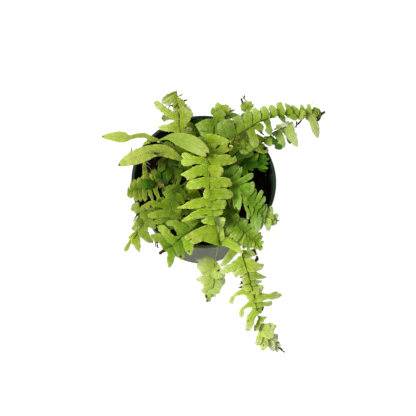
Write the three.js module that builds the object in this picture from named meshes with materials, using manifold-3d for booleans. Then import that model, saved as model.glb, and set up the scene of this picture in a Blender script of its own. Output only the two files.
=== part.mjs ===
// A young boston fern with striped fronds, growing in a plain round nursery pot.
// Units are millimetres, +Z is up. The origin is the middle of the pot's flat
// foot, on the surface it stands on. -Y is the side the long fronds hang over.
import * as THREE from 'three';
import { mergeVertices } from 'three/addons/utils/BufferGeometryUtils.js';
import Module from 'manifold-3d';

const wasm = await Module();
wasm.setup();

// ---------------------------------------------------------------- dimensions
const POT_HEIGHT = 120;          // foot to top of lip
const LIP_RADIUS = 76;           // outside of the lip, a 152 mm pot
const LIP_WIDTH = 3.5;           // flat top of the lip
const LIP_DEPTH = 5;             // height of the rolled lip
const FOOT_RADIUS = 61.2;        // outside of the foot
const WALL = 1.7;                // wall thickness under the lip
const FLOOR = 2.4;               // thickness of the pot's floor
const POT_SIDES = 36;
const DRAIN_HOLES = 8;
const DRAIN_RADIUS = 5;
const DRAIN_CIRCLE = 47;         // radius of the circle the drain holes sit on
const SOIL_TOP = 106;            // 14 mm under the lip
const SOIL_DOME = 1.2;           // the soil is a little higher in the middle
const GAP = 0.35;                // clearance between touching pieces
const CROWN_RADIUS = 13.5;       // scaly rootstock the fronds grow from
const CROWN_TOP = 110.4;
const CROWN_FOOT = 98;
const LEAF_THICKNESS = 1.0;        // at the midrib
const STALK_SIDES = 4;

// ------------------------------------------------------------------- colours
const COLOUR = {
  pot: 0x3f5a44, soil: 0x14100c, crown: 0x4a3a22,
  bright: 0x9fbf3c, mid: 0x7fa636, olive: 0x7d9138, pale: 0xc2d470, dark: 0x3f7d1c,
};

// Outline of one leaflet: two stations between its foot and its tip, each
// [place along the midrib, share of the full width].
const OUTLINE = {
  pointed: [[0.2, 0.92], [0.66, 0.94]],
  blunt: [[0.2, 0.94], [0.86, 0.96]],
  round: [[0.28, 0.98], [0.8, 0.9]],
  thin: [[0.3, 1], [0.7, 0.9]],
};

// Each frond: stalk and midrib points from the crown to the tip, then its
// leaflets as [base, middle, tip, face direction, full width, outline].
const FRONDS = [
  { name: 'center_frond', colour: 'bright', radius: 0.90, steps: 23,
    rod: [[1.1, 5.1, 103.2], [0.7, 7.6, 111.5], [-0.1, 12.3, 119.2], [-3.1, 29.9, 138.1], [-3.6, 33.4, 143.2], [-3.8, 34.1, 147.8], [-3.2, 30.9, 152], [-1.1, 18.3, 160.9], [1.8, -1.1, 170.6], [3.2, -9.9, 173.8], [4.2, -16.3, 175], [5, -22.5, 175.3], [5.8, -30.2, 174.4], [6.5, -35.5, 173], [8.6, -42.1, 170], [12.7, -53.9, 160.4], [15.3, -59.3, 154.3], [19.9, -70.5, 136.5], [20.7, -74.2, 129.6], [19.9, -80.4, 119.2], [17.9, -93.8, 101.5], [17.1, -101.9, 93], [15.5, -118.8, 78]],
    leaflets: [
      [[2.4, -4.5, 172], [-12.9, -5.9, 172], [-21.9, -5.4, 169], [0.01, -0.33, 0.94], 8.5, 'blunt'],
      [[4.2, -16.3, 175], [-8.4, -19.4, 174.2], [-17.4, -23.5, 170], [-0.09, -0.41, 0.91], 8.8, 'blunt'],
      [[5.6, -28.3, 174.8], [-5.7, -30.8, 174.2], [-13.9, -34.9, 170.8], [0.01, -0.2, 0.98], 7.9, 'blunt'],
      [[7.2, -38.1, 172], [3.4, -38.6, 172.3], [1.8, -38.1, 172], [-0.06, -0.25, 0.97], 7.3, 'pointed'],
      [[9.5, -44.7, 168.2], [-6.7, -48.5, 166.7], [-21.7, -51.5, 160.2], [0.01, -0.37, 0.93], 7.7, 'pointed'],
      [[11.7, -51.7, 162.4], [-3, -55, 160.3], [-15.6, -61, 153.4], [0.06, -0.4, 0.91], 6.1, 'pointed'],
      [[14.4, -57.6, 156.6], [7.1, -58.9, 156], [1.9, -59.1, 153.6], [-0.22, -0.43, 0.88], 7.1, 'pointed'],
      [[18.6, -66.7, 142.5], [3.2, -70.2, 145.3], [-7, -76.7, 145.9], [-0.04, -0.34, 0.94], 15.8, 'blunt'],
      [[-1.9, 23.2, 157.5], [10.5, 25.7, 158.3], [22.1, 24.9, 156.2], [0.04, -0.5, 0.86], 8.9, 'pointed'],
      [[0.1, 10.3, 165.4], [14, 12.8, 164.8], [25.9, 17.4, 160.4], [-0.04, -0.36, 0.93], 8.7, 'blunt'],
      [[2.5, -5.3, 172.2], [17.9, -2.6, 171.3], [30.3, 1.2, 166.2], [-0.15, -0.42, 0.9], 10.1, 'pointed'],
      [[4.5, -17.9, 175.2], [12.7, -16.8, 175.1], [17.9, -16.6, 173.2], [-0.08, -0.26, 0.96], 9.0, 'blunt'],
      [[5.7, -28.8, 174.7], [17.5, -26.8, 173.8], [27.3, -25.9, 169.7], [0, -0.25, 0.97], 8.1, 'blunt'],
      [[7.5, -38.9, 171.6], [19.2, -36.8, 170.4], [29.4, -34.9, 165.6], [-0.01, -0.29, 0.96], 8.3, 'blunt'],
      [[10, -46.5, 166.9], [18, -45.7, 166.4], [23.7, -44.7, 163.9], [-0.11, -0.24, 0.96], 7.8, 'blunt'],
      [[11.9, -52.2, 162], [17.4, -51.6, 162.1], [21.3, -50.8, 161], [-0.15, -0.19, 0.97], 5.5, 'blunt'],
      [[19.7, -69.9, 137.5], [18.7, -60, 144.7], [19.8, -54.3, 153.4], [-0.08, -0.04, 1], 10.6, 'blunt'],
      [[20.4, -72.2, 133.4], [33.3, -75.7, 140.1], [43.6, -84.5, 146.4], [-0.13, -0.21, 0.97], 7.5, 'blunt'],
      [[18.4, -91.1, 105], [8.5, -89.8, 104.6], [2.7, -89.3, 102], [-0.04, -0.12, 0.99], 16.4, 'blunt'],
      [[17.3, -98.8, 96], [10.3, -102.4, 95.2], [4, -102.5, 92], [0.05, -0.04, 1], 14.6, 'blunt'],
      [[16.6, -109.7, 86.2], [12.8, -111.4, 85.4], [8.9, -111.6, 83.2], [0.01, -0.2, 0.98], 9.4, 'blunt'],
      [[18.5, -90.6, 105.7], [25.2, -96, 105.2], [30.6, -97.7, 102.7], [-0.13, -0.24, 0.96], 12.0, 'pointed'],
      [[17.2, -100.9, 94], [27.1, -103, 93.1], [30.9, -102.3, 90], [0.08, -0.07, 0.99], 19.0, 'blunt'],
      [[16.4, -111.9, 84.2], [20.4, -114.5, 83.3], [21.9, -115.7, 81.2], [-0.11, -0.11, 0.99], 7.7, 'pointed'],
      [[15.7, -117.5, 79.2], [16.9, -118.5, 79], [18.5, -119.2, 78.2], [-0.05, -0.13, 0.99], 2.5, 'pointed'],
    ] },
  { name: 'front_right_frond', colour: 'bright', radius: 0.85, steps: 21,
    rod: [[6.6, -8.1, 103.2], [6.9, -11.4, 115.8], [7.4, -17.6, 126], [7.9, -21.5, 129.9], [8.8, -25.8, 132.9], [10, -30.4, 134.8], [16.6, -47.5, 135.6], [25, -63.6, 133.5], [33.4, -72.7, 134], [41.8, -80.3, 137.5], [44.1, -85.9, 138.5], [46.3, -91.5, 137.8], [50.6, -101.1, 134], [56.3, -113.9, 124.5], [60.5, -122.5, 115.8], [72.3, -147, 87.4], [75.8, -150.2, 83], [79.6, -152.5, 79.3], [87.5, -154.9, 73.2], [95.6, -160.9, 67], [100.2, -162.8, 65]],
    leaflets: [
      [[38.2, -76.8, 135.8], [30.6, -88, 134.6], [24.3, -94.1, 129.8], [0.02, -0.26, 0.96], 6.0, 'blunt'],
      [[45.3, -89, 138.3], [34.4, -96.7, 136.4], [24, -100.8, 130.3], [-0.09, -0.06, 0.99], 7.6, 'blunt'],
      [[48.1, -95.6, 136.6], [41.6, -100.6, 135.6], [39.6, -105.1, 132.6], [-0.1, -0.16, 0.98], 6.5, 'blunt'],
      [[51.3, -102.8, 133], [47.1, -107.1, 133.1], [44.6, -110.5, 132], [-0.09, -0.28, 0.96], 7.6, 'pointed'],
      [[54.3, -110, 127.7], [49.4, -112.3, 127.8], [44.9, -112.9, 126.7], [-0.11, -0.05, 0.99], 6.3, 'pointed'],
      [[57.2, -115.9, 122.7], [44.3, -117.6, 121.1], [36.9, -126.7, 115.7], [-0.09, -0.1, 0.99], 6.5, 'blunt'],
      [[61, -123.6, 114.5], [51.3, -129, 113.1], [48.5, -137.8, 108.5], [0.02, -0.14, 0.99], 4.6, 'blunt'],
      [[63.8, -129.1, 108], [58.3, -139.2, 106.3], [56.6, -148.8, 101], [-0.24, -0.11, 0.96], 7.2, 'blunt'],
      [[68.2, -138.7, 96.7], [66, -143.9, 96], [64.5, -147.8, 93.7], [-0.3, -0.15, 0.94], 4.3, 'blunt'],
      [[71.4, -145.6, 89.2], [70.2, -153.2, 87.9], [69.7, -159.7, 84.2], [-0.09, 0.12, 0.99], 5.5, 'blunt'],
      [[73.9, -148.7, 85.2], [75.5, -157.1, 84], [74.9, -164.1, 80.2], [-0.15, -0.07, 0.99], 6.6, 'blunt'],
      [[80.9, -153.1, 78.2], [84.1, -158.6, 77.3], [86.9, -163.5, 74.2], [-0.12, -0.1, 0.99], 6.1, 'pointed'],
      [[88.3, -155.3, 72.7], [90.7, -159.2, 71.9], [91.1, -163.6, 69.7], [-0.07, -0.18, 0.98], 4.7, 'pointed'],
      [[43.4, -83.4, 138.2], [51, -82, 138.2], [57.7, -81.6, 136.2], [-0.05, -0.3, 0.95], 6.6, 'pointed'],
      [[46.4, -91.7, 137.8], [56.8, -92.7, 136.8], [65.1, -90.2, 132.8], [-0.14, -0.1, 0.98], 10.4, 'pointed'],
      [[50.9, -101.7, 133.6], [59.9, -101.5, 132.9], [68.6, -101.6, 129.6], [-0.06, -0.24, 0.97], 6.7, 'pointed'],
      [[53, -107.2, 129.7], [59.3, -106.9, 129.6], [64.8, -105.3, 127.7], [-0.24, -0.26, 0.94], 4.5, 'pointed'],
      [[55.5, -112.3, 125.9], [62.2, -112.6, 125.2], [65.7, -113.5, 122.9], [-0.32, -0.09, 0.94], 8.0, 'blunt'],
      [[59, -119.4, 119.1], [73, -117.5, 118.1], [86.2, -114.2, 113.1], [-0.01, -0.21, 0.98], 6.5, 'blunt'],
      [[61.5, -124.6, 113.4], [70.3, -124, 113], [77.7, -121.9, 110.4], [-0.06, -0.25, 0.97], 4.5, 'blunt'],
      [[63.6, -128.8, 108.4], [68.1, -128.2, 108.3], [70.2, -127.9, 107.4], [0.05, -0.14, 0.99], 6.4, 'pointed'],
      [[67.1, -136.3, 99.4], [71.4, -135.9, 99.4], [75.2, -134, 98.4], [-0.1, -0.19, 0.98], 4.5, 'pointed'],
      [[71, -144.8, 90], [80.5, -145.4, 89.5], [84.6, -144.2, 87], [-0.16, -0.12, 0.98], 13.1, 'pointed'],
      [[82.5, -153.7, 76.9], [87.8, -150.2, 76.5], [90.7, -150.2, 74.9], [-0.15, -0.18, 0.97], 7.0, 'pointed'],
    ] },
  { name: 'back_right_frond', colour: 'bright', radius: 0.85, steps: 16,
    rod: [[4.8, 2, 103.2], [5.2, 6.6, 127.4], [6.5, 11.7, 140.5], [8.3, 14.9, 145.6], [11.1, 18.5, 149.5], [15.2, 22.5, 152], [23.5, 29.7, 155], [34.1, 37.2, 158], [41.2, 42.9, 158.9], [49.2, 49.8, 158.9], [56.8, 54.6, 157.7], [65.8, 61.2, 155.1], [77.3, 66.7, 151], [84.2, 68.6, 148], [93.8, 74, 144.3], [106.3, 79.3, 138.6], [111.3, 80.1, 136.2], [118.2, 79.1, 133]],
    leaflets: [
      [[21.6, 28.1, 154.3], [14.4, 39.1, 157.3], [12.9, 46, 159.3], [-0.04, -0.29, 0.95], 9.5, 'blunt'],
      [[25.6, 31.1, 155.7], [20.7, 39.1, 162.5], [18.7, 43, 169.2], [-0.1, -0.43, 0.9], 8.6, 'blunt'],
      [[31.2, 34.8, 157.3], [29.1, 45.1, 160.2], [28.4, 52.3, 162.3], [-0.04, -0.43, 0.9], 8.9, 'blunt'],
      [[38, 40.5, 158.7], [37.9, 50.7, 161.3], [38.2, 60.4, 162.7], [-0.15, -0.4, 0.9], 8.0, 'blunt'],
      [[44.6, 45.8, 159.1], [45.7, 55.4, 161.5], [44.3, 62.3, 163.1], [-0.11, -0.47, 0.88], 9.2, 'blunt'],
      [[54.1, 52.9, 158.3], [55.2, 60.8, 160.2], [53, 66.8, 161.3], [0.06, -0.53, 0.85], 8.4, 'blunt'],
      [[62.7, 59.1, 156], [63.8, 65.2, 157.8], [62.1, 70.1, 159], [-0.13, -0.51, 0.85], 7.5, 'blunt'],
      [[71.5, 64, 153.2], [71.7, 71.4, 154.7], [71.4, 77.8, 155.2], [-0.11, -0.44, 0.89], 6.9, 'blunt'],
      [[80.3, 67.6, 149.7], [80.7, 74.5, 151.2], [76.6, 79.7, 151.7], [-0.06, -0.47, 0.88], 6.5, 'pointed'],
      [[88.1, 70.9, 146.5], [87.6, 76.8, 147.4], [84.1, 81.2, 147.5], [-0.19, -0.46, 0.87], 6.3, 'pointed'],
      [[96.6, 75.3, 143.1], [96.5, 80.3, 144], [94.9, 85.3, 144.1], [-0.18, -0.4, 0.9], 5.5, 'pointed'],
      [[104.1, 78.5, 139.7], [104.2, 83.7, 140.6], [104.2, 89.2, 140.7], [-0.17, -0.44, 0.88], 5.2, 'pointed'],
      [[42, 43.5, 159], [45.4, 31.6, 158.1], [49.2, 23.7, 154], [-0.08, -0.41, 0.91], 7.3, 'blunt'],
      [[47.6, 48.6, 159], [51.8, 42.2, 158.4], [53.7, 38.6, 156], [0.05, -0.34, 0.94], 6.8, 'pointed'],
      [[57.6, 55.1, 157.4], [60.6, 45.8, 156.6], [61.5, 40.5, 153.4], [-0.12, -0.48, 0.87], 4.9, 'blunt'],
      [[72.7, 64.5, 152.7], [75.3, 60.2, 152.3], [77.9, 58.3, 150.7], [-0, -0.41, 0.91], 4.0, 'blunt'],
      [[82, 67.9, 148.9], [86.7, 65.7, 148.6], [90.8, 64.9, 146.9], [-0.03, -0.32, 0.95], 5.7, 'pointed'],
      [[92.9, 73.6, 144.6], [96.2, 69.2, 144.2], [98.5, 69.1, 142.6], [-0.2, -0.33, 0.92], 10.6, 'pointed'],
      [[106.1, 79.2, 138.7], [111.2, 64.2, 138.5], [115.4, 52.7, 134.7], [-0.05, -0.36, 0.93], 8.7, 'blunt'],
      [[109.8, 80.1, 136.9], [110.3, 82.6, 137.6], [110.5, 85.2, 137.9], [0.05, -0.33, 0.94], 2.9, 'pointed'],
      [[114.5, 79.7, 134.7], [115.5, 83.7, 135.8], [116.7, 85.6, 136.7], [-0.35, -0.37, 0.86], 5.9, 'blunt'],
    ] },
  { name: 'right_shoulder_frond', colour: 'mid', radius: 0.70, steps: 11,
    rod: [[10.5, 0.6, 103.2], [11.7, 1.2, 109.3], [13.8, 2.3, 114.6], [20.2, 5.5, 122.8], [23.9, 7.7, 126], [31.8, 13, 131], [44.8, 25, 138], [57.2, 37.4, 142.4], [63.2, 43.2, 143.5], [66.1, 47.5, 143.6], [76.4, 56.7, 141.1], [87.4, 65.9, 137]],
    leaflets: [
      [[71.4, 52.1, 142.7], [75.5, 41.8, 142], [79.1, 35, 138.7], [-0.12, -0.38, 0.92], 7.7, 'blunt'],
      [[79.9, 59.9, 139.9], [86.5, 49, 139.9], [93.5, 40.1, 136.9], [-0.3, -0.36, 0.88], 10.9, 'blunt'],
      [[74.9, 55.2, 141.6], [77, 60.1, 142.4], [78.5, 62, 142.6], [-0.13, -0.43, 0.89], 12.4, 'blunt'],
      [[60.8, 41.1, 143.2], [62.5, 37.4, 142.4], [64.8, 34.2, 140.2], [-0.24, -0.42, 0.87], 7.1, 'pointed'],
      [[79.5, 59.5, 140], [83.8, 50.9, 134.2], [89.1, 48.8, 122.8], [-0.27, -0.35, 0.9], 2.8, 'blunt'],
      [[63.9, 44, 143.5], [67.5, 39, 142.2], [72, 38.7, 139.2], [-0.05, -0.49, 0.87], 5.0, 'blunt'],
      [[63.3, 43.4, 143.5], [70.3, 36.3, 141.9], [76.8, 33.5, 137.5], [-0.17, -0.45, 0.88], 3.5, 'blunt'],
      [[52.3, 32.4, 141], [58.3, 28.9, 140.4], [63.7, 28.7, 138], [-0.14, -0.33, 0.93], 8.0, 'pointed'],
      [[48.5, 28.6, 139.6], [43.4, 35.2, 139.2], [40.2, 43.5, 135.5], [0.12, -0.44, 0.89], 7.9, 'blunt'],
      [[56.1, 36.3, 142.1], [51.6, 40.2, 143.4], [49.7, 44.2, 144.1], [-0.09, -0.44, 0.9], 7.3, 'blunt'],
    ] },
  { name: 'back_left_frond', colour: 'mid', radius: 0.75, steps: 10,
    rod: [[-3.6, 3.8, 103.2], [-6.1, 5.9, 117.7], [-10.5, 9.6, 129.4], [-16.1, 15.2, 138.8], [-22.2, 22.9, 146], [-29.1, 34.3, 154.2], [-30.9, 45.3, 159.7], [-33.3, 58.1, 162.9], [-34.6, 67.3, 163.5], [-36.5, 75.8, 163]],
    leaflets: [
      [[-31, 45.8, 159.8], [-45.1, 52.6, 159.5], [-57.7, 63, 154.8], [0.02, -0.34, 0.94], 8.0, 'blunt'],
      [[-29.9, 37.2, 156], [-40.4, 36.2, 155.1], [-51, 37.4, 151], [0.06, -0.38, 0.93], 8.9, 'pointed'],
      [[-31.1, 46.9, 160.2], [-40.8, 48.7, 154.5], [-48.4, 50.7, 144.4], [0.06, -0.59, 0.8], 5.4, 'blunt'],
      [[-35.6, 72.1, 163.3], [-43.6, 67.5, 164.1], [-49.5, 62.2, 163.3], [-0.11, -0.66, 0.74], 2.9, 'blunt'],
      [[-35, 69.2, 163.4], [-42, 62.8, 164.3], [-49.2, 59.2, 163.4], [0.22, -0.47, 0.86], 3.0, 'blunt'],
      [[-34.5, 66.6, 163.5], [-39.6, 60.5, 163.8], [-45.4, 56.8, 162.5], [-0.03, -0.33, 0.94], 2.4, 'pointed'],
      [[-34.1, 63.8, 163.4], [-36.4, 58.2, 165.1], [-38.7, 54, 166.2], [0.07, -0.43, 0.9], 2.8, 'blunt'],
      [[-33.2, 57.7, 162.8], [-35.2, 54.8, 162.7], [-37, 53.4, 161.8], [0.14, -0.36, 0.92], 4.7, 'pointed'],
      [[-32.2, 53.5, 162.1], [-35.1, 52.9, 160.4], [-37.1, 53.7, 157.6], [-0.04, -0.4, 0.92], 4.3, 'pointed'],
      [[-30.7, 43.5, 159], [-23.4, 51.5, 160.5], [-21.4, 58.3, 159.8], [0.16, -0.5, 0.85], 17.3, 'blunt'],
      [[-33.6, 60, 163.1], [-28.4, 60.4, 162.1], [-26.6, 61.8, 159.8], [0.05, -0.46, 0.89], 11.0, 'pointed'],
      [[-28.6, 33.1, 153.3], [-21.6, 36.4, 152.5], [-16.9, 41.6, 149.3], [0.18, -0.39, 0.9], 5.4, 'pointed'],
      [[-31, 45.8, 159.8], [-32, 57.8, 158.3], [-33.4, 67, 153.6], [0.09, -0.57, 0.81], 5.2, 'blunt'],
      [[-30.4, 41.6, 158.2], [-31.4, 52.2, 156.8], [-32.6, 59.3, 152.2], [0.06, -0.43, 0.9], 5.4, 'pointed'],
    ] },
  { name: 'back_center_frond', colour: 'mid', radius: 0.70, steps: 8,
    rod: [[-0.1, 10.5, 103.2], [1.7, 12.5, 119.5], [3.3, 14.8, 128.5], [4.4, 19.3, 135.9], [4.6, 27.4, 142.8], [4.8, 35.3, 146.5], [5.7, 46.4, 148.6], [8.2, 57.6, 149.1], [11.7, 70.5, 148]],
    leaflets: [
      [[7.7, 55.8, 149.1], [3.1, 64.1, 149.4], [2.3, 68.9, 148.1], [-0.02, -0.38, 0.92], 4.5, 'pointed'],
      [[9.8, 63.2, 148.8], [8.9, 70, 149.8], [7.8, 73.9, 149.8], [0.03, -0.37, 0.93], 8.0, 'blunt'],
      [[10.1, 64.3, 148.7], [16.4, 66.7, 151.2], [20.6, 66.7, 152.8], [-0.07, -0.53, 0.85], 6.7, 'pointed'],
      [[9, 60.2, 149], [18.5, 64.9, 148.6], [25.3, 70.2, 145.8], [0.14, -0.3, 0.94], 2.5, 'pointed'],
      [[6.7, 52.1, 149], [20.8, 60.5, 148.4], [32.2, 63.8, 144], [0.07, -0.39, 0.92], 5.7, 'blunt'],
      [[6.9, 52.8, 149], [10.1, 58, 153.1], [9.8, 60.8, 156.8], [-0.02, -0.42, 0.91], 9.5, 'pointed'],
      [[5.8, 47.2, 148.7], [-4.7, 46.2, 148.8], [-13.2, 45.7, 146.7], [0.15, -0.35, 0.92], 11.1, 'blunt'],
      [[5, 40, 147.6], [-3, 40.3, 144], [-9.1, 43.1, 137.6], [-0.04, -0.39, 0.92], 8.7, 'blunt'],
      [[5.7, 46.6, 148.6], [9.9, 45.8, 148.1], [11.5, 47.2, 146.6], [0.06, -0.4, 0.91], 10.6, 'pointed'],
      [[4.7, 30.9, 144.9], [-4.6, 31.1, 144.6], [-12.3, 32.5, 141.9], [-0.1, -0.35, 0.93], 8.3, 'pointed'],
    ] },
  { name: 'back_curled_frond', colour: 'olive', radius: 0.60, steps: 10,
    rod: [[5.9, 8.7, 103.2], [8.2, 10.7, 114.9], [12.3, 14.3, 124.2], [17.2, 19.8, 131.2], [22, 27.2, 136], [26.9, 36.6, 140.1], [29.1, 42.1, 141.7], [33, 54.6, 144], [36.1, 68.3, 146], [38.6, 74, 146.8], [36.9, 80.8, 147.8], [32.3, 83.5, 148.5]],
    leaflets: [
      [[37.5, 71.7, 146.5], [40, 77.5, 147.4], [41.4, 80.3, 147.5], [-0.08, -0.45, 0.89], 8.2, 'blunt'],
      [[37, 70.6, 146.3], [33.5, 74.2, 147.1], [31.4, 74.2, 147.3], [-0.03, -0.55, 0.83], 6.0, 'blunt'],
      [[34.5, 61, 145], [34.5, 63.7, 146.4], [34, 65.9, 147.5], [-0.14, -0.36, 0.92], 3.1, 'pointed'],
      [[30.7, 46.7, 142.7], [35.5, 49.9, 142], [39.8, 53.1, 139.7], [0.02, -0.27, 0.96], 7.6, 'pointed'],
      [[32.1, 51.4, 143.4], [25, 52.4, 142.9], [20.8, 54.2, 140.4], [-0.1, -0.38, 0.92], 6.3, 'pointed'],
    ] },
  { name: 'twin_strap_frond', colour: 'pale', radius: 0.70, steps: 7,
    rod: [[-5.1, -0.8, 103.2], [-6.4, 0.3, 111.3], [-8.3, 2.3, 118.4], [-10.9, 4.9, 124.7], [-17.5, 10.4, 135.5], [-25.7, 14, 145.1], [-37.9, 13.7, 158], [-47.5, 15.2, 165]],
    leaflets: [
    ] },
  { name: 'strap_leaf', colour: 'pale', radius: 0.65, steps: 6,
    rod: [[-9.2, -2.6, 103.2], [-4.8, -0.5, 126.9], [-5.7, -0.1, 134.5], [-13.5, 0.5, 145.5], [-20.9, 1.9, 152]],
    leaflets: [
    ] },
  { name: 'front_left_frond', colour: 'mid', radius: 0.75, steps: 11,
    rod: [[-2.2, -7.4, 103.2], [-1.6, -9.2, 111.5], [-0.5, -12.6, 118.6], [1.1, -17, 124.6], [2.6, -22.4, 129.7], [3.9, -28.5, 133.8], [4.5, -34.9, 137.2], [4.3, -41.6, 139.9], [-0.3, -57, 144.6], [-1.9, -60.3, 145.3], [-6.1, -65.3, 145.5], [-11.3, -69.8, 144.3], [-17.4, -74.7, 141.2], [-25.8, -81.4, 135.5], [-31.3, -85.1, 131], [-35.7, -86.9, 127]],
    leaflets: [
      [[-25.8, -81.4, 135.5], [-35.1, -75.2, 136.6], [-45.6, -73.5, 135.5], [-0.03, -0.14, 0.99], 10.8, 'blunt'],
      [[-18.6, -75.7, 140.5], [-28.6, -72.2, 142.3], [-37.9, -66.8, 142.5], [0.02, -0.27, 0.96], 7.8, 'blunt'],
      [[-11.5, -70, 144.2], [-20.9, -63.5, 146.5], [-31.7, -62.2, 147.2], [0.07, -0.38, 0.92], 9.8, 'pointed'],
      [[-5.3, -64.5, 145.5], [-12, -57.6, 143.2], [-17.6, -52.6, 139.1], [0.13, -0.29, 0.95], 11.7, 'pointed'],
      [[-26.8, -82.1, 134.7], [-23.6, -91.1, 132.9], [-25, -100.6, 127.7], [0.19, -0.18, 0.97], 9.5, 'pointed'],
      [[-19.3, -76.3, 140], [-14.9, -85.4, 138.6], [-12.3, -93.7, 134], [0.24, -0.25, 0.94], 10.6, 'pointed'],
      [[-12.2, -70.4, 143.9], [-7.7, -80.3, 141.9], [-6.1, -88.7, 136.5], [-0.09, -0.2, 0.98], 10.3, 'pointed'],
    ] },
  { name: 'left_low_frond', colour: 'bright', radius: 0.65, steps: 10,
    rod: [[-7.8, -7, 103.2], [-8.8, -8.2, 109.6], [-10.6, -10.2, 114.9], [-13, -13, 119.3], [-16, -16.4, 122.9], [-22.7, -24.3, 128.2], [-39.8, -45.2, 137], [-48.4, -54, 138.5], [-53.5, -60.2, 137], [-57.1, -66.4, 133.2], [-64.2, -74, 124]],
    leaflets: [
      [[-42.2, -47.9, 137.7], [-49, -48, 137.9], [-54.7, -47, 136.7], [0.18, -0.37, 0.91], 6.9, 'pointed'],
      [[-47.6, -53.3, 138.5], [-53, -51.8, 138.2], [-57.7, -48.7, 136.5], [0.04, -0.23, 0.97], 5.5, 'pointed'],
      [[-48.4, -54, 138.5], [-59.2, -51, 141.8], [-66.6, -50.9, 142.8], [0.12, -0.23, 0.96], 8.2, 'blunt'],
      [[-52.3, -58.6, 137.6], [-60, -61.8, 137.2], [-65.2, -67.5, 134.6], [0.09, -0.23, 0.97], 11.0, 'pointed'],
      [[-53.5, -60.2, 137], [-57.4, -61.3, 138.4], [-59.8, -65.2, 139.4], [0.14, -0.06, 0.99], 6.6, 'pointed'],
      [[-50.4, -56.2, 138.3], [-46, -62.1, 137.3], [-42.8, -65.5, 134.3], [0.09, -0.38, 0.92], 9.5, 'blunt'],
      [[-55.5, -63.7, 135.2], [-49.9, -72.9, 132.5], [-43, -76.7, 126.3], [-0.08, -0.34, 0.94], 9.4, 'pointed'],
      [[-58.5, -68.1, 131.4], [-63.2, -72.9, 130.8], [-67.5, -74.6, 128.4], [0.2, -0.29, 0.94], 7.2, 'pointed'],
      [[-60.8, -70.1, 129], [-58.6, -79.5, 127.1], [-56.4, -86.2, 122], [0.07, -0.27, 0.96], 8.8, 'pointed'],
      [[-63.9, -73.6, 124.5], [-67.4, -80.4, 122.8], [-71.1, -85, 118.5], [0.34, -0.2, 0.92], 3.0, 'blunt'],
      [[-43.3, -48.9, 137.9], [-40.3, -52.6, 137.2], [-40, -55.6, 134.9], [-0.03, -0.27, 0.96], 6.5, 'pointed'],
    ] },
  { name: 'left_small_frond', colour: 'olive', radius: 0.55, steps: 8,
    rod: [[-10.4, -1.3, 103.2], [-11.2, -1.6, 107.8], [-14.4, -2.6, 115.6], [-19.3, -4.3, 121.6], [-25.2, -6.7, 125.7], [-39.2, -13.2, 130.4], [-54.2, -19.5, 133.3], [-68.5, -26, 132.5], [-74.5, -29.8, 130]],
    leaflets: [
      [[-68.6, -26.1, 132.5], [-71, -22.1, 133.3], [-72.3, -18.1, 133.5], [0.01, -0.32, 0.95], 4.2, 'blunt'],
      [[-65.7, -25, 132.9], [-67.5, -20.4, 135], [-69, -16.3, 136.6], [0.2, -0.17, 0.96], 4.4, 'blunt'],
      [[-62, -23.3, 133.3], [-63, -18.7, 136.1], [-64.6, -14.7, 138.4], [0.07, -0.25, 0.96], 4.9, 'blunt'],
      [[-57, -20.9, 133.5], [-58.5, -14.9, 134.5], [-59.5, -9.3, 134.5], [0.07, -0.37, 0.93], 6.7, 'blunt'],
      [[-52.2, -18.6, 133.1], [-53.9, -12.4, 133.5], [-56.8, -5.9, 132.7], [-0.05, -0.23, 0.97], 4.7, 'blunt'],
      [[-46.4, -16.2, 132.1], [-48.9, -8.4, 132.6], [-51.8, -0.8, 131.7], [0.13, -0.26, 0.96], 6.7, 'blunt'],
      [[-73.2, -28.8, 130.7], [-74.3, -26.3, 131.4], [-75.1, -23.4, 131.7], [0.05, -0.26, 0.96], 2.7, 'pointed'],
      [[-73.6, -29.2, 130.5], [-73.6, -30.4, 130.6], [-75.1, -30.3, 130.5], [0.09, -0.19, 0.98], 3.5, 'pointed'],
      [[-69.7, -26.6, 132.2], [-70.4, -31.2, 131.8], [-72.2, -33.8, 130.2], [0, -0.35, 0.94], 3.6, 'blunt'],
      [[-65.7, -25, 132.9], [-65.6, -31.7, 132.3], [-66.1, -36.3, 129.9], [0.13, -0.4, 0.91], 4.7, 'blunt'],
      [[-61, -22.8, 133.4], [-60.7, -30.8, 132.9], [-60.7, -36.6, 130.4], [0.17, -0.18, 0.97], 5.0, 'blunt'],
      [[-57.7, -21.2, 133.5], [-57.1, -30.1, 133.7], [-56.2, -36.6, 131.9], [0.06, -0.32, 0.94], 4.0, 'blunt'],
      [[-53.5, -19.2, 133.2], [-51.7, -28.1, 132.9], [-49, -34.5, 130.2], [0.09, -0.16, 0.98], 3.9, 'pointed'],
      [[-48.4, -17, 132.5], [-45.8, -26.5, 132.2], [-42.3, -33.3, 129.5], [0.1, -0.45, 0.89], 3.9, 'pointed'],
      [[-57.2, -21, 133.5], [-59.4, -9.5, 137], [-61.3, 3.2, 138.5], [0.17, -0.36, 0.92], 3.3, 'blunt'],
    ] },
  { name: 'mid_left_frond', colour: 'mid', radius: 0.70, steps: 10,
    rod: [[-2.3, -4.7, 103.2], [-4.6, -5, 124.6], [-7.1, -5.9, 136.6], [-8.8, -7.5, 141.4], [-10.8, -10, 145.3], [-13.3, -14, 148], [-19.6, -24.7, 152], [-23.7, -32.1, 153], [-25.6, -36.5, 152.8], [-27.5, -44.2, 151], [-28.5, -50, 148.7], [-30, -58.3, 144], [-31.6, -63.2, 140]],
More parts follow.
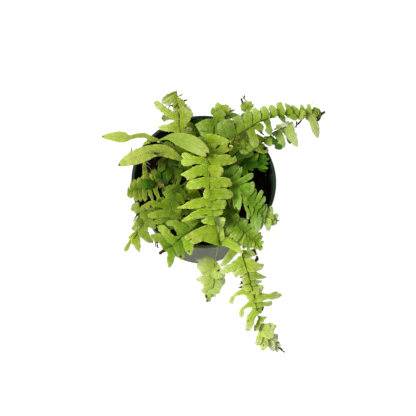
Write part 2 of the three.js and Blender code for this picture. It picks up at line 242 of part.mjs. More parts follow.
    leaflets: [
      [[-21.7, -28.5, 152.6], [-27.3, -29.3, 151.9], [-32.1, -29.9, 149.6], [0.08, -0.41, 0.91], 6.9, 'pointed'],
      [[-24.4, -33.7, 153], [-29.8, -37.4, 152.4], [-34.8, -39.8, 150], [0.01, -0.31, 0.95], 7.3, 'pointed'],
      [[-26.4, -39.4, 152.3], [-32.6, -42.4, 151.4], [-38.7, -43.7, 148.3], [-0.03, -0.34, 0.94], 7.2, 'pointed'],
      [[-27.9, -46.1, 150.4], [-42.7, -46.6, 153.7], [-55.9, -52.5, 153.7], [-0.06, -0.26, 0.96], 4.8, 'blunt'],
      [[-28.7, -51.4, 148], [-39.8, -54.2, 147.1], [-50.3, -55.6, 143], [-0.09, -0.28, 0.95], 6.4, 'blunt'],
      [[-29.5, -55.7, 145.6], [-36.7, -59.3, 144.8], [-43.7, -60.9, 141.6], [-0.04, -0.19, 0.98], 6.1, 'blunt'],
      [[-30.8, -60.8, 142.1], [-35.4, -63.4, 141.4], [-39.7, -65.1, 139.1], [0.19, -0.3, 0.93], 5.1, 'pointed'],
      [[-18.3, -22.5, 151.5], [-15.2, -28.1, 150.5], [-12.9, -31.5, 147.5], [0.02, -0.35, 0.94], 7.5, 'pointed'],
      [[-23.3, -31.4, 152.9], [-17.9, -35, 151.9], [-14.2, -37.5, 148.9], [0.04, -0.24, 0.97], 7.2, 'pointed'],
      [[-26.1, -38.3, 152.5], [-20.4, -39.7, 151.4], [-18.6, -41.6, 148.5], [-0.05, -0.29, 0.95], 8.6, 'blunt'],
      [[-27.7, -45.1, 150.7], [-21.8, -47.9, 151], [-17.7, -50.5, 149.5], [0.15, -0.35, 0.93], 7.5, 'pointed'],
      [[-28.6, -50.5, 148.4], [-22.4, -53.3, 147.5], [-17.5, -54.7, 144.4], [-0.12, -0.23, 0.97], 7.0, 'pointed'],
      [[-29.6, -56, 145.4], [-23.5, -58.3, 145.1], [-18.8, -59.4, 142.9], [-0.1, -0.24, 0.97], 6.2, 'pointed'],
      [[-30.9, -61.1, 141.8], [-27.2, -63.4, 140.6], [-23.8, -63.7, 137.8], [-0.09, -0.36, 0.93], 5.8, 'pointed'],
      [[-20.8, -26.9, 152.4], [-30.3, -27.1, 149.7], [-36.5, -25.1, 144.2], [-0.07, -0.29, 0.95], 5.5, 'blunt'],
      [[-23, -30.8, 152.8], [-32.3, -33.4, 152], [-38, -33.6, 148.8], [-0.02, -0.27, 0.96], 5.9, 'blunt'],
    ] },
  { name: 'left_upper_frond', colour: 'olive', radius: 0.65, steps: 7,
    rod: [[-10.3, 1.9, 103.2], [-10.3, 1.2, 108.8], [-8.2, -2.7, 128.8], [-8.8, -3.2, 132.7], [-10.4, -3.3, 135.8], [-13.5, -2.7, 138], [-20.1, -1.2, 141], [-26.8, 0.8, 142.4], [-36.9, 3.3, 141.8], [-45.8, 4.7, 139]],
    leaflets: [
      [[-27.9, 1.1, 142.4], [-33.9, 3.2, 143], [-36.3, 7.5, 142.4], [0.1, -0.46, 0.88], 11.0, 'blunt'],
      [[-37.4, 3.4, 141.7], [-43.3, 2.5, 143.8], [-45, 4.3, 145.4], [-0.12, -0.17, 0.98], 9.8, 'pointed'],
      [[-33.6, 2.6, 142.3], [-34.5, -10.6, 143.8], [-34.9, -16.9, 143.4], [0.09, -0.33, 0.94], 5.4, 'pointed'],
      [[-28.5, 1.3, 142.5], [-29.3, -10.1, 139.8], [-29.8, -15.9, 134], [0.07, -0.18, 0.98], 5.8, 'pointed'],
      [[-24.5, 0, 142.1], [-24.7, -15.1, 142.3], [-25.5, -25.5, 139.4], [-0.11, -0.47, 0.88], 3.3, 'blunt'],
      [[-20.3, -1.2, 141], [-30.1, 16.8, 138], [-45.1, 32, 130.9], [0.13, -0.28, 0.95], 7.0, 'blunt'],
      [[-16.1, -2.1, 139.2], [-19.8, 10.1, 148.3], [-30, 17.3, 156.4], [-0.09, -0.32, 0.94], 6.8, 'blunt'],
      [[-18.6, -1.6, 140.3], [-21.4, 4.7, 142], [-24.9, 10, 142.7], [-0.25, -0.31, 0.92], 7.0, 'pointed'],
      [[-20.5, -1.1, 141.1], [-22.1, -6.5, 140.3], [-23.7, -7.8, 138.1], [0.14, -0.43, 0.89], 7.5, 'pointed'],
      [[-42.7, 4.3, 140.2], [-43.8, -2.8, 139.9], [-45, -5.6, 138.2], [-0.06, -0.37, 0.93], 5.7, 'blunt'],
      [[-22.1, -0.7, 141.6], [-28.7, 6.7, 142.6], [-33.9, 11, 142.2], [0.13, -0.39, 0.91], 4.0, 'blunt'],
    ] },
  { name: 'left_front_leaflets', colour: 'olive', radius: 0.50, steps: 6,
    rod: [[-5.3, -9, 103.2], [-5.6, -10.5, 108.9], [-5.8, -13.2, 113.7], [-6.3, -16.8, 117.7], [-8.2, -25.4, 123.8], [-12.7, -33.1, 128.2], [-16.2, -35.9, 130], [-26.2, -40.8, 133.9], [-32.3, -42.5, 134.5], [-40.2, -43.1, 134]],
    leaflets: [
      [[-20.9, -38.4, 132.1], [-24.1, -32.5, 134.4], [-26, -27.8, 135.9], [-0.14, -0.31, 0.94], 8.4, 'blunt'],
      [[-28.4, -41.5, 134.2], [-31.2, -36.1, 138.7], [-33.2, -31.9, 142.6], [0.06, -0.31, 0.95], 7.8, 'blunt'],
      [[-36.2, -42.9, 134.3], [-38.8, -37.4, 136.7], [-40.5, -34.1, 138.7], [0.06, -0.24, 0.97], 8.1, 'blunt'],
      [[-22.8, -39.4, 132.9], [-20.2, -46.1, 132.3], [-18, -51, 129.9], [0.24, -0.3, 0.92], 7.5, 'pointed'],
      [[-30.4, -42, 134.4], [-28.9, -48.8, 133.8], [-28.2, -53.6, 131.4], [0.06, -0.35, 0.94], 8.2, 'pointed'],
      [[-37.2, -42.9, 134.2], [-37.1, -49, 131.8], [-37, -52.9, 127], [0.06, -0.34, 0.94], 7.7, 'pointed'],
      [[-39.8, -43, 134], [-44.8, -41.2, 133.8], [-49.4, -39.6, 132], [0.07, -0.25, 0.97], 4.9, 'pointed'],
      [[-37.7, -42.9, 134.2], [-39.8, -37, 137.6], [-41.3, -36.2, 141], [0, -0.36, 0.93], 7.5, 'blunt'],
      [[-22.7, -39.4, 132.8], [-16.1, -45, 134.6], [-13.2, -48.6, 135.1], [-0, -0.25, 0.97], 5.7, 'blunt'],
    ] },
  { name: 'right_frond', colour: 'mid', radius: 0.75, steps: 12,
    rod: [[3.3, -4, 103.2], [3.4, -4.9, 110.7], [1.9, -8.5, 131.6], [2.1, -9.8, 137.5], [3.3, -10.9, 142.7], [5.8, -11.8, 146.9], [10.2, -12.5, 150], [18.9, -13.2, 154.2], [22.3, -14.3, 155.6], [30.7, -21.2, 157.9], [37.6, -29, 157.8], [43.7, -35.9, 155.7], [49.7, -41.5, 152.1], [54.3, -44.5, 149], [59.4, -45.6, 146], [65.9, -45.8, 142], [77.1, -45, 134]],
    leaflets: [
      [[21.5, -14, 155.3], [26.6, -5.9, 156.6], [32.2, 0.1, 156.3], [-0.17, -0.36, 0.92], 7.0, 'blunt'],
      [[27.6, -18.9, 157.2], [32.9, -10.8, 158.6], [36.2, -1.1, 158.2], [-0.11, -0.42, 0.9], 5.1, 'pointed'],
      [[30.8, -21.4, 157.9], [39.7, -15.1, 159.4], [47.7, -8, 158.9], [-0.03, -0.31, 0.95], 5.5, 'blunt'],
      [[35.5, -26.6, 158], [42.8, -22.7, 159.2], [48, -18.2, 159], [-0.09, -0.37, 0.92], 6.2, 'blunt'],
      [[39.3, -30.9, 157.4], [44.9, -28.4, 159.3], [48.6, -24.1, 160.2], [-0.08, -0.34, 0.94], 5.0, 'pointed'],
      [[43, -35.2, 155.9], [49, -29.7, 156.7], [51.1, -22.2, 155.9], [-0.17, -0.27, 0.95], 5.0, 'blunt'],
      [[46.7, -38.9, 154], [53.4, -32.1, 155], [57.5, -23.1, 154], [-0.07, -0.31, 0.95], 4.0, 'blunt'],
      [[50.5, -42.1, 151.5], [56.5, -35.7, 152.4], [61, -28.6, 151.5], [-0.22, -0.23, 0.95], 4.5, 'blunt'],
      [[54.6, -44.5, 148.8], [58.2, -39.2, 149.4], [61, -34.4, 148.8], [-0.05, -0.26, 0.96], 4.4, 'blunt'],
      [[59.1, -45.6, 146.2], [61.5, -39.6, 146.8], [63.8, -34.7, 146.2], [-0.1, -0.2, 0.97], 4.7, 'blunt'],
      [[66, -45.8, 141.9], [67.7, -39.5, 142.5], [69.3, -34.2, 141.9], [-0.07, -0.38, 0.92], 8.3, 'blunt'],
      [[72, -45.3, 137.8], [73.8, -42.1, 138.2], [76, -40.1, 137.8], [0.01, -0.17, 0.98], 3.3, 'blunt'],
      [[28.2, -19.3, 157.4], [30.8, -32.5, 157.4], [32.3, -44, 154.4], [-0.19, -0.23, 0.95], 5.3, 'pointed'],
      [[32.6, -23.2, 158], [35.6, -35, 157.6], [36, -45, 154], [-0.32, -0.31, 0.9], 5.5, 'blunt'],
      [[36, -27.1, 158], [38, -33, 156.4], [38.7, -37.5, 152.6], [-0.15, -0.32, 0.94], 5.0, 'pointed'],
      [[39.5, -31.1, 157.4], [40.8, -34, 157.3], [40.5, -35.9, 156.2], [-0.08, -0.24, 0.97], 4.4, 'pointed'],
      [[42.6, -34.7, 156.2], [44.2, -44.2, 155.1], [46, -52.3, 151.2], [0.1, -0.31, 0.95], 3.6, 'blunt'],
      [[46.6, -38.8, 154.1], [48.1, -44.4, 153], [47.9, -49, 150.1], [-0.17, -0.33, 0.93], 4.5, 'pointed'],
      [[50.5, -42.1, 151.5], [51.2, -50.4, 148.3], [52, -57.5, 141.9], [-0.03, -0.25, 0.97], 6.2, 'blunt'],
      [[54.9, -44.6, 148.7], [55.9, -53.2, 147.5], [57, -60.4, 143.7], [-0.14, -0.26, 0.95], 6.0, 'blunt'],
      [[58.4, -45.5, 146.6], [59.9, -52, 145.2], [59.8, -57.5, 141.6], [-0.03, -0.17, 0.99], 4.2, 'pointed'],
      [[64.5, -45.9, 143], [66.2, -52.5, 141.6], [66.9, -57, 138], [-0.13, -0.26, 0.96], 6.0, 'blunt'],
      [[71, -45.4, 138.6], [71.5, -49, 137.7], [71.5, -50.7, 135.6], [-0.26, -0.21, 0.94], 4.5, 'pointed'],
    ] },
  { name: 'right_low_frond', colour: 'mid', radius: 0.65, steps: 9,
    rod: [[8.8, -5.8, 103.2], [9, -8, 113.3], [9.4, -12, 121.8], [9.9, -14.5, 125.2], [12.1, -20.5, 130.4], [21.1, -35.3, 136.2], [27.4, -44.5, 138.2], [34.8, -52.8, 138.1], [46.6, -62, 134.4], [57.2, -69.1, 128.5]],
    leaflets: [
      [[28.8, -46.3, 138.4], [29.9, -57, 138.4], [27.3, -64.7, 135.8], [-0, -0.42, 0.91], 8.4, 'blunt'],
      [[32.8, -50.8, 138.4], [35.4, -47.4, 140.5], [36.6, -44.3, 142.2], [-0.12, -0.42, 0.9], 5.2, 'pointed'],
      [[36, -53.8, 137.9], [40, -50.1, 137.5], [43.8, -46.6, 136.1], [-0.08, -0.17, 0.98], 4.4, 'blunt'],
      [[39, -56.4, 137.2], [43.2, -52.5, 138.1], [46.7, -49.1, 138.2], [-0.1, -0.24, 0.97], 4.9, 'blunt'],
      [[42.4, -59, 136.1], [46.9, -55.2, 137], [51, -52.5, 137.1], [-0.29, -0.24, 0.93], 4.6, 'blunt'],
      [[46.1, -61.6, 134.7], [50.8, -57.4, 135.2], [55.3, -54.3, 134.7], [0, -0.07, 1], 4.5, 'blunt'],
      [[49.7, -64.2, 133], [54.4, -60.4, 133.6], [58.6, -57.2, 133], [-0.04, -0.2, 0.98], 4.6, 'blunt'],
      [[52.7, -66.2, 131.4], [57.3, -62, 131.7], [61.3, -57.3, 130.4], [-0.11, -0.22, 0.97], 3.6, 'blunt'],
      [[55.4, -68, 129.7], [59.4, -64.1, 129.8], [63.1, -60.1, 128.7], [0.11, -0.25, 0.96], 3.4, 'blunt'],
      [[57.2, -69.1, 128.5], [61.4, -67.4, 128.5], [64, -64.8, 127.5], [-0.06, -0.1, 0.99], 3.2, 'blunt'],
      [[34.9, -52.8, 138.1], [32.1, -59, 135.4], [27.9, -60.6, 130.4], [0.1, -0.35, 0.93], 4.8, 'blunt'],
      [[37.8, -55.4, 137.5], [34.1, -63.2, 135.4], [29.1, -67, 130.6], [-0.06, -0.16, 0.98], 4.8, 'pointed'],
      [[40.8, -57.8, 136.6], [37.6, -66.8, 137.7], [33.6, -72.8, 136.9], [-0.18, -0.32, 0.93], 4.9, 'blunt'],
      [[44, -60.2, 135.5], [41.9, -68.4, 134.6], [40.1, -74.1, 131.5], [-0.11, -0.34, 0.93], 5.0, 'blunt'],
      [[47.3, -62.5, 134.2], [45.8, -70, 133.2], [45, -75.5, 130.2], [-0.02, -0.21, 0.98], 4.7, 'blunt'],
      [[50.2, -64.5, 132.8], [49.7, -70.9, 131.8], [49.5, -75.4, 128.8], [0.03, -0.24, 0.97], 4.3, 'blunt'],
      [[53.2, -66.6, 131.1], [53.2, -70.8, 130.3], [52.8, -73.5, 128.1], [-0.15, -0.3, 0.94], 3.5, 'pointed'],
      [[55.7, -68.1, 129.5], [56.5, -72.3, 128.7], [56.4, -75.1, 126.5], [-0.14, -0.16, 0.98], 3.3, 'pointed'],
      [[57.2, -69.1, 128.5], [61.5, -71.6, 125.8], [62.3, -73.4, 121.2], [-0.17, -0.23, 0.96], 3.3, 'pointed'],
    ] },
  { name: 'right_inner_frond', colour: 'dark', radius: 0.55, steps: 6,
    rod: [[9.8, 3.7, 103.2], [12.1, 5.4, 114.6], [14.4, 6.8, 118.6], [18.1, 8.6, 121], [28.1, 12.9, 124], [36.2, 16.4, 125.3], [48.5, 21.6, 126], [56.9, 25.4, 125]],
    leaflets: [
      [[22, 10.3, 122.2], [21.8, 17.2, 123.3], [21.7, 23.6, 123.2], [0.07, -0.4, 0.91], 6.2, 'pointed'],
      [[27.5, 12.6, 123.8], [27.7, 19.6, 124.9], [28.2, 26.1, 124.8], [0.08, -0.11, 0.99], 6.2, 'pointed'],
      [[32.7, 14.8, 124.8], [33.4, 21.6, 126.5], [34.7, 27.7, 127.2], [-0.03, -0.28, 0.96], 6.2, 'pointed'],
      [[38, 17.1, 125.5], [39.2, 24.2, 125.9], [41, 30.6, 125.2], [-0.06, -0.42, 0.91], 6.1, 'pointed'],
      [[43.3, 19.4, 125.9], [45, 25.6, 126.9], [47.2, 30.8, 126.9], [-0.01, -0.48, 0.88], 6.2, 'pointed'],
      [[48.4, 21.6, 126], [50.8, 26.2, 128.1], [53.3, 29.8, 129.6], [-0.22, -0.31, 0.93], 5.9, 'pointed'],
      [[53.3, 23.7, 125.5], [56.4, 28.1, 126.5], [59.7, 32.1, 126.5], [-0.08, -0.32, 0.94], 5.0, 'pointed'],
      [[56.4, 25.2, 125.1], [59.8, 27.2, 127.1], [62.9, 29.4, 128.7], [-0.12, -0.34, 0.93], 2.7, 'pointed'],
      [[56.8, 25.3, 125], [61.8, 25.4, 125.5], [66.3, 27.6, 125], [-0.1, -0.4, 0.91], 2.9, 'pointed'],
      [[22, 10.3, 122.2], [25.4, 4.9, 121], [26.9, 0.9, 117.9], [-0.02, -0.41, 0.91], 5.9, 'pointed'],
      [[27.4, 12.6, 123.8], [30.6, 6.5, 123.2], [32.1, 2.2, 120.8], [-0.06, -0.33, 0.94], 6.2, 'pointed'],
      [[32.5, 14.8, 124.8], [36.5, 9.6, 123], [38.3, 6.2, 119.1], [-0.11, -0.3, 0.95], 5.9, 'pointed'],
      [[37.8, 17.1, 125.5], [42.3, 8.4, 124.5], [43.4, 2.6, 121.1], [0.04, -0.33, 0.94], 5.5, 'blunt'],
      [[43.2, 19.4, 125.9], [47.6, 15, 125.2], [50, 12.2, 122.9], [0.15, -0.38, 0.91], 6.0, 'pointed'],
      [[48.4, 21.6, 126], [52.7, 18.1, 125.3], [55.5, 16.4, 123], [0.06, -0.29, 0.96], 5.5, 'pointed'],
      [[53.6, 23.9, 125.5], [57.7, 21.8, 122.9], [60.7, 21.5, 118.5], [-0.1, -0.15, 0.98], 4.6, 'pointed'],
      [[55.2, 24.6, 125.2], [60.6, 21.4, 125.4], [66.2, 22.1, 124.2], [-0.02, -0.36, 0.93], 3.3, 'pointed'],
      [[55.1, 24.6, 125.2], [59.2, 15.6, 128.7], [65, 12.8, 131.2], [-0.01, -0.36, 0.93], 3.6, 'pointed'],
      [[54.4, 24.2, 125.3], [58.7, 17.2, 120.1], [65.9, 18.6, 111.4], [-0, -0.45, 0.89], 3.2, 'blunt'],
    ] },
  { name: 'rosette_frond', colour: 'mid', radius: 0.55, steps: 6,
    rod: [[8.2, 6.5, 103.2], [9, 7, 108.3], [11.7, 8.6, 117.3], [15.6, 11.3, 124.4], [17.9, 13.2, 127.2], [23, 18.2, 131], [28.9, 24.8, 133.9], [39.2, 35.5, 136]],
    leaflets: [
      [[38.2, 34.4, 135.8], [38.9, 26.9, 136], [38.5, 24.4, 135.2], [-0.01, -0.45, 0.9], 8.1, 'pointed'],
      [[37.8, 34, 135.8], [39, 45.6, 133.2], [39.6, 57.2, 128.9], [-0.13, -0.5, 0.86], 8.8, 'blunt'],
      [[34.2, 30.4, 135.3], [30, 35.7, 137.1], [27.9, 39, 138.3], [0.07, -0.31, 0.95], 8.0, 'pointed'],
      [[34.6, 30.8, 135.3], [28.7, 41.5, 135], [24.4, 50.3, 132.1], [0.18, -0.43, 0.88], 9.9, 'blunt'],
      [[39.2, 35.5, 136], [49.9, 34.8, 134.2], [57.8, 36.2, 129.8], [-0.13, -0.49, 0.86], 7.6, 'pointed'],
      [[29.3, 25.2, 134.1], [25.4, 29.2, 134.5], [22.9, 31.8, 134.1], [-0.02, -0.5, 0.87], 7.1, 'pointed'],
      [[27.4, 23.2, 133.2], [36.4, 23.4, 133.1], [40.4, 23.9, 131.2], [-0.18, -0.33, 0.93], 6.2, 'pointed'],
      [[32.2, 28.4, 134.9], [42.4, 25.5, 134.6], [49.5, 28, 131.9], [-0.07, -0.39, 0.92], 7.7, 'pointed'],
    ] },
  { name: 'dark_leaflets_left', colour: 'dark', radius: 0.50, steps: 6,
    rod: [[-9.6, -4.4, 103.2], [-10.6, -5.5, 108.3], [-12.4, -7.8, 112.4], [-14.9, -10.8, 115.6], [-21.2, -17, 120.6], [-24.6, -19.4, 122.8], [-28, -20.6, 125.2], [-31.1, -20.1, 128], [-36.5, -17.7, 133.4], [-39.2, -16.1, 135.4], [-43.4, -13.2, 137.1], [-50.8, -15.9, 138]],
    leaflets: [
      [[-38.7, -16.5, 135], [-40.4, -8.3, 136.1], [-42.1, -2.4, 136], [0.01, -0.45, 0.9], 8.5, 'blunt'],
      [[-50.8, -15.9, 138], [-56.8, -19.9, 138.6], [-60.6, -21.9, 138], [0.24, -0.1, 0.96], 8.3, 'blunt'],
      [[-36.9, -17.5, 133.7], [-36.1, -24.4, 133], [-37.4, -26.8, 130.7], [0.12, -0.32, 0.94], 7.4, 'pointed'],
      [[-45.7, -13, 137.7], [-46, -9.6, 139.5], [-46.8, -7.5, 140.8], [0.08, -0.33, 0.94], 3.8, 'blunt'],
    ] },
  { name: 'dark_leaflets_center', colour: 'dark', radius: 0.50, steps: 6,
    rod: [[-2.4, -10.2, 103.2], [-2.1, -11.9, 107.3], [-1.5, -15.3, 110.4], [1.5, -32.5, 117.7], [1.9, -33.1, 122], [1.5, -29.4, 126.2], [-0.7, -24.9, 129.5]],
    leaflets: [
      [[-0.6, -25.1, 129.4], [-10.2, -25.4, 130.2], [-16.1, -26.9, 129.4], [0.02, -0.33, 0.94], 9.6, 'pointed'],
      [[-0.7, -24.9, 129.5], [-16.5, -22.4, 132.6], [-26.9, -20.1, 133], [-0.07, -0.27, 0.96], 9.3, 'blunt'],
      [[0.2, -26.4, 128.6], [-6.6, -35.1, 128.7], [-14.1, -37.1, 126.6], [0.01, -0.3, 0.95], 3.9, 'blunt'],
      [[1.1, -28.1, 127.4], [1.9, -36.1, 126], [0.5, -40.6, 122.6], [0.08, -0.39, 0.92], 5.5, 'blunt'],
    ] },
  { name: 'center_low_frond', colour: 'olive', radius: 0.55, steps: 7,
    rod: [[3.9, -9.8, 103.2], [3.6, -11.5, 111.2], [3.2, -14.6, 117.8], [3.1, -18.9, 122.9], [4, -24.6, 126], [7, -35.5, 129.5], [9.7, -44.1, 130.4], [13.8, -57.3, 130], [17.2, -66.7, 128]],
    leaflets: [
      [[6.3, -33.1, 128.9], [-0.9, -36.7, 130.5], [-7.2, -39.5, 130.7], [0.09, -0.25, 0.96], 8.0, 'blunt'],
      [[10, -45.2, 130.5], [1.3, -45, 130.9], [-6.3, -44.3, 129.5], [0.14, -0.32, 0.94], 8.7, 'pointed'],
      [[13.2, -55.3, 130.2], [3.3, -54.5, 130.7], [-5.4, -53.3, 129.2], [-0.07, -0.14, 0.99], 9.4, 'pointed'],
      [[16.1, -63.9, 128.7], [8.6, -66, 129], [2.5, -67, 127.7], [-0.07, -0.27, 0.96], 8.2, 'blunt'],
      [[6.8, -34.8, 129.3], [14.9, -31.7, 130.1], [21.2, -29.2, 129.3], [0.07, -0.18, 0.98], 9.3, 'blunt'],
      [[10.4, -46.2, 130.5], [19.6, -41.4, 131.5], [26.4, -35.6, 130.5], [0.07, -0.31, 0.95], 9.6, 'blunt'],
      [[13.8, -57.3, 130], [23, -52.5, 130.9], [29.7, -46.6, 130], [0.05, -0.4, 0.92], 9.4, 'blunt'],
      [[16.8, -65.8, 128.2], [25.1, -60.4, 125.2], [31.2, -53.8, 119.7], [-0.05, -0.38, 0.92], 8.4, 'blunt'],
      [[13.3, -55.7, 130.2], [-1.5, -54.9, 124.7], [-10.8, -53.5, 114.8], [0.02, -0.19, 0.98], 9.1, 'blunt'],
      [[9, -42.1, 130.3], [-4.4, -42.3, 130.3], [-13.4, -43.8, 127.3], [-0.02, -0.42, 0.91], 9.0, 'blunt'],
    ] },
  { name: 'back_low_frond', colour: 'olive', radius: 0.55, steps: 7,
    rod: [[-3.2, 10, 103.2], [-1.2, 5.4, 118.5], [-1.3, 5.8, 122.7], [-6.2, 18.5, 129], [-9.9, 29.4, 132], [-13.2, 41.7, 133], [-17.1, 54.2, 131.5]],
    leaflets: [
      [[-6.2, 18.5, 129], [-14.8, 18.4, 129], [-22.1, 19.7, 127], [-0.06, -0.43, 0.9], 9.9, 'pointed'],
      [[-9.9, 29.4, 132], [-18.2, 28.4, 132], [-25.8, 29.3, 130], [-0.03, -0.49, 0.87], 9.4, 'pointed'],
      [[-12.9, 40.5, 133], [-21.3, 40.8, 133], [-28.3, 42.9, 131], [0.02, -0.35, 0.94], 9.1, 'blunt'],
      [[-15.7, 49.6, 132.2], [-21, 53.5, 132], [-26.4, 57.2, 130.2], [0.09, -0.35, 0.93], 7.5, 'pointed'],
      [[-7.2, 21.3, 130], [0.2, 31.1, 124.5], [5.8, 41.1, 115.8], [0.06, -0.31, 0.95], 9.1, 'blunt'],
      [[-10.8, 32.6, 132.5], [-3.1, 39, 133], [2.5, 44.9, 131.5], [-0.12, -0.39, 0.91], 9.2, 'blunt'],
      [[-13.8, 43.6, 132.9], [-6.5, 49.8, 133.4], [-0.8, 56, 131.9], [0.04, -0.43, 0.9], 9.3, 'blunt'],
      [[-16.7, 52.9, 131.7], [-11.7, 58.7, 132], [-9.1, 65, 130.7], [0.05, -0.56, 0.83], 8.1, 'pointed'],
    ] },
  { name: 'right_mid_frond', colour: 'olive', radius: 0.55, steps: 6,
    rod: [[10.1, -2.9, 103.2], [9.6, -4.2, 111.1], [8.8, -6.2, 118], [8.9, -9.2, 123.4], [16.5, -19.3, 130.3], [23.1, -27, 132.7], [29.9, -36.9, 133.5], [33.6, -44.4, 132]],
    leaflets: [
      [[16.7, -19.6, 130.5], [20.9, -14.6, 131], [23.5, -10.4, 130.5], [-0.04, -0.33, 0.94], 8.3, 'pointed'],
      [[23.1, -27.1, 132.7], [29, -21.9, 133.4], [33.7, -17.7, 132.7], [-0.01, -0.33, 0.94], 8.2, 'pointed'],
      [[28.3, -34.3, 133.5], [33.8, -30.1, 134.2], [38.2, -26.8, 133.5], [-0.09, -0.26, 0.96], 7.9, 'pointed'],
      [[31.6, -40.2, 133], [35.8, -37.2, 133.4], [38.8, -35.1, 133], [0.21, -0.37, 0.91], 6.4, 'pointed'],
      [[15.4, -18, 129.7], [13.7, -24.2, 129.2], [11.8, -27.6, 127.3], [-0.11, -0.26, 0.96], 8.1, 'pointed'],
      [[21.1, -24.7, 132.2], [18.9, -34.2, 138.7], [17.1, -41.2, 145.2], [-0.07, -0.33, 0.94], 8.2, 'pointed'],
      [[26.2, -31.1, 133.3], [24.2, -38.8, 134.8], [22.8, -43.9, 135.1], [-0.14, -0.4, 0.91], 7.5, 'pointed'],
      [[30.7, -38.2, 133.3], [28.8, -44.9, 134.1], [27.4, -49.3, 133.8], [-0.17, -0.3, 0.94], 6.8, 'pointed'],
      [[33.1, -43.5, 132.2], [35.6, -47.8, 132.3], [36.5, -52.3, 131.2], [-0.06, -0.43, 0.9], 4.9, 'pointed'],
    ] },
  { name: 'back_small_frond', colour: 'olive', radius: 0.50, steps: 7,
    rod: [[3, 10.1, 103.2], [3.8, 11.1, 111.9], [4.7, 12.4, 116.6], [6, 14.9, 120], [12, 29.3, 125.5], [16.2, 41.6, 128], [18.4, 54, 128], [19.4, 65.2, 126]],
    leaflets: [
      [[12, 29.3, 125.5], [4.2, 31.5, 127.6], [-0.8, 33.5, 128.5], [0.07, -0.31, 0.95], 8.3, 'pointed'],
      [[16.2, 41.6, 128], [8.1, 44.6, 128.3], [2.7, 46.8, 127], [-0.11, -0.34, 0.93], 8.6, 'pointed'],
      [[18.4, 54, 128], [11.1, 57.2, 128.3], [6, 59.4, 127], [-0.11, -0.4, 0.91], 9.1, 'pointed'],
      [[12.8, 31.4, 126.1], [19.9, 34.9, 126.4], [24.8, 37.3, 125.1], [0.01, -0.27, 0.96], 9.7, 'pointed'],
      [[16.8, 44, 128.2], [23.6, 49.3, 128.6], [28.9, 53.1, 127.2], [0.08, -0.43, 0.9], 9.5, 'pointed'],
      [[18.7, 56.7, 127.7], [24.5, 60.8, 127.9], [29.2, 64.6, 126.7], [0.24, -0.34, 0.91], 9.1, 'pointed'],
    ] },
];

// Strap blades: midrib points and full widths from the stalk to the tip.
const STRAPS = {
  twin_strap_frond: [
    [[[-47.1, 16, 165], [-52.3, 14.9, 166.5], [-56.2, 15.8, 167.5], [-60.3, 17.4, 168], [-67, 16.6, 168], [-73.6, 14.6, 167], [-76.7, 14.1, 166.5], [-79.6, 14.5, 166], [-85.8, 15.4, 164], [-93.3, 16.6, 161], [-101.6, 17.9, 157], [-104.3, 18.1, 156]], [1.6, 5.3, 4.8, 4.8, 4.7, 4, 6.3, 10.1, 11.1, 8.2, 4.5, 1.5]],
    [[[-47, 14.9, 165], [-42.7, 16.4, 166.5], [-38.9, 17.2, 168], [-34.4, 17, 170], [-29.3, 15.2, 172], [-22.6, 12.2, 175], [-15.6, 8.7, 178], [-9.5, 4.8, 180], [-4.5, 1.4, 181], [-0, -2.1, 181], [2.6, -4.4, 180]], [1.6, 1.9, 3.9, 7.9, 11.5, 14.5, 15.7, 14.4, 12.6, 9.3, 2.8]],
  ],
  strap_leaf: [
    [[[-20.9, 1.9, 152], [-23.9, 2.3, 154.5], [-28.8, 3, 158], [-35.7, 4.6, 161.5], [-43.4, 5, 164.5], [-50.7, 2.5, 166], [-57, -0.9, 166.5], [-63.8, -4.2, 165.5], [-70.4, -6.9, 163.5], [-76.7, -9, 160.5], [-81.1, -11, 158], [-83.1, -12, 157]], [2, 3.9, 7.3, 10.7, 11.6, 12, 14.4, 14.7, 12.8, 9.2, 5.3, 1.7]],
  ],
};

// ------------------------------------------------------------ solid helpers
function toSolid(geometry) {
  const g = geometry.clone();
  g.deleteAttribute('normal');
  g.deleteAttribute('uv');
  const m = mergeVertices(g, 1e-5);
  const vertProperties = new Float32Array(m.attributes.position.array);
  const triVerts = new Uint32Array(m.index.array);
  let s = new wasm.Manifold(new wasm.Mesh({ numProp: 3, vertProperties, triVerts }));
  if (s.volume() < 0) {
    for (let i = 0; i < triVerts.length; i += 3) {
      const t = triVerts[i]; triVerts[i] = triVerts[i + 1]; triVerts[i + 1] = t;
    }
    s = new wasm.Manifold(new wasm.Mesh({ numProp: 3, vertProperties, triVerts }));
  }
  return s;
}

function toGeometry(solid) {
  const mesh = solid.getMesh();
  const n = mesh.numProp;
  const p = new Float32Array((mesh.vertProperties.length / n) * 3);
  for (let i = 0; i < p.length / 3; i++) {
    p[3 * i] = mesh.vertProperties[n * i];
    p[3 * i + 1] = mesh.vertProperties[n * i + 1];
    p[3 * i + 2] = mesh.vertProperties[n * i + 2];
  }
  const g = new THREE.BufferGeometry();
  g.setAttribute('position', new THREE.BufferAttribute(p, 3));
  g.setIndex(Array.from(mesh.triVerts));
  g.computeVertexNormals();
  return g;
}

function biggest(solid) {
  const parts = solid.decompose();
  let best = parts[0];
  for (const q of parts) if (q.volume() > best.volume()) best = q;
  return best;
}

const V = (a) => new THREE.Vector3(a[0], a[1], a[2]);

// A round stalk: a regular polygon swept along a smooth curve.
function stalk(points, radius, steps) {
  const shape = new THREE.Shape();
  for (let i = 0; i < STALK_SIDES; i++) {
    const a = (2 * Math.PI * i) / STALK_SIDES;
    if (i === 0) shape.moveTo(radius * Math.cos(a), radius * Math.sin(a));
    else shape.lineTo(radius * Math.cos(a), radius * Math.sin(a));
  }
  shape.closePath();
  const path = new THREE.CatmullRomCurve3(points.map(V), false, 'centripetal');
  return toSolid(new THREE.ExtrudeGeometry(shape, {
    steps, extrudePath: path, bevelEnabled: false, curveSegments: 1,
  }));
}

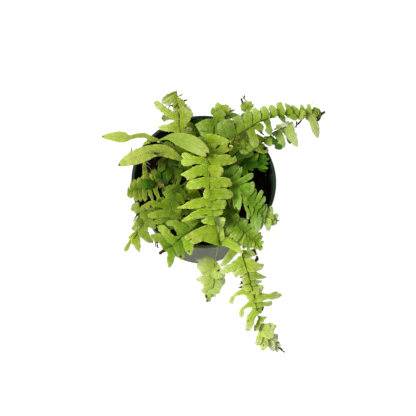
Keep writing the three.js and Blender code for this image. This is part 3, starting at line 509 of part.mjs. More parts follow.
// A flat outline with its midrib along X, given thickness and then laid along
// a curved midrib: every point keeps its place along, across and above it.
function curvedBlade(stations, midrib, faceAt, thickness) {
  const shape = new THREE.Shape();
  stations.forEach(([x, y], i) => (i ? shape.lineTo(x, y / 2) : shape.moveTo(x, y / 2)));
  [...stations].reverse().forEach(([x, y]) => shape.lineTo(x, -y / 2));
  shape.closePath();
  const g = new THREE.ExtrudeGeometry(shape, { depth: thickness, steps: 1, bevelEnabled: false, curveSegments: 1 });
  const pos = g.attributes.position;
  for (let i = 0; i < pos.count; i++) {
    const u = Math.min(1, Math.max(0, pos.getX(i)));
    const centre = midrib.getPoint(u);
    const along = midrib.getTangent(u);
    const across = new THREE.Vector3().crossVectors(along, faceAt(centre)).normalize();
    const face = new THREE.Vector3().crossVectors(across, along).normalize();
    centre.addScaledVector(across, pos.getY(i)).addScaledVector(face, pos.getZ(i) - thickness / 2);
    pos.setXYZ(i, centre.x, centre.y, centre.z);
  }
  return toSolid(g);
}

// The nearest point of a stalk's middle line, kept clear of its cut end.
function seat(f, point) {
  const path = new THREE.CatmullRomCurve3(f.rod.map(V), false, 'centripetal');
  const line = path.getSpacedPoints(f.steps);
  const last = line[line.length - 1];
  last.lerp(line[line.length - 2], 0.12);
  const p = V(point), best = new THREE.Vector3(), q = new THREE.Vector3();
  let d = Infinity;
  for (let i = 0; i + 1 < line.length; i++) {
    new THREE.Line3(line[i], line[i + 1]).closestPointToPoint(p, true, q);
    if (q.distanceTo(p) < d) { d = q.distanceTo(p); best.copy(q); }
  }
  return best.toArray();
}

// One leaflet: a thin lens, sharp at its margin and thickest along its midrib,
// which springs from the middle of the stalk.
function leaflet([base, middle, tip, face, width, kind], grow) {
  const b = V(base), t = V(tip);
  const c = V(middle).multiplyScalar(2).sub(b.clone().add(t).multiplyScalar(0.5));
  const curve = new THREE.QuadraticBezierCurve3(b, c, t);
  const [[s1, w1], [s2, w2]] = OUTLINE[kind];
  const up = V(face);
  const station = (s, w) => {
    const m = curve.getPoint(s), along = curve.getTangent(s);
    const across = new THREE.Vector3().crossVectors(along, up).normalize();
    const out = new THREE.Vector3().crossVectors(across, along).normalize();
    const half = (w * width) / 2 + grow, rise = LEAF_THICKNESS / 2 + grow;
    return [
      m.clone().addScaledVector(across, half), m.clone().addScaledVector(across, -half),
      m.clone().addScaledVector(out, rise), m.clone().addScaledVector(out, -rise),
    ];
  };
  const [L1, R1, T1, B1] = station(s1, w1);
  const [L2, R2, T2, B2] = station(s2, w2);
  const end = t.clone().addScaledVector(curve.getTangent(1), grow);
  const points = [b, L1, R1, T1, B1, L2, R2, T2, B2, end];
  const faces = [
    0, 1, 3, 0, 3, 2, 1, 5, 7, 1, 7, 3, 3, 7, 6, 3, 6, 2, 5, 9, 7, 7, 9, 6,
    0, 4, 1, 0, 2, 4, 1, 8, 5, 1, 4, 8, 4, 6, 8, 4, 2, 6, 5, 8, 9, 8, 6, 9,
  ];
  const g = new THREE.BufferGeometry();
  g.setAttribute('position', new THREE.BufferAttribute(new Float32Array(points.flatMap((p) => p.toArray())), 3));
  g.setIndex(faces);
  return toSolid(g);
}

function strap([points, widths], grow) {
  const curve = new THREE.CatmullRomCurve3(points.map(V), false, 'centripetal');
  const lengths = curve.getLengths(200);
  const total = lengths[lengths.length - 1];
  curve.getPoint = ((old) => (u, target) => old.call(curve, u, target))(THREE.CatmullRomCurve3.prototype.getPoint);
  const stations = widths.map((w, i) => [i / (widths.length - 1), w + 2 * grow]);
  const eye = V([8, -213, 588]);
  return curvedBlade(stations, curve, (p) => eye.clone().sub(p).normalize(), LEAF_THICKNESS + 2 * grow);
}

// ------------------------------------------------------------------ the pot
function lathe(profile, sides) {
  return toSolid(new THREE.LatheGeometry(profile.map(([r, z]) => new THREE.Vector2(r, z)), sides).rotateX(Math.PI / 2));
}

const innerLip = LIP_RADIUS - LIP_WIDTH;
const wallTop = POT_HEIGHT - LIP_DEPTH;
const outerAt = (z) => FOOT_RADIUS + (74.4 - FOOT_RADIUS) * (z / wallTop);
const innerAt = (z) => outerAt(z) - WALL;

const potProfile = [
  [0, 0], [FOOT_RADIUS - 1.6, 0], [FOOT_RADIUS, 1.8],
  [outerAt(wallTop), wallTop], [LIP_RADIUS, wallTop + 1.2],
  [LIP_RADIUS, POT_HEIGHT - 0.8], [LIP_RADIUS - 0.8, POT_HEIGHT], [innerLip + 0.6, POT_HEIGHT],
  [innerLip, POT_HEIGHT - 0.8], [innerAt(wallTop - 1), wallTop - 1],
  [innerAt(FLOOR + 1.5), FLOOR + 1.5], [innerAt(FLOOR) - 1.6, FLOOR], [0, FLOOR],
];
let potSolid = lathe(potProfile, POT_SIDES);
for (let i = 0; i < DRAIN_HOLES; i++) {
  const a = (2 * Math.PI * (i + 0.5)) / DRAIN_HOLES;
  const hole = new THREE.CylinderGeometry(DRAIN_RADIUS, DRAIN_RADIUS, 8, 10).rotateX(Math.PI / 2);
  hole.translate(DRAIN_CIRCLE * Math.cos(a), DRAIN_CIRCLE * Math.sin(a), 0);
  potSolid = potSolid.subtract(toSolid(hole));
}

// ------------------------------------------------------- the soil and crown
const crownProfile = (g) => [
  [0, CROWN_FOOT - g], [CROWN_RADIUS * 0.6, CROWN_FOOT - g], [CROWN_RADIUS * 0.9 + g, CROWN_FOOT + 3],
  [CROWN_RADIUS + g, CROWN_FOOT + 7], [CROWN_RADIUS * 0.92 + g, CROWN_TOP - 3 + g],
  [CROWN_RADIUS * 0.6 + g, CROWN_TOP - 0.6 + g], [0, CROWN_TOP + g],
];
const soilProfile = [
  [0, FLOOR + GAP], [innerAt(FLOOR) - 1.6 - GAP, FLOOR + GAP], [innerAt(FLOOR + 1.5) - GAP, FLOOR + 1.5 + GAP],
  [innerAt(SOIL_TOP - 1.4) - GAP, SOIL_TOP - 1.4], [66, SOIL_TOP], [44, SOIL_TOP + SOIL_DOME * 0.3],
  [22, SOIL_TOP + SOIL_DOME], [0, SOIL_TOP + SOIL_DOME],
];
let soilSolid = lathe(soilProfile, 32).subtract(lathe(crownProfile(GAP), 14));
let crownSolid = lathe(crownProfile(0), 14);

// --------------------------------------------------------------- the fronds
const rods = FRONDS.map((f) => stalk(f.rod, f.radius, f.steps));
const rodRooms = FRONDS.map((f) => stalk(f.rod, f.radius + GAP, f.steps));
const blades = FRONDS.map((f) => [
  ...f.leaflets.map((l) => [seat(f, l[0]), ...l.slice(1)]).map((l) => [leaflet(l, 0), leaflet(l, GAP)]),
  ...(STRAPS[f.name] ?? []).map((s) => [strap(s, 0), strap(s, GAP)]),
]);
const hits = (a, b) => {
  const p = a.boundingBox(), q = b.boundingBox();
  for (let i = 0; i < 3; i++) if (p.max[i] < q.min[i] || q.max[i] < p.min[i]) return false;
  return true;
};

const frondSolids = [];
const rooms = [];                // leaflet room already taken by finished fronds
FRONDS.forEach((f, i) => {
  let whole = rods[i];
  const mine = [];
  blades[i].forEach(([blade, room]) => {
    let b = blade;
    rodRooms.forEach((r, j) => { if (j !== i && hits(b, r)) b = b.subtract(r); });
    rooms.forEach((r) => { if (hits(b, r)) b = b.subtract(r); });
    if (b.isEmpty()) return;
    whole = whole.add(b);
    mine.push(room);
  });
  rooms.push(...mine);
  frondSolids.push(biggest(whole));
});
rodRooms.forEach((r) => {
  if (hits(crownSolid, r)) crownSolid = crownSolid.subtract(r);
  if (hits(soilSolid, r)) soilSolid = soilSolid.subtract(r);
});
crownSolid = biggest(crownSolid);
soilSolid = biggest(soilSolid);

// ----------------------------------------------------------------- the group
const group = new THREE.Group();
function addPart(name, solid, colour, roughness) {
  const material = new THREE.MeshStandardMaterial({ color: colour, roughness, metalness: 0, side: THREE.DoubleSide });
  const mesh = new THREE.Mesh(toGeometry(solid), material);
  mesh.name = name;
  group.add(mesh);
}
addPart('pot', potSolid, COLOUR.pot, 0.55);
addPart('soil', soilSolid, COLOUR.soil, 0.95);
addPart('crown', crownSolid, COLOUR.crown, 0.9);
FRONDS.forEach((f, i) => addPart(f.name, frondSolids[i], COLOUR[f.colour], 0.6));

export default group;
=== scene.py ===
import bpy, math
import numpy as np
from mathutils import Matrix, Vector, noise
from mathutils.geometry import delaunay_2d_cdt


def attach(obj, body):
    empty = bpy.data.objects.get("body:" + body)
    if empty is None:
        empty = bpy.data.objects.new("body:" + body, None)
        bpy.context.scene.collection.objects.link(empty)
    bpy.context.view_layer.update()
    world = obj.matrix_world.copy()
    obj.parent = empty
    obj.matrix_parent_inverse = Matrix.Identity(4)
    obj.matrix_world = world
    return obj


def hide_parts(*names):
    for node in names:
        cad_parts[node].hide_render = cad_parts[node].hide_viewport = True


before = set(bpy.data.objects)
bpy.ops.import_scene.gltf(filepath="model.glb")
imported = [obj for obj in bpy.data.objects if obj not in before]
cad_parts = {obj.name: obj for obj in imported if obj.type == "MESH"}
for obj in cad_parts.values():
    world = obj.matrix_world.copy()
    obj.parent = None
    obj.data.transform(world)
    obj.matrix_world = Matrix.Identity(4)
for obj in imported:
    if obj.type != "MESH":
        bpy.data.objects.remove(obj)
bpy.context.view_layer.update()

# A young boston fern with striped fronds in a plain round nursery pot.
# Tables are in millimetres, Blender objects in metres, in the row frame.

MM = 0.001
FRONDS = [
 {"name":"center_frond","mat":"bright","tone":1,"r0":0.85,"r1":0.36,"nst":8,"rod":[[1.06,5.09,103.2],[0.65,7.59,111.54],[-0.14,12.34,119.15],[-1.14,18.32,126.08],[-2.17,24.52,132.37],[-3.06,29.89,138.07],[-3.64,33.42,143.21],[-3.75,34.08,147.84],[-3.2,30.85,152.0],[-2.68,27.72,154.23],[-2.16,24.65,156.5],[-1.64,21.55,158.74],[-1.11,18.34,160.93],[-0.56,14.93,163.0],[0.02,11.13,165.02],[0.64,7.01,167.03],[1.26,2.83,168.93],[1.84,-1.12,170.62],[2.37,-4.58,172.0],[2.82,-7.45,173.03],[3.23,-9.91,173.78],[3.6,-12.11,174.3],[3.94,-14.19,174.69],[4.25,-16.31,175.0],[4.53,-18.45,175.22],[4.78,-20.52,175.31],[5.0,-22.53,175.29],[5.21,-24.49,175.18],[5.42,-26.43,175.0],[5.62,-28.33,174.76],[5.77,-30.2,174.44],[5.94,-32.02,174.04],[6.16,-33.8,173.56],[6.48,-35.54,173.0],[6.92,-37.23,172.36],[7.46,-38.88,171.64],[8.05,-40.49,170.84],[8.64,-42.06,169.96],[9.18,-43.62,169.0],[9.64,-45.15,167.94],[10.07,-46.64,166.79],[10.49,-48.11,165.57],[10.93,-49.57,164.3],[11.44,-51.01,163.0],[12.03,-52.47,161.7],[12.69,-53.94,160.37],[13.37,-55.38,158.99],[14.05,-56.77,157.54],[14.68,-58.08,156.0],[15.28,-59.29,154.33],[15.86,-60.42,152.54],[16.42,-61.5,150.7],[16.96,-62.58,148.83],[17.47,-63.7,147.0],[17.95,-64.9,145.17],[18.4,-66.15,143.3],[18.83,-67.39,141.46],[19.22,-68.57,139.67],[19.56,-69.62,138.0],[19.86,-70.52,136.47],[20.12,-71.29,135.06],[20.34,-72.0,133.7],[20.51,-72.69,132.37],[20.62,-73.44,131.0],[20.66,-74.22,129.62],[20.62,-75.01,128.25],[20.55,-75.81,126.87],[20.44,-76.64,125.46],[20.33,-77.52,124.0],[20.2,-78.44,122.46],[20.05,-79.4,120.87],[19.88,-80.4,119.25],[19.71,-81.44,117.62],[19.55,-82.53,116.0],[19.4,-83.69,114.4],[19.27,-84.92,112.8],[19.14,-86.18,111.2],[18.99,-87.47,109.6],[18.82,-88.74,108.0],[18.61,-90.01,106.38],[18.37,-91.28,104.75],[18.12,-92.56,103.13],[17.88,-93.85,101.54],[17.68,-95.16,100.0],[17.53,-96.48,98.54],[17.4,-97.79,97.13],[17.3,-99.12,95.75],[17.2,-100.49,94.38],[17.1,-101.93,93.0],[17.01,-103.42,91.62],[16.93,-104.97,90.25],[16.84,-106.56,88.87],[16.74,-108.19,87.46],[16.6,-109.86,86.0],[16.42,-111.59,84.46],[16.2,-113.38,82.87],[15.96,-115.21,81.25],[15.71,-117.04,79.62],[15.48,-118.85,78.0]],"pin":[[[[1.9,-4.6,171.94],[-5.71,-5.81,172.21],[-12.87,-5.86,172.0],[-20.01,-5.71,170.92],[-21.88,-5.39,168.97]],[0.01,-0.331,0.944],[[0.35,2.39],[4.61,2.86],[10.68,2.93],[14.54,3.92],[18.43,5.6],[21.96,6.23],[23.81,5.4],[25.37,3.44],[21.46,0.63],[26.31,-0.91],[27.38,-2.84],[25.84,-4.84],[21.09,-5.92],[15.77,-4.9],[11.06,-3.38],[6.68,-2.97],[0.38,-3.78]],1],[[[3.79,-16.34,174.96],[-2.71,-17.36,175.12],[-8.42,-19.36,174.16],[-13.66,-22.04,172.21],[-17.35,-23.48,169.99]],[-0.086,-0.406,0.91],[[0.84,4.66],[4.45,4.7],[8.29,4.69],[12.62,4.42],[17.0,4.07],[21.1,3.91],[25.96,3.24],[23.54,1.32],[22.18,-1.14],[22.18,-3.4],[19.05,-4.05],[14.36,-4.34],[8.53,-4.32],[3.86,-4.6],[0.15,-5.57]],1],[[[5.6,-28.33,174.76],[-0.21,-29.34,174.86],[-5.66,-30.82,174.21],[-10.82,-32.58,172.88],[-13.95,-34.86,170.76]],[0.011,-0.203,0.979],[[0.23,3.6],[4.13,4.15],[8.36,4.01],[12.83,4.44],[16.27,4.33],[18.28,3.24],[21.64,0.0],[20.03,-2.56],[13.91,-4.08],[9.06,-4.47],[4.8,-3.83],[0.3,-4.7]],1],[[[7.29,-38.05,172.0],[5.02,-38.37,172.23],[3.44,-38.57,172.27],[2.48,-38.45,172.2],[1.75,-38.11,171.99]],[-0.057,-0.247,0.967],[[0.66,3.73],[3.18,4.21],[5.71,0.0],[4.26,-2.84],[3.43,-4.15],[0.08,-3.72]],1],[[[9.12,-44.8,168.21],[0.92,-46.41,168.19],[-6.67,-48.51,166.69],[-14.08,-50.2,164.04],[-21.67,-51.5,160.24]],[0.007,-0.367,0.93],[[0.65,3.66],[6.76,4.22],[11.05,3.9],[15.78,3.85],[20.92,2.79],[26.39,1.2],[33.04,-0.0],[26.98,-1.05],[21.36,-2.82],[15.78,-3.93],[10.96,-4.14],[5.72,-3.75],[0.16,-4.43]],1],[[[11.53,-51.76,162.36],[3.78,-52.22,162.24],[-2.97,-54.97,160.3],[-9.23,-58.29,157.19],[-15.61,-60.98,153.38]],[0.06,-0.401,0.914],[[1.41,3.83],[6.76,3.17],[10.6,3.28],[14.62,2.8],[20.19,2.09],[25.75,1.33],[31.01,0.0],[26.75,-1.49],[22.08,-1.96],[17.37,-2.48],[12.19,-3.12],[6.11,-2.82],[-0.51,-4.26]],1],[[[13.7,-57.85,156.47],[10.44,-58.72,156.41],[7.14,-58.94,156.01],[4.78,-59.61,154.85],[1.94,-59.09,153.56]],[-0.216,-0.429,0.877],[[0.17,3.54],[4.83,3.64],[6.87,3.46],[7.48,1.7],[12.61,-0.0],[10.21,-1.56],[8.39,-2.97],[3.88,-3.66],[-0.06,-4.28]],1],[[[18.32,-66.74,142.48],[10.31,-68.63,143.97],[3.21,-70.24,145.31],[-3.3,-74.13,145.5],[-6.99,-76.72,145.93]],[-0.038,-0.341,0.939],[[1.75,9.3],[6.73,9.04],[12.12,7.85],[15.63,6.45],[19.61,5.87],[25.02,5.49],[31.01,4.36],[29.43,1.16],[23.89,0.1],[27.98,-1.46],[27.24,-4.16],[23.69,-5.63],[19.77,-5.46],[13.68,-6.13],[8.65,-7.78],[3.99,-9.26],[-0.51,-10.17]],1],[[[-1.37,23.38,157.57],[4.39,25.38,158.49],[10.54,25.71,158.33],[16.67,25.63,157.59],[22.06,24.85,156.15]],[0.039,-0.499,0.865],[[0.03,-4.61],[4.65,-5.35],[8.19,-4.87],[12.93,-3.72],[17.8,-2.85],[22.08,-1.65],[24.17,0.0],[20.33,2.27],[12.87,4.02],[5.58,4.99],[0.02,4.12]],1],[[[0.94,10.46,165.48],[7.53,11.22,165.54],[13.98,12.77,164.78],[20.34,15.01,163.15],[25.95,17.35,160.42]],[-0.039,-0.364,0.931],[[-0.34,-3.3],[4.75,-4.61],[11.03,-4.94],[17.3,-3.86],[22.6,-3.1],[26.94,-0.0],[21.76,2.78],[17.07,4.2],[12.04,4.7],[6.38,4.73],[0.73,4.46]],1],[[[2.89,-5.2,172.28],[10.49,-4.32,172.2],[17.9,-2.61,171.31],[25.11,-1.45,169.06],[30.28,1.23,166.25]],[-0.148,-0.419,0.896],[[0.02,-5.73],[5.74,-5.55],[11.85,-4.88],[16.92,-5.0],[20.96,-4.52],[25.17,-2.28],[28.63,-4.0],[29.46,0.0],[27.09,1.66],[23.42,2.59],[17.81,4.39],[10.95,5.08],[5.61,5.55],[0.36,6.31]],1],[[[4.48,-17.91,175.17],[8.63,-17.11,175.37],[12.72,-16.78,175.05],[16.5,-16.61,174.32],[17.94,-16.6,173.17]],[-0.081,-0.255,0.964],[[0.45,-4.71],[4.28,-4.78],[8.47,-4.83],[11.88,-4.17],[14.07,0.0],[14.39,2.68],[10.21,4.82],[5.05,4.67],[-0.15,4.73]],1],[[[5.83,-28.78,174.68],[11.79,-28.21,174.43],[17.53,-26.79,173.8],[23.34,-26.03,172.21],[27.31,-25.87,169.68]],[0.001,-0.249,0.968],[[-0.07,-3.83],[4.65,-4.18],[9.94,-4.39],[14.94,-4.29],[19.49,-3.45],[20.23,-1.17],[22.75,0.0],[21.23,2.8],[14.18,3.84],[8.69,4.15],[4.6,4.51],[0.47,4.37]],1],[[[7.56,-38.87,171.64],[13.44,-38.03,171.36],[19.22,-36.78,170.39],[25.04,-36.03,168.37],[29.39,-34.94,165.63]],[-0.01,-0.287,0.958],[[-0.17,-4.17],[4.01,-4.2],[9.86,-4.52],[15.02,-4.22],[20.68,-3.14],[23.43,0.0],[21.82,2.2],[17.72,3.87],[11.34,4.26],[5.54,4.36],[0.43,4.63]],1],[[[9.69,-46.52,166.91],[13.93,-46.42,166.83],[17.99,-45.73,166.44],[22.09,-45.15,165.48],[23.67,-44.74,163.94]],[-0.108,-0.245,0.964],[[-0.99,-4.22],[4.47,-4.08],[9.18,-3.97],[13.22,-3.48],[14.92,-0.0],[13.38,3.43],[9.14,3.88],[5.2,4.15],[1.33,4.36]],1],[[[12.22,-52.06,162.02],[14.81,-52.13,162.09],[17.4,-51.61,162.06],[19.86,-51.05,161.73],[21.33,-50.75,160.98]],[-0.155,-0.189,0.97],[[-1.17,-2.61],[3.91,-2.79],[7.6,-2.64],[9.47,0.0],[7.58,2.5],[4.11,2.78],[1.25,3.53]],1],[[[19.61,-69.95,137.46],[20.29,-64.65,140.81],[18.66,-60.04,144.67],[18.99,-55.98,149.09],[19.79,-54.29,153.37]],[-0.077,-0.039,0.996],[[3.97,-2.39],[11.44,-3.44],[15.71,-5.11],[18.78,-5.81],[21.38,-3.95],[23.44,-0.29],[24.56,4.13],[17.2,4.97],[9.13,3.7],[5.91,4.12],[1.74,5.41],[-1.27,2.49]],9],[[[20.39,-72.16,133.39],[27.18,-72.27,137.15],[33.32,-75.66,140.06],[38.78,-80.06,143.01],[43.61,-84.45,146.39]],[-0.127,-0.208,0.97],[[0.63,-4.44],[5.67,-4.72],[9.65,-3.7],[13.9,-3.62],[19.08,-3.16],[24.14,-2.07],[30.37,0.0],[27.42,1.7],[22.9,2.69],[16.61,3.55],[7.99,3.9],[0.12,2.72]],1],[[[18.55,-91.11,104.98],[14.35,-90.19,105.13],[8.51,-89.82,104.6],[3.96,-88.72,103.86],[2.73,-89.3,101.99]],[-0.035,-0.124,0.992],[[-0.46,5.7],[2.52,6.99],[4.47,9.37],[8.37,9.61],[14.37,7.07],[15.53,5.45],[15.8,4.64],[15.1,2.24],[18.26,1.62],[20.75,-1.7],[11.78,-6.5],[9.61,-8.77],[3.93,-9.13],[-1.44,-6.93]],7],[[[17.95,-98.88,96.02],[13.92,-102.65,95.25],[10.29,-102.36,95.16],[6.6,-102.07,94.19],[4.01,-102.55,92.04]],[0.054,-0.038,0.998],[[-4.52,3.51],[0.67,5.8],[10.77,5.36],[13.85,3.27],[18.62,1.93],[14.48,-1.97],[8.12,-5.18],[6.6,-7.71],[5.49,-7.73]],7],[[[18.04,-109.75,86.14],[15.45,-111.46,85.68],[12.85,-111.36,85.41],[10.49,-111.22,84.65],[8.95,-111.59,83.18]],[0.006,-0.195,0.981],[[-2.78,3.09],[5.37,4.42],[8.25,2.66],[11.25,1.4],[9.74,-1.42],[6.25,-3.32],[3.77,-4.92],[2.78,-5.01]],7],[[[19.2,-90.69,105.61],[22.14,-94.49,105.36],[25.23,-95.95,105.16],[28.23,-97.12,104.21],[30.55,-97.66,102.65]],[-0.13,-0.244,0.961],[[-4.18,-3.71],[-1.33,-4.44],[2.93,-4.82],[9.71,-3.47],[14.49,0.0],[12.44,3.13],[7.61,5.59],[5.28,7.55]],7],[[[18.62,-100.96,93.98],[22.91,-103.74,93.28],[27.11,-102.96,93.14],[29.86,-102.58,92.01],[30.9,-102.35,90.02]],[0.083,-0.069,0.994],[[-3.95,-6.61],[-0.41,-9.18],[11.07,-9.14],[16.97,-6.19],[18.17,-2.83],[12.13,2.68],[8.66,5.81],[6.38,8.34],[5.37,10.82],[4.32,10.51]],7],[[[17.27,-112.03,84.12],[19.08,-113.3,83.95],[20.39,-114.55,83.32],[21.48,-115.16,82.46],[21.87,-115.71,81.16]],[-0.11,-0.11,0.988],[[-0.99,-4.38],[1.96,-3.84],[5.45,-2.07],[7.14,-0.0],[4.56,3.36],[1.46,4.27]],7],[[[15.84,-117.48,79.23],[16.77,-118.26,79.09],[17.71,-118.85,78.7],[18.53,-119.23,78.24]],[-0.05,-0.134,0.99],[[-0.83,-1.95],[1.4,-1.34],[3.42,0.0],[1.43,1.51],[-0.65,0.53]],7]],"straps":[]},
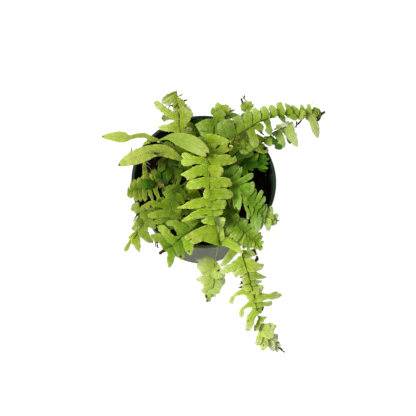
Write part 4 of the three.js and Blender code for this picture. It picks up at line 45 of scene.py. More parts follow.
 {"name":"front_right_frond","mat":"bright","tone":1,"r0":0.81,"r1":0.36,"nst":8,"rod":[[6.63,-8.14,103.2],[6.75,-9.37,109.7],[6.86,-11.42,115.75],[7.04,-14.19,121.22],[7.37,-17.57,125.98],[7.93,-21.47,129.92],[8.78,-25.77,132.9],[10.02,-30.38,134.8],[11.71,-35.19,135.5],[12.94,-38.27,135.53],[14.16,-41.39,135.6],[15.38,-44.49,135.64],[16.64,-47.52,135.63],[17.93,-50.43,135.5],[19.27,-53.26,135.19],[20.62,-56.03,134.72],[22.02,-58.7,134.22],[23.47,-61.23,133.77],[24.98,-63.57,133.5],[26.58,-65.67,133.39],[28.25,-67.57,133.38],[29.98,-69.34,133.46],[31.71,-71.02,133.67],[33.42,-72.68,134.0],[35.19,-74.32,134.55],[37.06,-75.88,135.3],[38.88,-77.39,136.14],[40.52,-78.86,136.91],[41.84,-80.32,137.5],[42.74,-81.74,137.9],[43.33,-83.13,138.2],[43.73,-84.49,138.4],[44.1,-85.86,138.5],[44.57,-87.24,138.5],[45.15,-88.66,138.38],[45.74,-90.1,138.15],[46.33,-91.54,137.83],[46.94,-92.97,137.44],[47.54,-94.38,137.0],[48.16,-95.75,136.52],[48.8,-97.11,135.98],[49.44,-98.45,135.38],[50.06,-99.78,134.72],[50.64,-101.11,134.0],[51.17,-102.42,133.2],[51.65,-103.72,132.33],[52.12,-105.01,131.41],[52.61,-106.29,130.46],[53.14,-107.57,129.5],[53.72,-108.84,128.56],[54.33,-110.1,127.63],[54.96,-111.35,126.67],[55.61,-112.63,125.64],[56.27,-113.94,124.5],[56.93,-115.29,123.26],[57.6,-116.66,121.94],[58.28,-118.06,120.54],[58.98,-119.49,119.06],[59.7,-120.95,117.5],[60.45,-122.45,115.84],[61.22,-123.99,114.07],[62.01,-125.55,112.23],[62.79,-127.13,110.36],[63.56,-128.7,108.5],[64.31,-130.27,106.62],[65.05,-131.84,104.71],[65.78,-133.42,102.79],[66.51,-135.02,100.88],[67.25,-136.62,99.0],[68.03,-138.33,97.09],[68.84,-140.13,95.12],[69.64,-141.9,93.22],[70.38,-143.51,91.47],[71.04,-144.84,90.0],[71.55,-145.8,88.9],[71.93,-146.48,88.09],[72.28,-147.0,87.43],[72.69,-147.49,86.78],[73.25,-148.08,86.0],[73.98,-148.78,85.05],[74.83,-149.51,84.02],[75.76,-150.24,82.98],[76.71,-150.93,81.95],[77.65,-151.54,81.0],[78.59,-152.06,80.12],[79.56,-152.54,79.28],[80.53,-152.96,78.48],[81.49,-153.32,77.72],[82.4,-153.64,77.0],[83.24,-153.85,76.35],[84.02,-153.95,75.78],[84.78,-154.02,75.22],[85.59,-154.16,74.65],[86.48,-154.45,74.0],[87.5,-154.92,73.25],[88.62,-155.51,72.42],[89.77,-156.18,71.58],[90.88,-156.88,70.75],[91.87,-157.55,70.0],[92.71,-158.23,69.32],[93.44,-158.95,68.68],[94.13,-159.67,68.08],[94.82,-160.34,67.52],[95.6,-160.93,67.0],[96.45,-161.41,66.54],[97.36,-161.8,66.13],[98.29,-162.15,65.75],[99.23,-162.48,65.38],[100.15,-162.84,65.0]],"pin":[[[[37.95,-77.17,135.68],[33.48,-83.63,135.42],[30.58,-88.04,134.57],[27.52,-91.91,132.56],[24.28,-94.11,129.82]],[0.018,-0.26,0.965],[[3.9,2.48],[7.76,3.02],[12.19,3.18],[17.69,2.56],[23.35,0.0],[22.39,-1.96],[18.1,-2.48],[12.5,-3.15],[5.91,-2.97],[0.89,-2.64]],2],[[[44.9,-89.11,138.29],[39.62,-93.15,137.95],[34.42,-96.68,136.42],[28.96,-99.44,133.81],[24.02,-100.85,130.34]],[-0.091,-0.061,0.994],[[-1.21,3.85],[2.66,4.02],[6.86,3.84],[14.08,3.48],[20.26,2.95],[26.01,0.0],[22.01,-3.03],[17.21,-3.27],[12.42,-3.82],[6.7,-3.91],[1.38,-3.72]],1],[[[47.95,-95.68,136.55],[46.04,-97.7,136.3],[44.12,-98.93,136.16],[42.25,-100.2,135.79],[40.4,-101.42,135.24],[39.49,-102.78,134.42],[39.53,-104.22,133.37],[39.63,-105.12,132.57]],[-0.096,-0.161,0.982],[[-0.98,2.83],[4.57,3.15],[8.34,3.04],[10.89,3.94],[11.94,1.7],[14.51,0.0],[9.09,-3.23],[5.15,-3.01],[2.01,-3.84]],1],[[[51.42,-102.73,132.98],[49.0,-105.31,133.09],[47.06,-107.11,133.09],[46.13,-109.09,132.62],[44.6,-110.47,131.97]],[-0.087,-0.28,0.956],[[-1.12,2.78],[2.52,3.86],[5.39,3.39],[6.48,1.32],[10.61,-0.0],[8.99,-1.75],[7.2,-3.52],[2.86,-4.71]],1],[[[54.14,-109.99,127.73],[51.88,-111.57,127.85],[49.38,-112.3,127.84],[47.02,-112.76,127.46],[44.87,-112.88,126.74]],[-0.111,-0.052,0.992],[[-1.1,2.74],[3.15,3.31],[6.7,2.21],[10.1,0.0],[7.53,-1.71],[4.29,-3.13],[1.49,-4.28]],1],[[[57.07,-115.91,122.69],[53.06,-117.5,121.9],[49.45,-116.75,121.92],[45.57,-117.25,121.38],[41.98,-118.82,120.34],[39.3,-121.62,118.74],[37.71,-125.02,116.82],[36.85,-126.74,115.71]],[-0.085,-0.096,0.992],[[-0.11,3.68],[7.57,3.84],[11.46,2.6],[15.63,1.74],[20.1,1.53],[24.02,2.15],[26.71,1.08],[26.92,-1.08],[24.64,-1.79],[20.58,-1.52],[16.19,-1.2],[11.71,-1.6],[5.79,-2.01],[3.93,-4.91],[1.13,-5.56]],1],[[[60.9,-123.67,114.46],[57.8,-125.18,114.28],[54.88,-126.56,113.98],[52.16,-128.3,113.38],[49.72,-130.5,112.42],[49.1,-133.4,111.03],[48.81,-136.2,109.5],[48.49,-137.83,108.48]],[0.016,-0.135,0.991],[[-0.31,3.85],[3.35,3.4],[7.07,2.25],[11.39,1.3],[14.49,1.9],[17.66,2.32],[22.13,0.83],[21.62,-0.83],[19.33,-2.21],[16.62,-2.08],[13.81,-1.26],[9.31,-1.49],[5.17,-2.62],[0.66,-4.72]],1],[[[63.74,-129.09,108.03],[60.37,-134.13,107.68],[58.29,-139.24,106.34],[57.29,-144.47,103.99],[56.56,-148.81,101.03]],[-0.245,-0.114,0.963],[[-1.18,2.13],[2.57,3.3],[6.74,3.72],[10.78,4.1],[14.65,3.26],[19.27,2.71],[23.11,1.3],[22.7,-1.3],[18.1,-2.99],[13.65,-4.06],[9.87,-3.44],[5.73,-3.22],[1.76,-3.22]],1],[[[68.25,-138.65,96.73],[67.06,-141.53,96.55],[66.02,-143.93,96.03],[65.06,-146.07,95.07],[64.54,-147.85,93.72]],[-0.299,-0.149,0.943],[[-1.52,1.39],[2.38,1.5],[7.45,2.31],[10.63,-0.0],[7.97,-2.36],[4.67,-1.44],[2.3,-1.98]],1],[[[71.0,-145.71,89.12],[70.99,-149.58,88.85],[70.17,-153.25,87.92],[69.48,-156.82,86.28],[69.65,-159.68,84.17]],[-0.087,0.122,0.989],[[-2.87,0.74],[2.71,1.79],[7.54,2.81],[11.73,2.38],[15.45,2.08],[15.22,-2.08],[11.4,-2.93],[7.08,-2.47],[2.78,-1.3]],14],[[[73.51,-148.93,85.09],[75.14,-152.82,85.01],[75.53,-157.09,84.0],[75.19,-161.24,82.25],[74.92,-164.13,80.19]],[-0.15,-0.073,0.986],[[-2.45,-0.07],[3.33,2.92],[10.85,3.5],[15.41,2.32],[16.74,-0.0],[13.62,-2.84],[9.85,-3.7],[6.02,-2.8],[2.73,-0.72]],14],[[[80.78,-153.22,78.17],[82.76,-155.7,78.07],[84.11,-158.56,77.26],[85.39,-161.32,75.92],[86.91,-163.51,74.22]],[-0.116,-0.101,0.988],[[-2.48,1.19],[1.77,2.96],[7.06,2.84],[10.11,1.72],[12.95,0.0],[9.27,-2.57],[5.16,-3.45],[2.5,-1.7]],9],[[[88.45,-155.14,72.74],[90.16,-156.75,72.64],[90.71,-159.16,71.92],[90.82,-161.57,70.87],[91.12,-163.55,69.66]],[-0.067,-0.183,0.981],[[-1.81,0.48],[3.27,2.6],[7.77,1.59],[9.93,0.0],[6.44,-2.19],[3.34,-2.84],[1.6,-1.72]],9],[[[43.59,-83.33,138.26],[47.44,-83.19,138.18],[51.0,-81.95,138.17],[54.57,-81.44,137.51],[57.69,-81.59,136.24]],[-0.052,-0.298,0.953],[[-1.07,-2.77],[2.46,-3.28],[7.25,-3.3],[10.39,-2.95],[14.7,0.0],[12.11,2.03],[8.4,2.95],[4.13,3.4],[1.7,4.59]],2],[[[46.26,-91.78,137.76],[51.9,-92.95,137.52],[56.77,-92.72,136.75],[61.26,-92.49,134.91],[65.12,-90.22,132.78]],[-0.144,-0.104,0.984],[[-1.66,-2.85],[1.27,-4.13],[4.21,-5.95],[9.48,-4.95],[12.69,-2.64],[18.3,-1.7],[20.57,0.0],[17.7,2.25],[15.27,3.66],[10.72,5.35],[6.28,5.71],[3.84,5.64]],1],[[[50.72,-101.78,133.6],[55.53,-101.8,133.51],[59.91,-101.48,132.93],[64.26,-101.77,131.49],[68.59,-101.56,129.62]],[-0.062,-0.238,0.969],[[-1.24,-3.08],[3.02,-3.34],[7.12,-3.39],[10.18,-2.26],[14.31,-1.28],[18.56,-0.0],[14.72,1.53],[10.29,2.73],[5.81,3.4],[2.08,3.73]],2],[[[53.36,-107.13,129.78],[56.56,-107.47,129.76],[59.32,-106.92,129.55],[62.04,-106.12,128.91],[64.81,-105.29,127.74]],[-0.243,-0.257,0.935],[[-0.64,-1.69],[3.99,-2.24],[8.09,-1.27],[12.07,0.0],[7.6,1.42],[4.55,2.33],[1.55,2.64]],2],[[[55.45,-112.36,125.85],[57.78,-112.85,125.64],[59.69,-112.76,125.52],[61.6,-112.72,125.26],[63.41,-112.31,125.01],[64.59,-112.47,124.41],[65.27,-113.08,123.52],[65.72,-113.48,122.86]],[-0.323,-0.094,0.942],[[-1.52,-2.87],[3.7,-4.26],[7.93,-4.03],[8.98,-4.02],[9.93,-1.4],[13.46,1.46],[5.72,4.29],[2.24,3.91]],1],[[[59.13,-119.37,119.14],[66.17,-118.51,119.17],[73.02,-117.45,118.14],[79.87,-115.27,116.41],[86.24,-114.19,113.12]],[-0.008,-0.212,0.977],[[-0.79,-4.19],[4.03,-4.06],[8.8,-3.19],[14.08,-2.46],[17.46,-2.33],[19.73,-3.25],[23.6,-3.14],[28.77,0.0],[26.18,2.13],[20.82,3.16],[15.39,2.5],[10.64,2.7],[6.59,3.97],[1.35,4.57]],1],[[[61.85,-124.46,113.42],[66.34,-124.44,113.5],[70.32,-124.01,113.02],[74.38,-123.24,111.95],[77.72,-121.94,110.38]],[-0.063,-0.25,0.966],[[-0.34,-1.88],[3.95,-2.26],[9.1,-1.74],[13.77,-2.12],[17.17,-1.58],[16.26,1.57],[13.04,2.11],[9.04,1.89],[5.12,2.26],[1.63,3.29]],1],[[[64.25,-128.62,108.43],[66.44,-128.75,108.32],[68.06,-128.16,108.3],[69.37,-127.79,108.01],[70.24,-127.88,107.36]],[0.052,-0.142,0.989],[[-0.57,-2.42],[3.64,-3.19],[5.31,-2.31],[6.42,0.0],[4.17,2.08],[2.55,3.17],[1.43,3.78]],2],[[[67.57,-136.17,99.42],[69.82,-136.82,99.3],[71.39,-135.86,99.39],[73.18,-134.93,99.09],[75.15,-134.03,98.37]],[-0.095,-0.189,0.977],[[-1.07,-1.54],[4.04,-1.8],[8.55,0.0],[4.85,0.92],[2.53,2.52],[1.69,2.83]],1],[[[71.04,-144.84,90.0],[75.93,-145.91,89.77],[80.51,-145.37,89.5],[83.75,-144.37,88.74],[84.62,-144.19,87.0]],[-0.158,-0.116,0.981],[[-1.95,-3.85],[1.24,-5.61],[7.98,-7.16],[12.7,-6.73],[13.62,-4.73],[15.15,0.0],[10.89,6.38],[8.41,7.34],[5.61,6.34],[3.42,4.47]],14],[[[82.77,-153.12,77.1],[84.92,-152.11,76.98],[86.19,-151.36,76.76],[87.39,-150.41,76.62],[88.77,-149.95,76.29],[89.65,-149.93,75.8],[90.27,-150.08,75.25]],[-0.148,-0.183,0.972],[[0.08,-2.47],[4.32,-3.55],[5.72,-3.96],[6.89,-3.22],[9.33,-0.01],[10.58,2.55],[3.73,3.73],[1.8,2.72]],9]],"straps":[]},
 {"name":"back_right_frond","mat":"bright","tone":1,"r0":0.81,"r1":0.36,"nst":8,"rod":[[4.79,2.03,103.2],[5.05,3.14,111.61],[5.11,4.65,119.72],[5.21,6.58,127.36],[5.61,8.92,134.34],[6.55,11.68,140.47],[8.29,14.87,145.58],[11.09,18.48,149.49],[15.18,22.52,152.0],[16.87,24.01,152.62],[18.59,25.55,153.25],[20.3,27.06,153.87],[21.95,28.48,154.46],[23.5,29.73,155.0],[24.93,30.73,155.47],[26.26,31.54,155.9],[27.54,32.26,156.28],[28.8,33.0,156.65],[30.09,33.88,157.0],[31.42,34.92,157.35],[32.75,36.06,157.68],[34.08,37.24,158.0],[35.38,38.39,158.27],[36.64,39.45,158.5],[37.83,40.39,158.67],[38.99,41.24,158.8],[40.11,42.06,158.88],[41.24,42.9,158.95],[42.37,43.81,159.0],[43.54,44.84,159.04],[44.72,45.95,159.06],[45.9,47.08,159.06],[47.05,48.14,159.04],[48.15,49.08,159.0],[49.18,49.83,158.95],[50.14,50.45,158.88],[51.09,51.02,158.8],[52.07,51.59,158.67],[53.13,52.25,158.5],[54.3,53.0,158.26],[55.55,53.8,157.97],[56.83,54.63,157.65],[58.08,55.47,157.32],[59.27,56.3,157.0],[60.33,57.12,156.72],[61.3,57.94,156.45],[62.26,58.77,156.17],[63.28,59.59,155.86],[64.45,60.38,155.5],[65.81,61.18,155.06],[67.32,61.96,154.57],[68.89,62.73,154.05],[70.46,63.48,153.52],[71.93,64.18,153.0],[73.32,64.85,152.5],[74.67,65.51,152.0],[75.99,66.12,151.5],[77.26,66.68,151.0],[78.5,67.17,150.5],[79.66,67.51,150.01],[80.73,67.71,149.52],[81.78,67.89,149.04],[82.9,68.15,148.53],[84.15,68.62,148.0],[85.56,69.33,147.45],[87.07,70.23,146.88],[88.66,71.23,146.3],[90.31,72.23,145.67],[92.0,73.17,145.0],[93.78,74.04,144.26],[95.65,74.91,143.47],[97.56,75.76,142.65],[99.45,76.56,141.82],[101.27,77.3,141.0],[103.0,78.0,140.2],[104.68,78.69,139.4],[106.33,79.31,138.6],[107.98,79.8,137.8],[109.65,80.09,137.0],[111.34,80.14,136.2],[113.05,79.98,135.4],[114.76,79.69,134.6],[116.47,79.38,133.8],[118.18,79.13,133.0]],"pin":[[[[21.1,28.61,154.51],[16.38,34.81,156.24],[14.45,39.09,157.35],[13.13,43.34,158.58],[12.91,46.0,159.33]],[-0.038,-0.294,0.955],[[5.87,-4.56],[10.05,-4.88],[14.74,-4.75],[17.64,-3.98],[20.08,-1.41],[20.36,1.4],[19.05,3.09],[13.64,4.48],[5.58,4.6],[0.58,3.3]],3],[[[25.33,31.42,155.79],[22.89,35.61,159.09],[20.73,39.09,162.49],[18.64,42.33,166.17],[18.7,42.95,169.2]],[-0.099,-0.43,0.898],[[0.52,-3.63],[6.99,-3.96],[13.72,-4.67],[16.63,-4.86],[18.1,-1.62],[20.97,1.69],[19.91,4.46],[10.49,4.51],[5.32,3.9],[0.69,3.19]],3],[[[30.98,35.1,157.43],[30.52,40.57,158.95],[29.15,45.13,160.22],[27.78,49.25,161.43],[28.39,52.26,162.31]],[-0.036,-0.431,0.902],[[-1.26,-2.98],[5.19,-4.49],[13.05,-4.86],[15.03,-4.33],[16.59,-2.51],[19.14,-0.26],[19.32,2.86],[11.85,4.98],[7.13,4.62],[2.95,3.92]],2],[[[38.2,40.16,158.57],[38.72,45.52,160.08],[37.92,50.73,161.3],[37.89,56.01,162.3],[38.17,60.35,162.69]],[-0.152,-0.399,0.904],[[-2.01,-2.67],[4.2,-3.9],[11.14,-4.47],[15.63,-3.39],[18.96,-1.98],[20.77,0.0],[18.32,2.78],[13.19,4.3],[6.51,4.0],[2.64,3.53]],1],[[[44.92,45.41,158.91],[46.16,50.75,160.32],[45.72,55.41,161.51],[44.67,59.83,162.64],[44.3,62.32,163.06]],[-0.114,-0.469,0.876],[[-2.57,-2.54],[3.55,-3.96],[11.91,-4.77],[15.25,-3.83],[17.81,-1.61],[17.68,1.61],[16.09,3.74],[12.81,4.94],[8.58,4.64],[4.17,3.82]],1],[[[54.16,52.64,158.23],[55.44,55.06,158.84],[55.93,57.49,159.44],[55.39,59.93,160.03],[54.65,62.3,160.59],[53.73,64.57,161.09],[53.17,65.98,161.25],[52.96,66.82,161.31]],[0.064,-0.528,0.847],[[-3.44,-2.0],[1.62,-3.65],[10.47,-4.04],[13.78,-3.17],[15.19,-1.57],[15.54,1.57],[13.17,3.33],[9.88,4.38],[5.97,4.36],[3.43,3.27]],1],[[[62.79,58.96,155.98],[63.87,60.75,156.5],[64.33,62.67,157.08],[64.01,64.55,157.63],[63.45,66.45,158.18],[62.34,67.94,158.56],[62.07,69.23,158.86],[62.06,70.06,159.04]],[-0.127,-0.512,0.85],[[-3.6,-1.69],[2.16,-2.99],[9.71,-2.73],[10.71,-2.46],[12.23,-2.03],[12.49,2.03],[8.16,3.09],[5.19,3.66],[3.02,3.29]],1],[[[71.49,64.03,153.17],[72.22,67.61,153.93],[71.72,71.44,154.65],[70.86,75.17,155.18],[71.39,77.85,155.15]],[-0.106,-0.443,0.891],[[-1.9,-3.29],[4.53,-3.46],[10.62,-3.1],[12.38,-2.72],[14.18,-1.38],[14.39,1.37],[8.56,3.34],[4.46,3.69],[1.61,3.8]],1],[[[80.31,67.62,149.71],[80.86,69.49,150.1],[81.07,71.65,150.58],[80.93,73.75,151.01],[80.32,75.84,151.41],[79.09,77.37,151.58],[77.63,78.77,151.67],[76.63,79.69,151.71]],[-0.063,-0.47,0.881],[[-1.66,-3.4],[5.13,-2.74],[11.17,-1.35],[13.95,0.0],[10.61,1.32],[8.51,2.68],[5.23,3.25],[1.26,4.19]],1],[[[88.18,70.76,146.43],[88.55,72.64,146.8],[88.22,74.43,147.09],[87.78,76.2,147.36],[86.89,77.67,147.48],[85.76,78.98,147.5],[84.74,80.28,147.5],[84.12,81.17,147.49]],[-0.192,-0.456,0.869],[[-1.42,-2.83],[6.68,-2.55],[10.09,-1.23],[11.85,0.0],[8.65,1.41],[6.08,2.81],[2.71,3.52],[1.44,3.61]],1],[[[96.63,75.07,142.97],[96.92,77.58,143.55],[96.47,80.26,143.98],[95.72,82.94,144.19],[94.91,85.33,144.07]],[-0.181,-0.396,0.9],[[-0.9,-2.58],[5.52,-2.25],[9.1,-1.19],[10.67,0.0],[8.26,1.41],[5.57,2.21],[3.12,2.87],[0.62,3.07]],1],[[[104.14,78.25,139.59],[104.22,80.89,140.18],[104.16,83.73,140.61],[104.01,86.62,140.82],[104.16,89.18,140.67]],[-0.169,-0.436,0.884],[[-0.44,-2.9],[6.03,-2.21],[9.75,-1.38],[11.06,-0.0],[7.7,1.83],[4.05,2.62],[0.22,2.92]],14],[[[42.45,42.93,158.75],[43.54,37.09,158.93],[45.44,31.63,158.07],[47.58,26.8,156.28],[49.21,23.7,153.98]],[-0.082,-0.412,0.908],[[0.85,3.33],[6.71,3.4],[12.42,3.77],[17.64,3.74],[21.9,1.65],[21.26,-1.65],[16.99,-3.95],[12.06,-3.79],[6.21,-3.24],[-1.91,-3.88]],2],[[[48.48,47.6,158.61],[50.18,44.69,158.8],[51.75,42.23,158.43],[52.86,40.17,157.5],[53.73,38.57,156.02]],[0.053,-0.337,0.94],[[-0.65,3.05],[2.51,4.0],[6.51,3.11],[11.2,0.0],[9.07,-1.86],[6.94,-3.29],[4.45,-4.05],[1.16,-3.01]],2],[[[58.14,54.05,157.01],[59.4,49.68,157.23],[60.62,45.76,156.63],[61.2,42.54,155.3],[61.51,40.53,153.44]],[-0.115,-0.477,0.871],[[-0.01,2.73],[4.34,2.31],[8.26,2.4],[11.45,3.76],[14.33,1.63],[15.72,-1.63],[11.8,-3.36],[8.49,-2.56],[4.23,-2.3],[-0.13,-2.34]],2],[[[72.86,63.89,152.47],[74.1,61.99,152.64],[75.34,60.26,152.34],[76.47,58.87,151.64],[77.91,58.33,150.73]],[-0.003,-0.413,0.911],[[-1.09,1.5],[2.7,2.12],[5.99,1.69],[8.16,-0.0],[4.89,-2.0],[0.95,-2.06]],3],[[[81.97,67.24,148.66],[84.47,66.67,148.97],[86.67,65.65,148.61],[88.64,64.96,147.89],[90.75,64.91,146.93]],[-0.032,-0.322,0.946],[[-2.57,-0.11],[0.43,1.85],[5.16,2.66],[9.57,0.0],[6.02,-2.8],[2.79,-1.88]],1],[[[93.29,72.09,144.01],[94.47,71.68,144.53],[94.97,70.26,144.41],[95.89,69.46,144.27],[96.62,68.91,143.98],[98.01,68.97,143.08]],[-0.202,-0.325,0.924],[[-5.58,-0.17],[-3.09,3.29],[3.49,3.02],[7.32,-0.01],[9.38,-3.11],[1.69,-5.73]],14],[[[106.13,78.25,138.35],[108.34,70.86,138.94],[111.19,64.15,138.54],[113.31,57.69,136.97],[115.37,52.74,134.72]],[-0.054,-0.356,0.933],[[-1.43,4.61],[4.51,5.2],[9.44,3.65],[15.27,3.8],[20.71,3.55],[24.76,2.45],[27.85,-0.0],[24.92,-2.72],[19.5,-3.77],[13.31,-4.15],[6.3,-4.5],[0.98,-4.07]],9],[[[109.87,80.25,136.98],[110.24,81.1,137.21],[110.27,82.56,137.58],[110.27,83.9,137.8],[110.45,85.24,137.92]],[0.046,-0.332,0.942],[[-0.57,-0.93],[3.32,-1.48],[5.18,0.0],[1.83,1.63],[-0.33,1.95]],3],[[[114.52,79.69,134.69],[115.2,81.58,135.15],[115.52,83.67,135.83],[115.92,85.0,136.35],[116.69,85.56,136.7]],[-0.346,-0.368,0.863],[[1.14,-2.34],[5.04,-2.93],[5.9,-3.11],[6.9,-1.94],[6.73,1.93],[1.84,3.03],[-1.65,2.98]],2]],"straps":[]},
 {"name":"right_shoulder_frond","mat":"mid","tone":3,"r0":0.66,"r1":0.36,"nst":8,"rod":[[10.48,0.63,103.2],[11.68,1.25,109.32],[13.83,2.28,114.57],[16.72,3.7,119.02],[20.16,5.5,122.79],[23.95,7.66,125.97],[27.9,10.17,128.67],[31.82,13.02,130.98],[35.5,16.18,133.0],[37.39,17.98,134.03],[39.31,19.8,135.1],[41.21,21.6,136.14],[43.06,23.36,137.13],[44.81,25.03,138.0],[46.43,26.59,138.74],[47.94,28.06,139.39],[49.4,29.48,139.97],[50.85,30.9,140.5],[52.33,32.39,141.0],[53.91,34.0,141.49],[55.55,35.71,141.94],[57.17,37.41,142.36],[58.67,38.98,142.71],[59.96,40.3,143.0],[61.0,41.29,143.2],[61.84,42.04,143.33],[62.56,42.65,143.41],[63.22,43.25,143.46],[63.88,43.97,143.5],[64.49,44.82,143.55],[65.01,45.71,143.58],[65.52,46.63,143.6],[66.09,47.55,143.57],[66.81,48.43,143.5],[67.67,49.23,143.39],[68.63,49.96,143.24],[69.67,50.7,143.06],[70.81,51.54,142.81],[72.04,52.55,142.5],[73.39,53.79,142.1],[74.88,55.21,141.63],[76.44,56.72,141.11],[78.02,58.23,140.56],[79.59,59.64,140.0],[81.13,60.95,139.43],[82.69,62.21,138.84],[84.26,63.45,138.22],[85.83,64.68,137.61],[87.4,65.93,137.0]],"pin":[[[[71.64,51.77,142.54],[73.23,46.19,142.55],[75.52,41.8,142.01],[77.51,37.74,140.58],[79.06,34.96,138.65]],[-0.118,-0.384,0.916],[[1.45,6.05],[5.44,4.12],[10.34,3.49],[15.45,3.03],[19.27,0.97],[19.27,-0.97],[15.29,-3.29],[10.55,-3.55],[4.73,-4.03],[0.2,-3.13]],15],[[[80.05,59.57,139.79],[83.19,54.75,140.49],[86.54,49.05,139.91],[90.01,44.07,138.67],[93.45,40.14,136.9]],[-0.302,-0.365,0.88],[[-1.88,7.71],[2.43,6.18],[7.89,5.36],[12.56,4.92],[18.16,3.6],[25.0,1.38],[23.34,-1.37],[16.3,-4.4],[9.52,-5.15],[3.96,-6.38],[-0.21,-7.99]],12],[[[74.81,55.25,141.66],[76.15,57.91,142.06],[77.03,60.13,142.43],[77.8,61.1,142.47],[78.54,61.99,142.64]],[-0.134,-0.429,0.893],[[-5.48,-4.82],[-1.66,-4.63],[1.13,-5.57],[3.85,-2.72],[8.57,-0.0],[11.94,2.06],[10.2,4.3],[6.63,4.32]],7],[[[60.96,40.94,143.1],[61.06,39.89,143.21],[62.53,37.44,142.39],[63.76,35.39,141.32],[64.8,34.16,140.16]],[-0.241,-0.425,0.872],[[-2.39,2.48],[0.7,4.21],[5.65,3.12],[8.68,0.0],[6.55,-3.15],[3.4,-4.09],[-2.06,-2.72]],2],[[[80.09,58.66,139.7],[81.88,53.68,137.5],[83.83,50.92,134.15],[86.42,49.19,129.19],[89.09,48.8,122.75]],[-0.266,-0.352,0.897],[[1.95,0.83],[7.3,1.0],[13.42,1.68],[20.01,1.51],[23.41,0.0],[19.33,-1.7],[11.96,-1.4],[5.62,-0.93],[0.61,-0.72]],11],[[[64.22,43.71,143.4],[65.18,41.96,143.3],[66.12,40.51,142.98],[67.04,39.25,142.42],[68.73,38.81,141.86],[70.31,38.55,141.04],[71.53,38.63,140.03],[72.05,38.74,139.2]],[-0.046,-0.494,0.868],[[0.34,0.73],[3.55,1.67],[5.43,3.08],[7.43,2.92],[11.66,0.0],[10.98,-1.74],[8.79,-3.04],[4.22,-2.53],[-0.05,-0.59]],11],[[[63.85,42.91,143.28],[66.61,38.93,142.93],[70.25,36.32,141.95],[73.72,34.53,140.14],[76.81,33.48,137.46]],[-0.17,-0.446,0.879],[[0.07,0.65],[5.52,1.07],[9.37,1.42],[12.41,3.46],[17.29,1.58],[18.74,-1.58],[14.44,-2.92],[11.19,-1.78],[5.94,-0.8],[-0.07,-0.65]],11],[[[52.33,32.39,141.0],[55.16,30.21,140.94],[58.27,28.86,140.42],[61.35,28.66,139.56],[63.7,28.66,138.0]],[-0.14,-0.331,0.933],[[-0.72,3.85],[3.5,4.43],[7.01,3.97],[13.07,0.0],[11.29,-2.63],[6.66,-4.41],[0.81,-3.69]],3],[[[48.56,28.64,139.63],[45.82,31.68,139.83],[43.37,35.23,139.23],[41.28,39.35,137.87],[40.22,43.55,135.54]],[0.119,-0.442,0.889],[[-0.01,-4.2],[6.52,-4.21],[12.44,-2.99],[18.21,0.0],[14.55,3.13],[6.16,4.14],[0.14,4.04]],3],[[[56.13,36.29,142.08],[53.63,38.16,142.8],[51.61,40.2,143.41],[50.2,42.62,143.99],[49.66,44.24,144.09]],[-0.094,-0.436,0.895],[[1.09,-3.93],[5.92,-3.82],[8.98,-2.47],[10.73,0.0],[9.27,2.46],[4.65,3.65],[-0.59,3.51]],3]],"straps":[]},
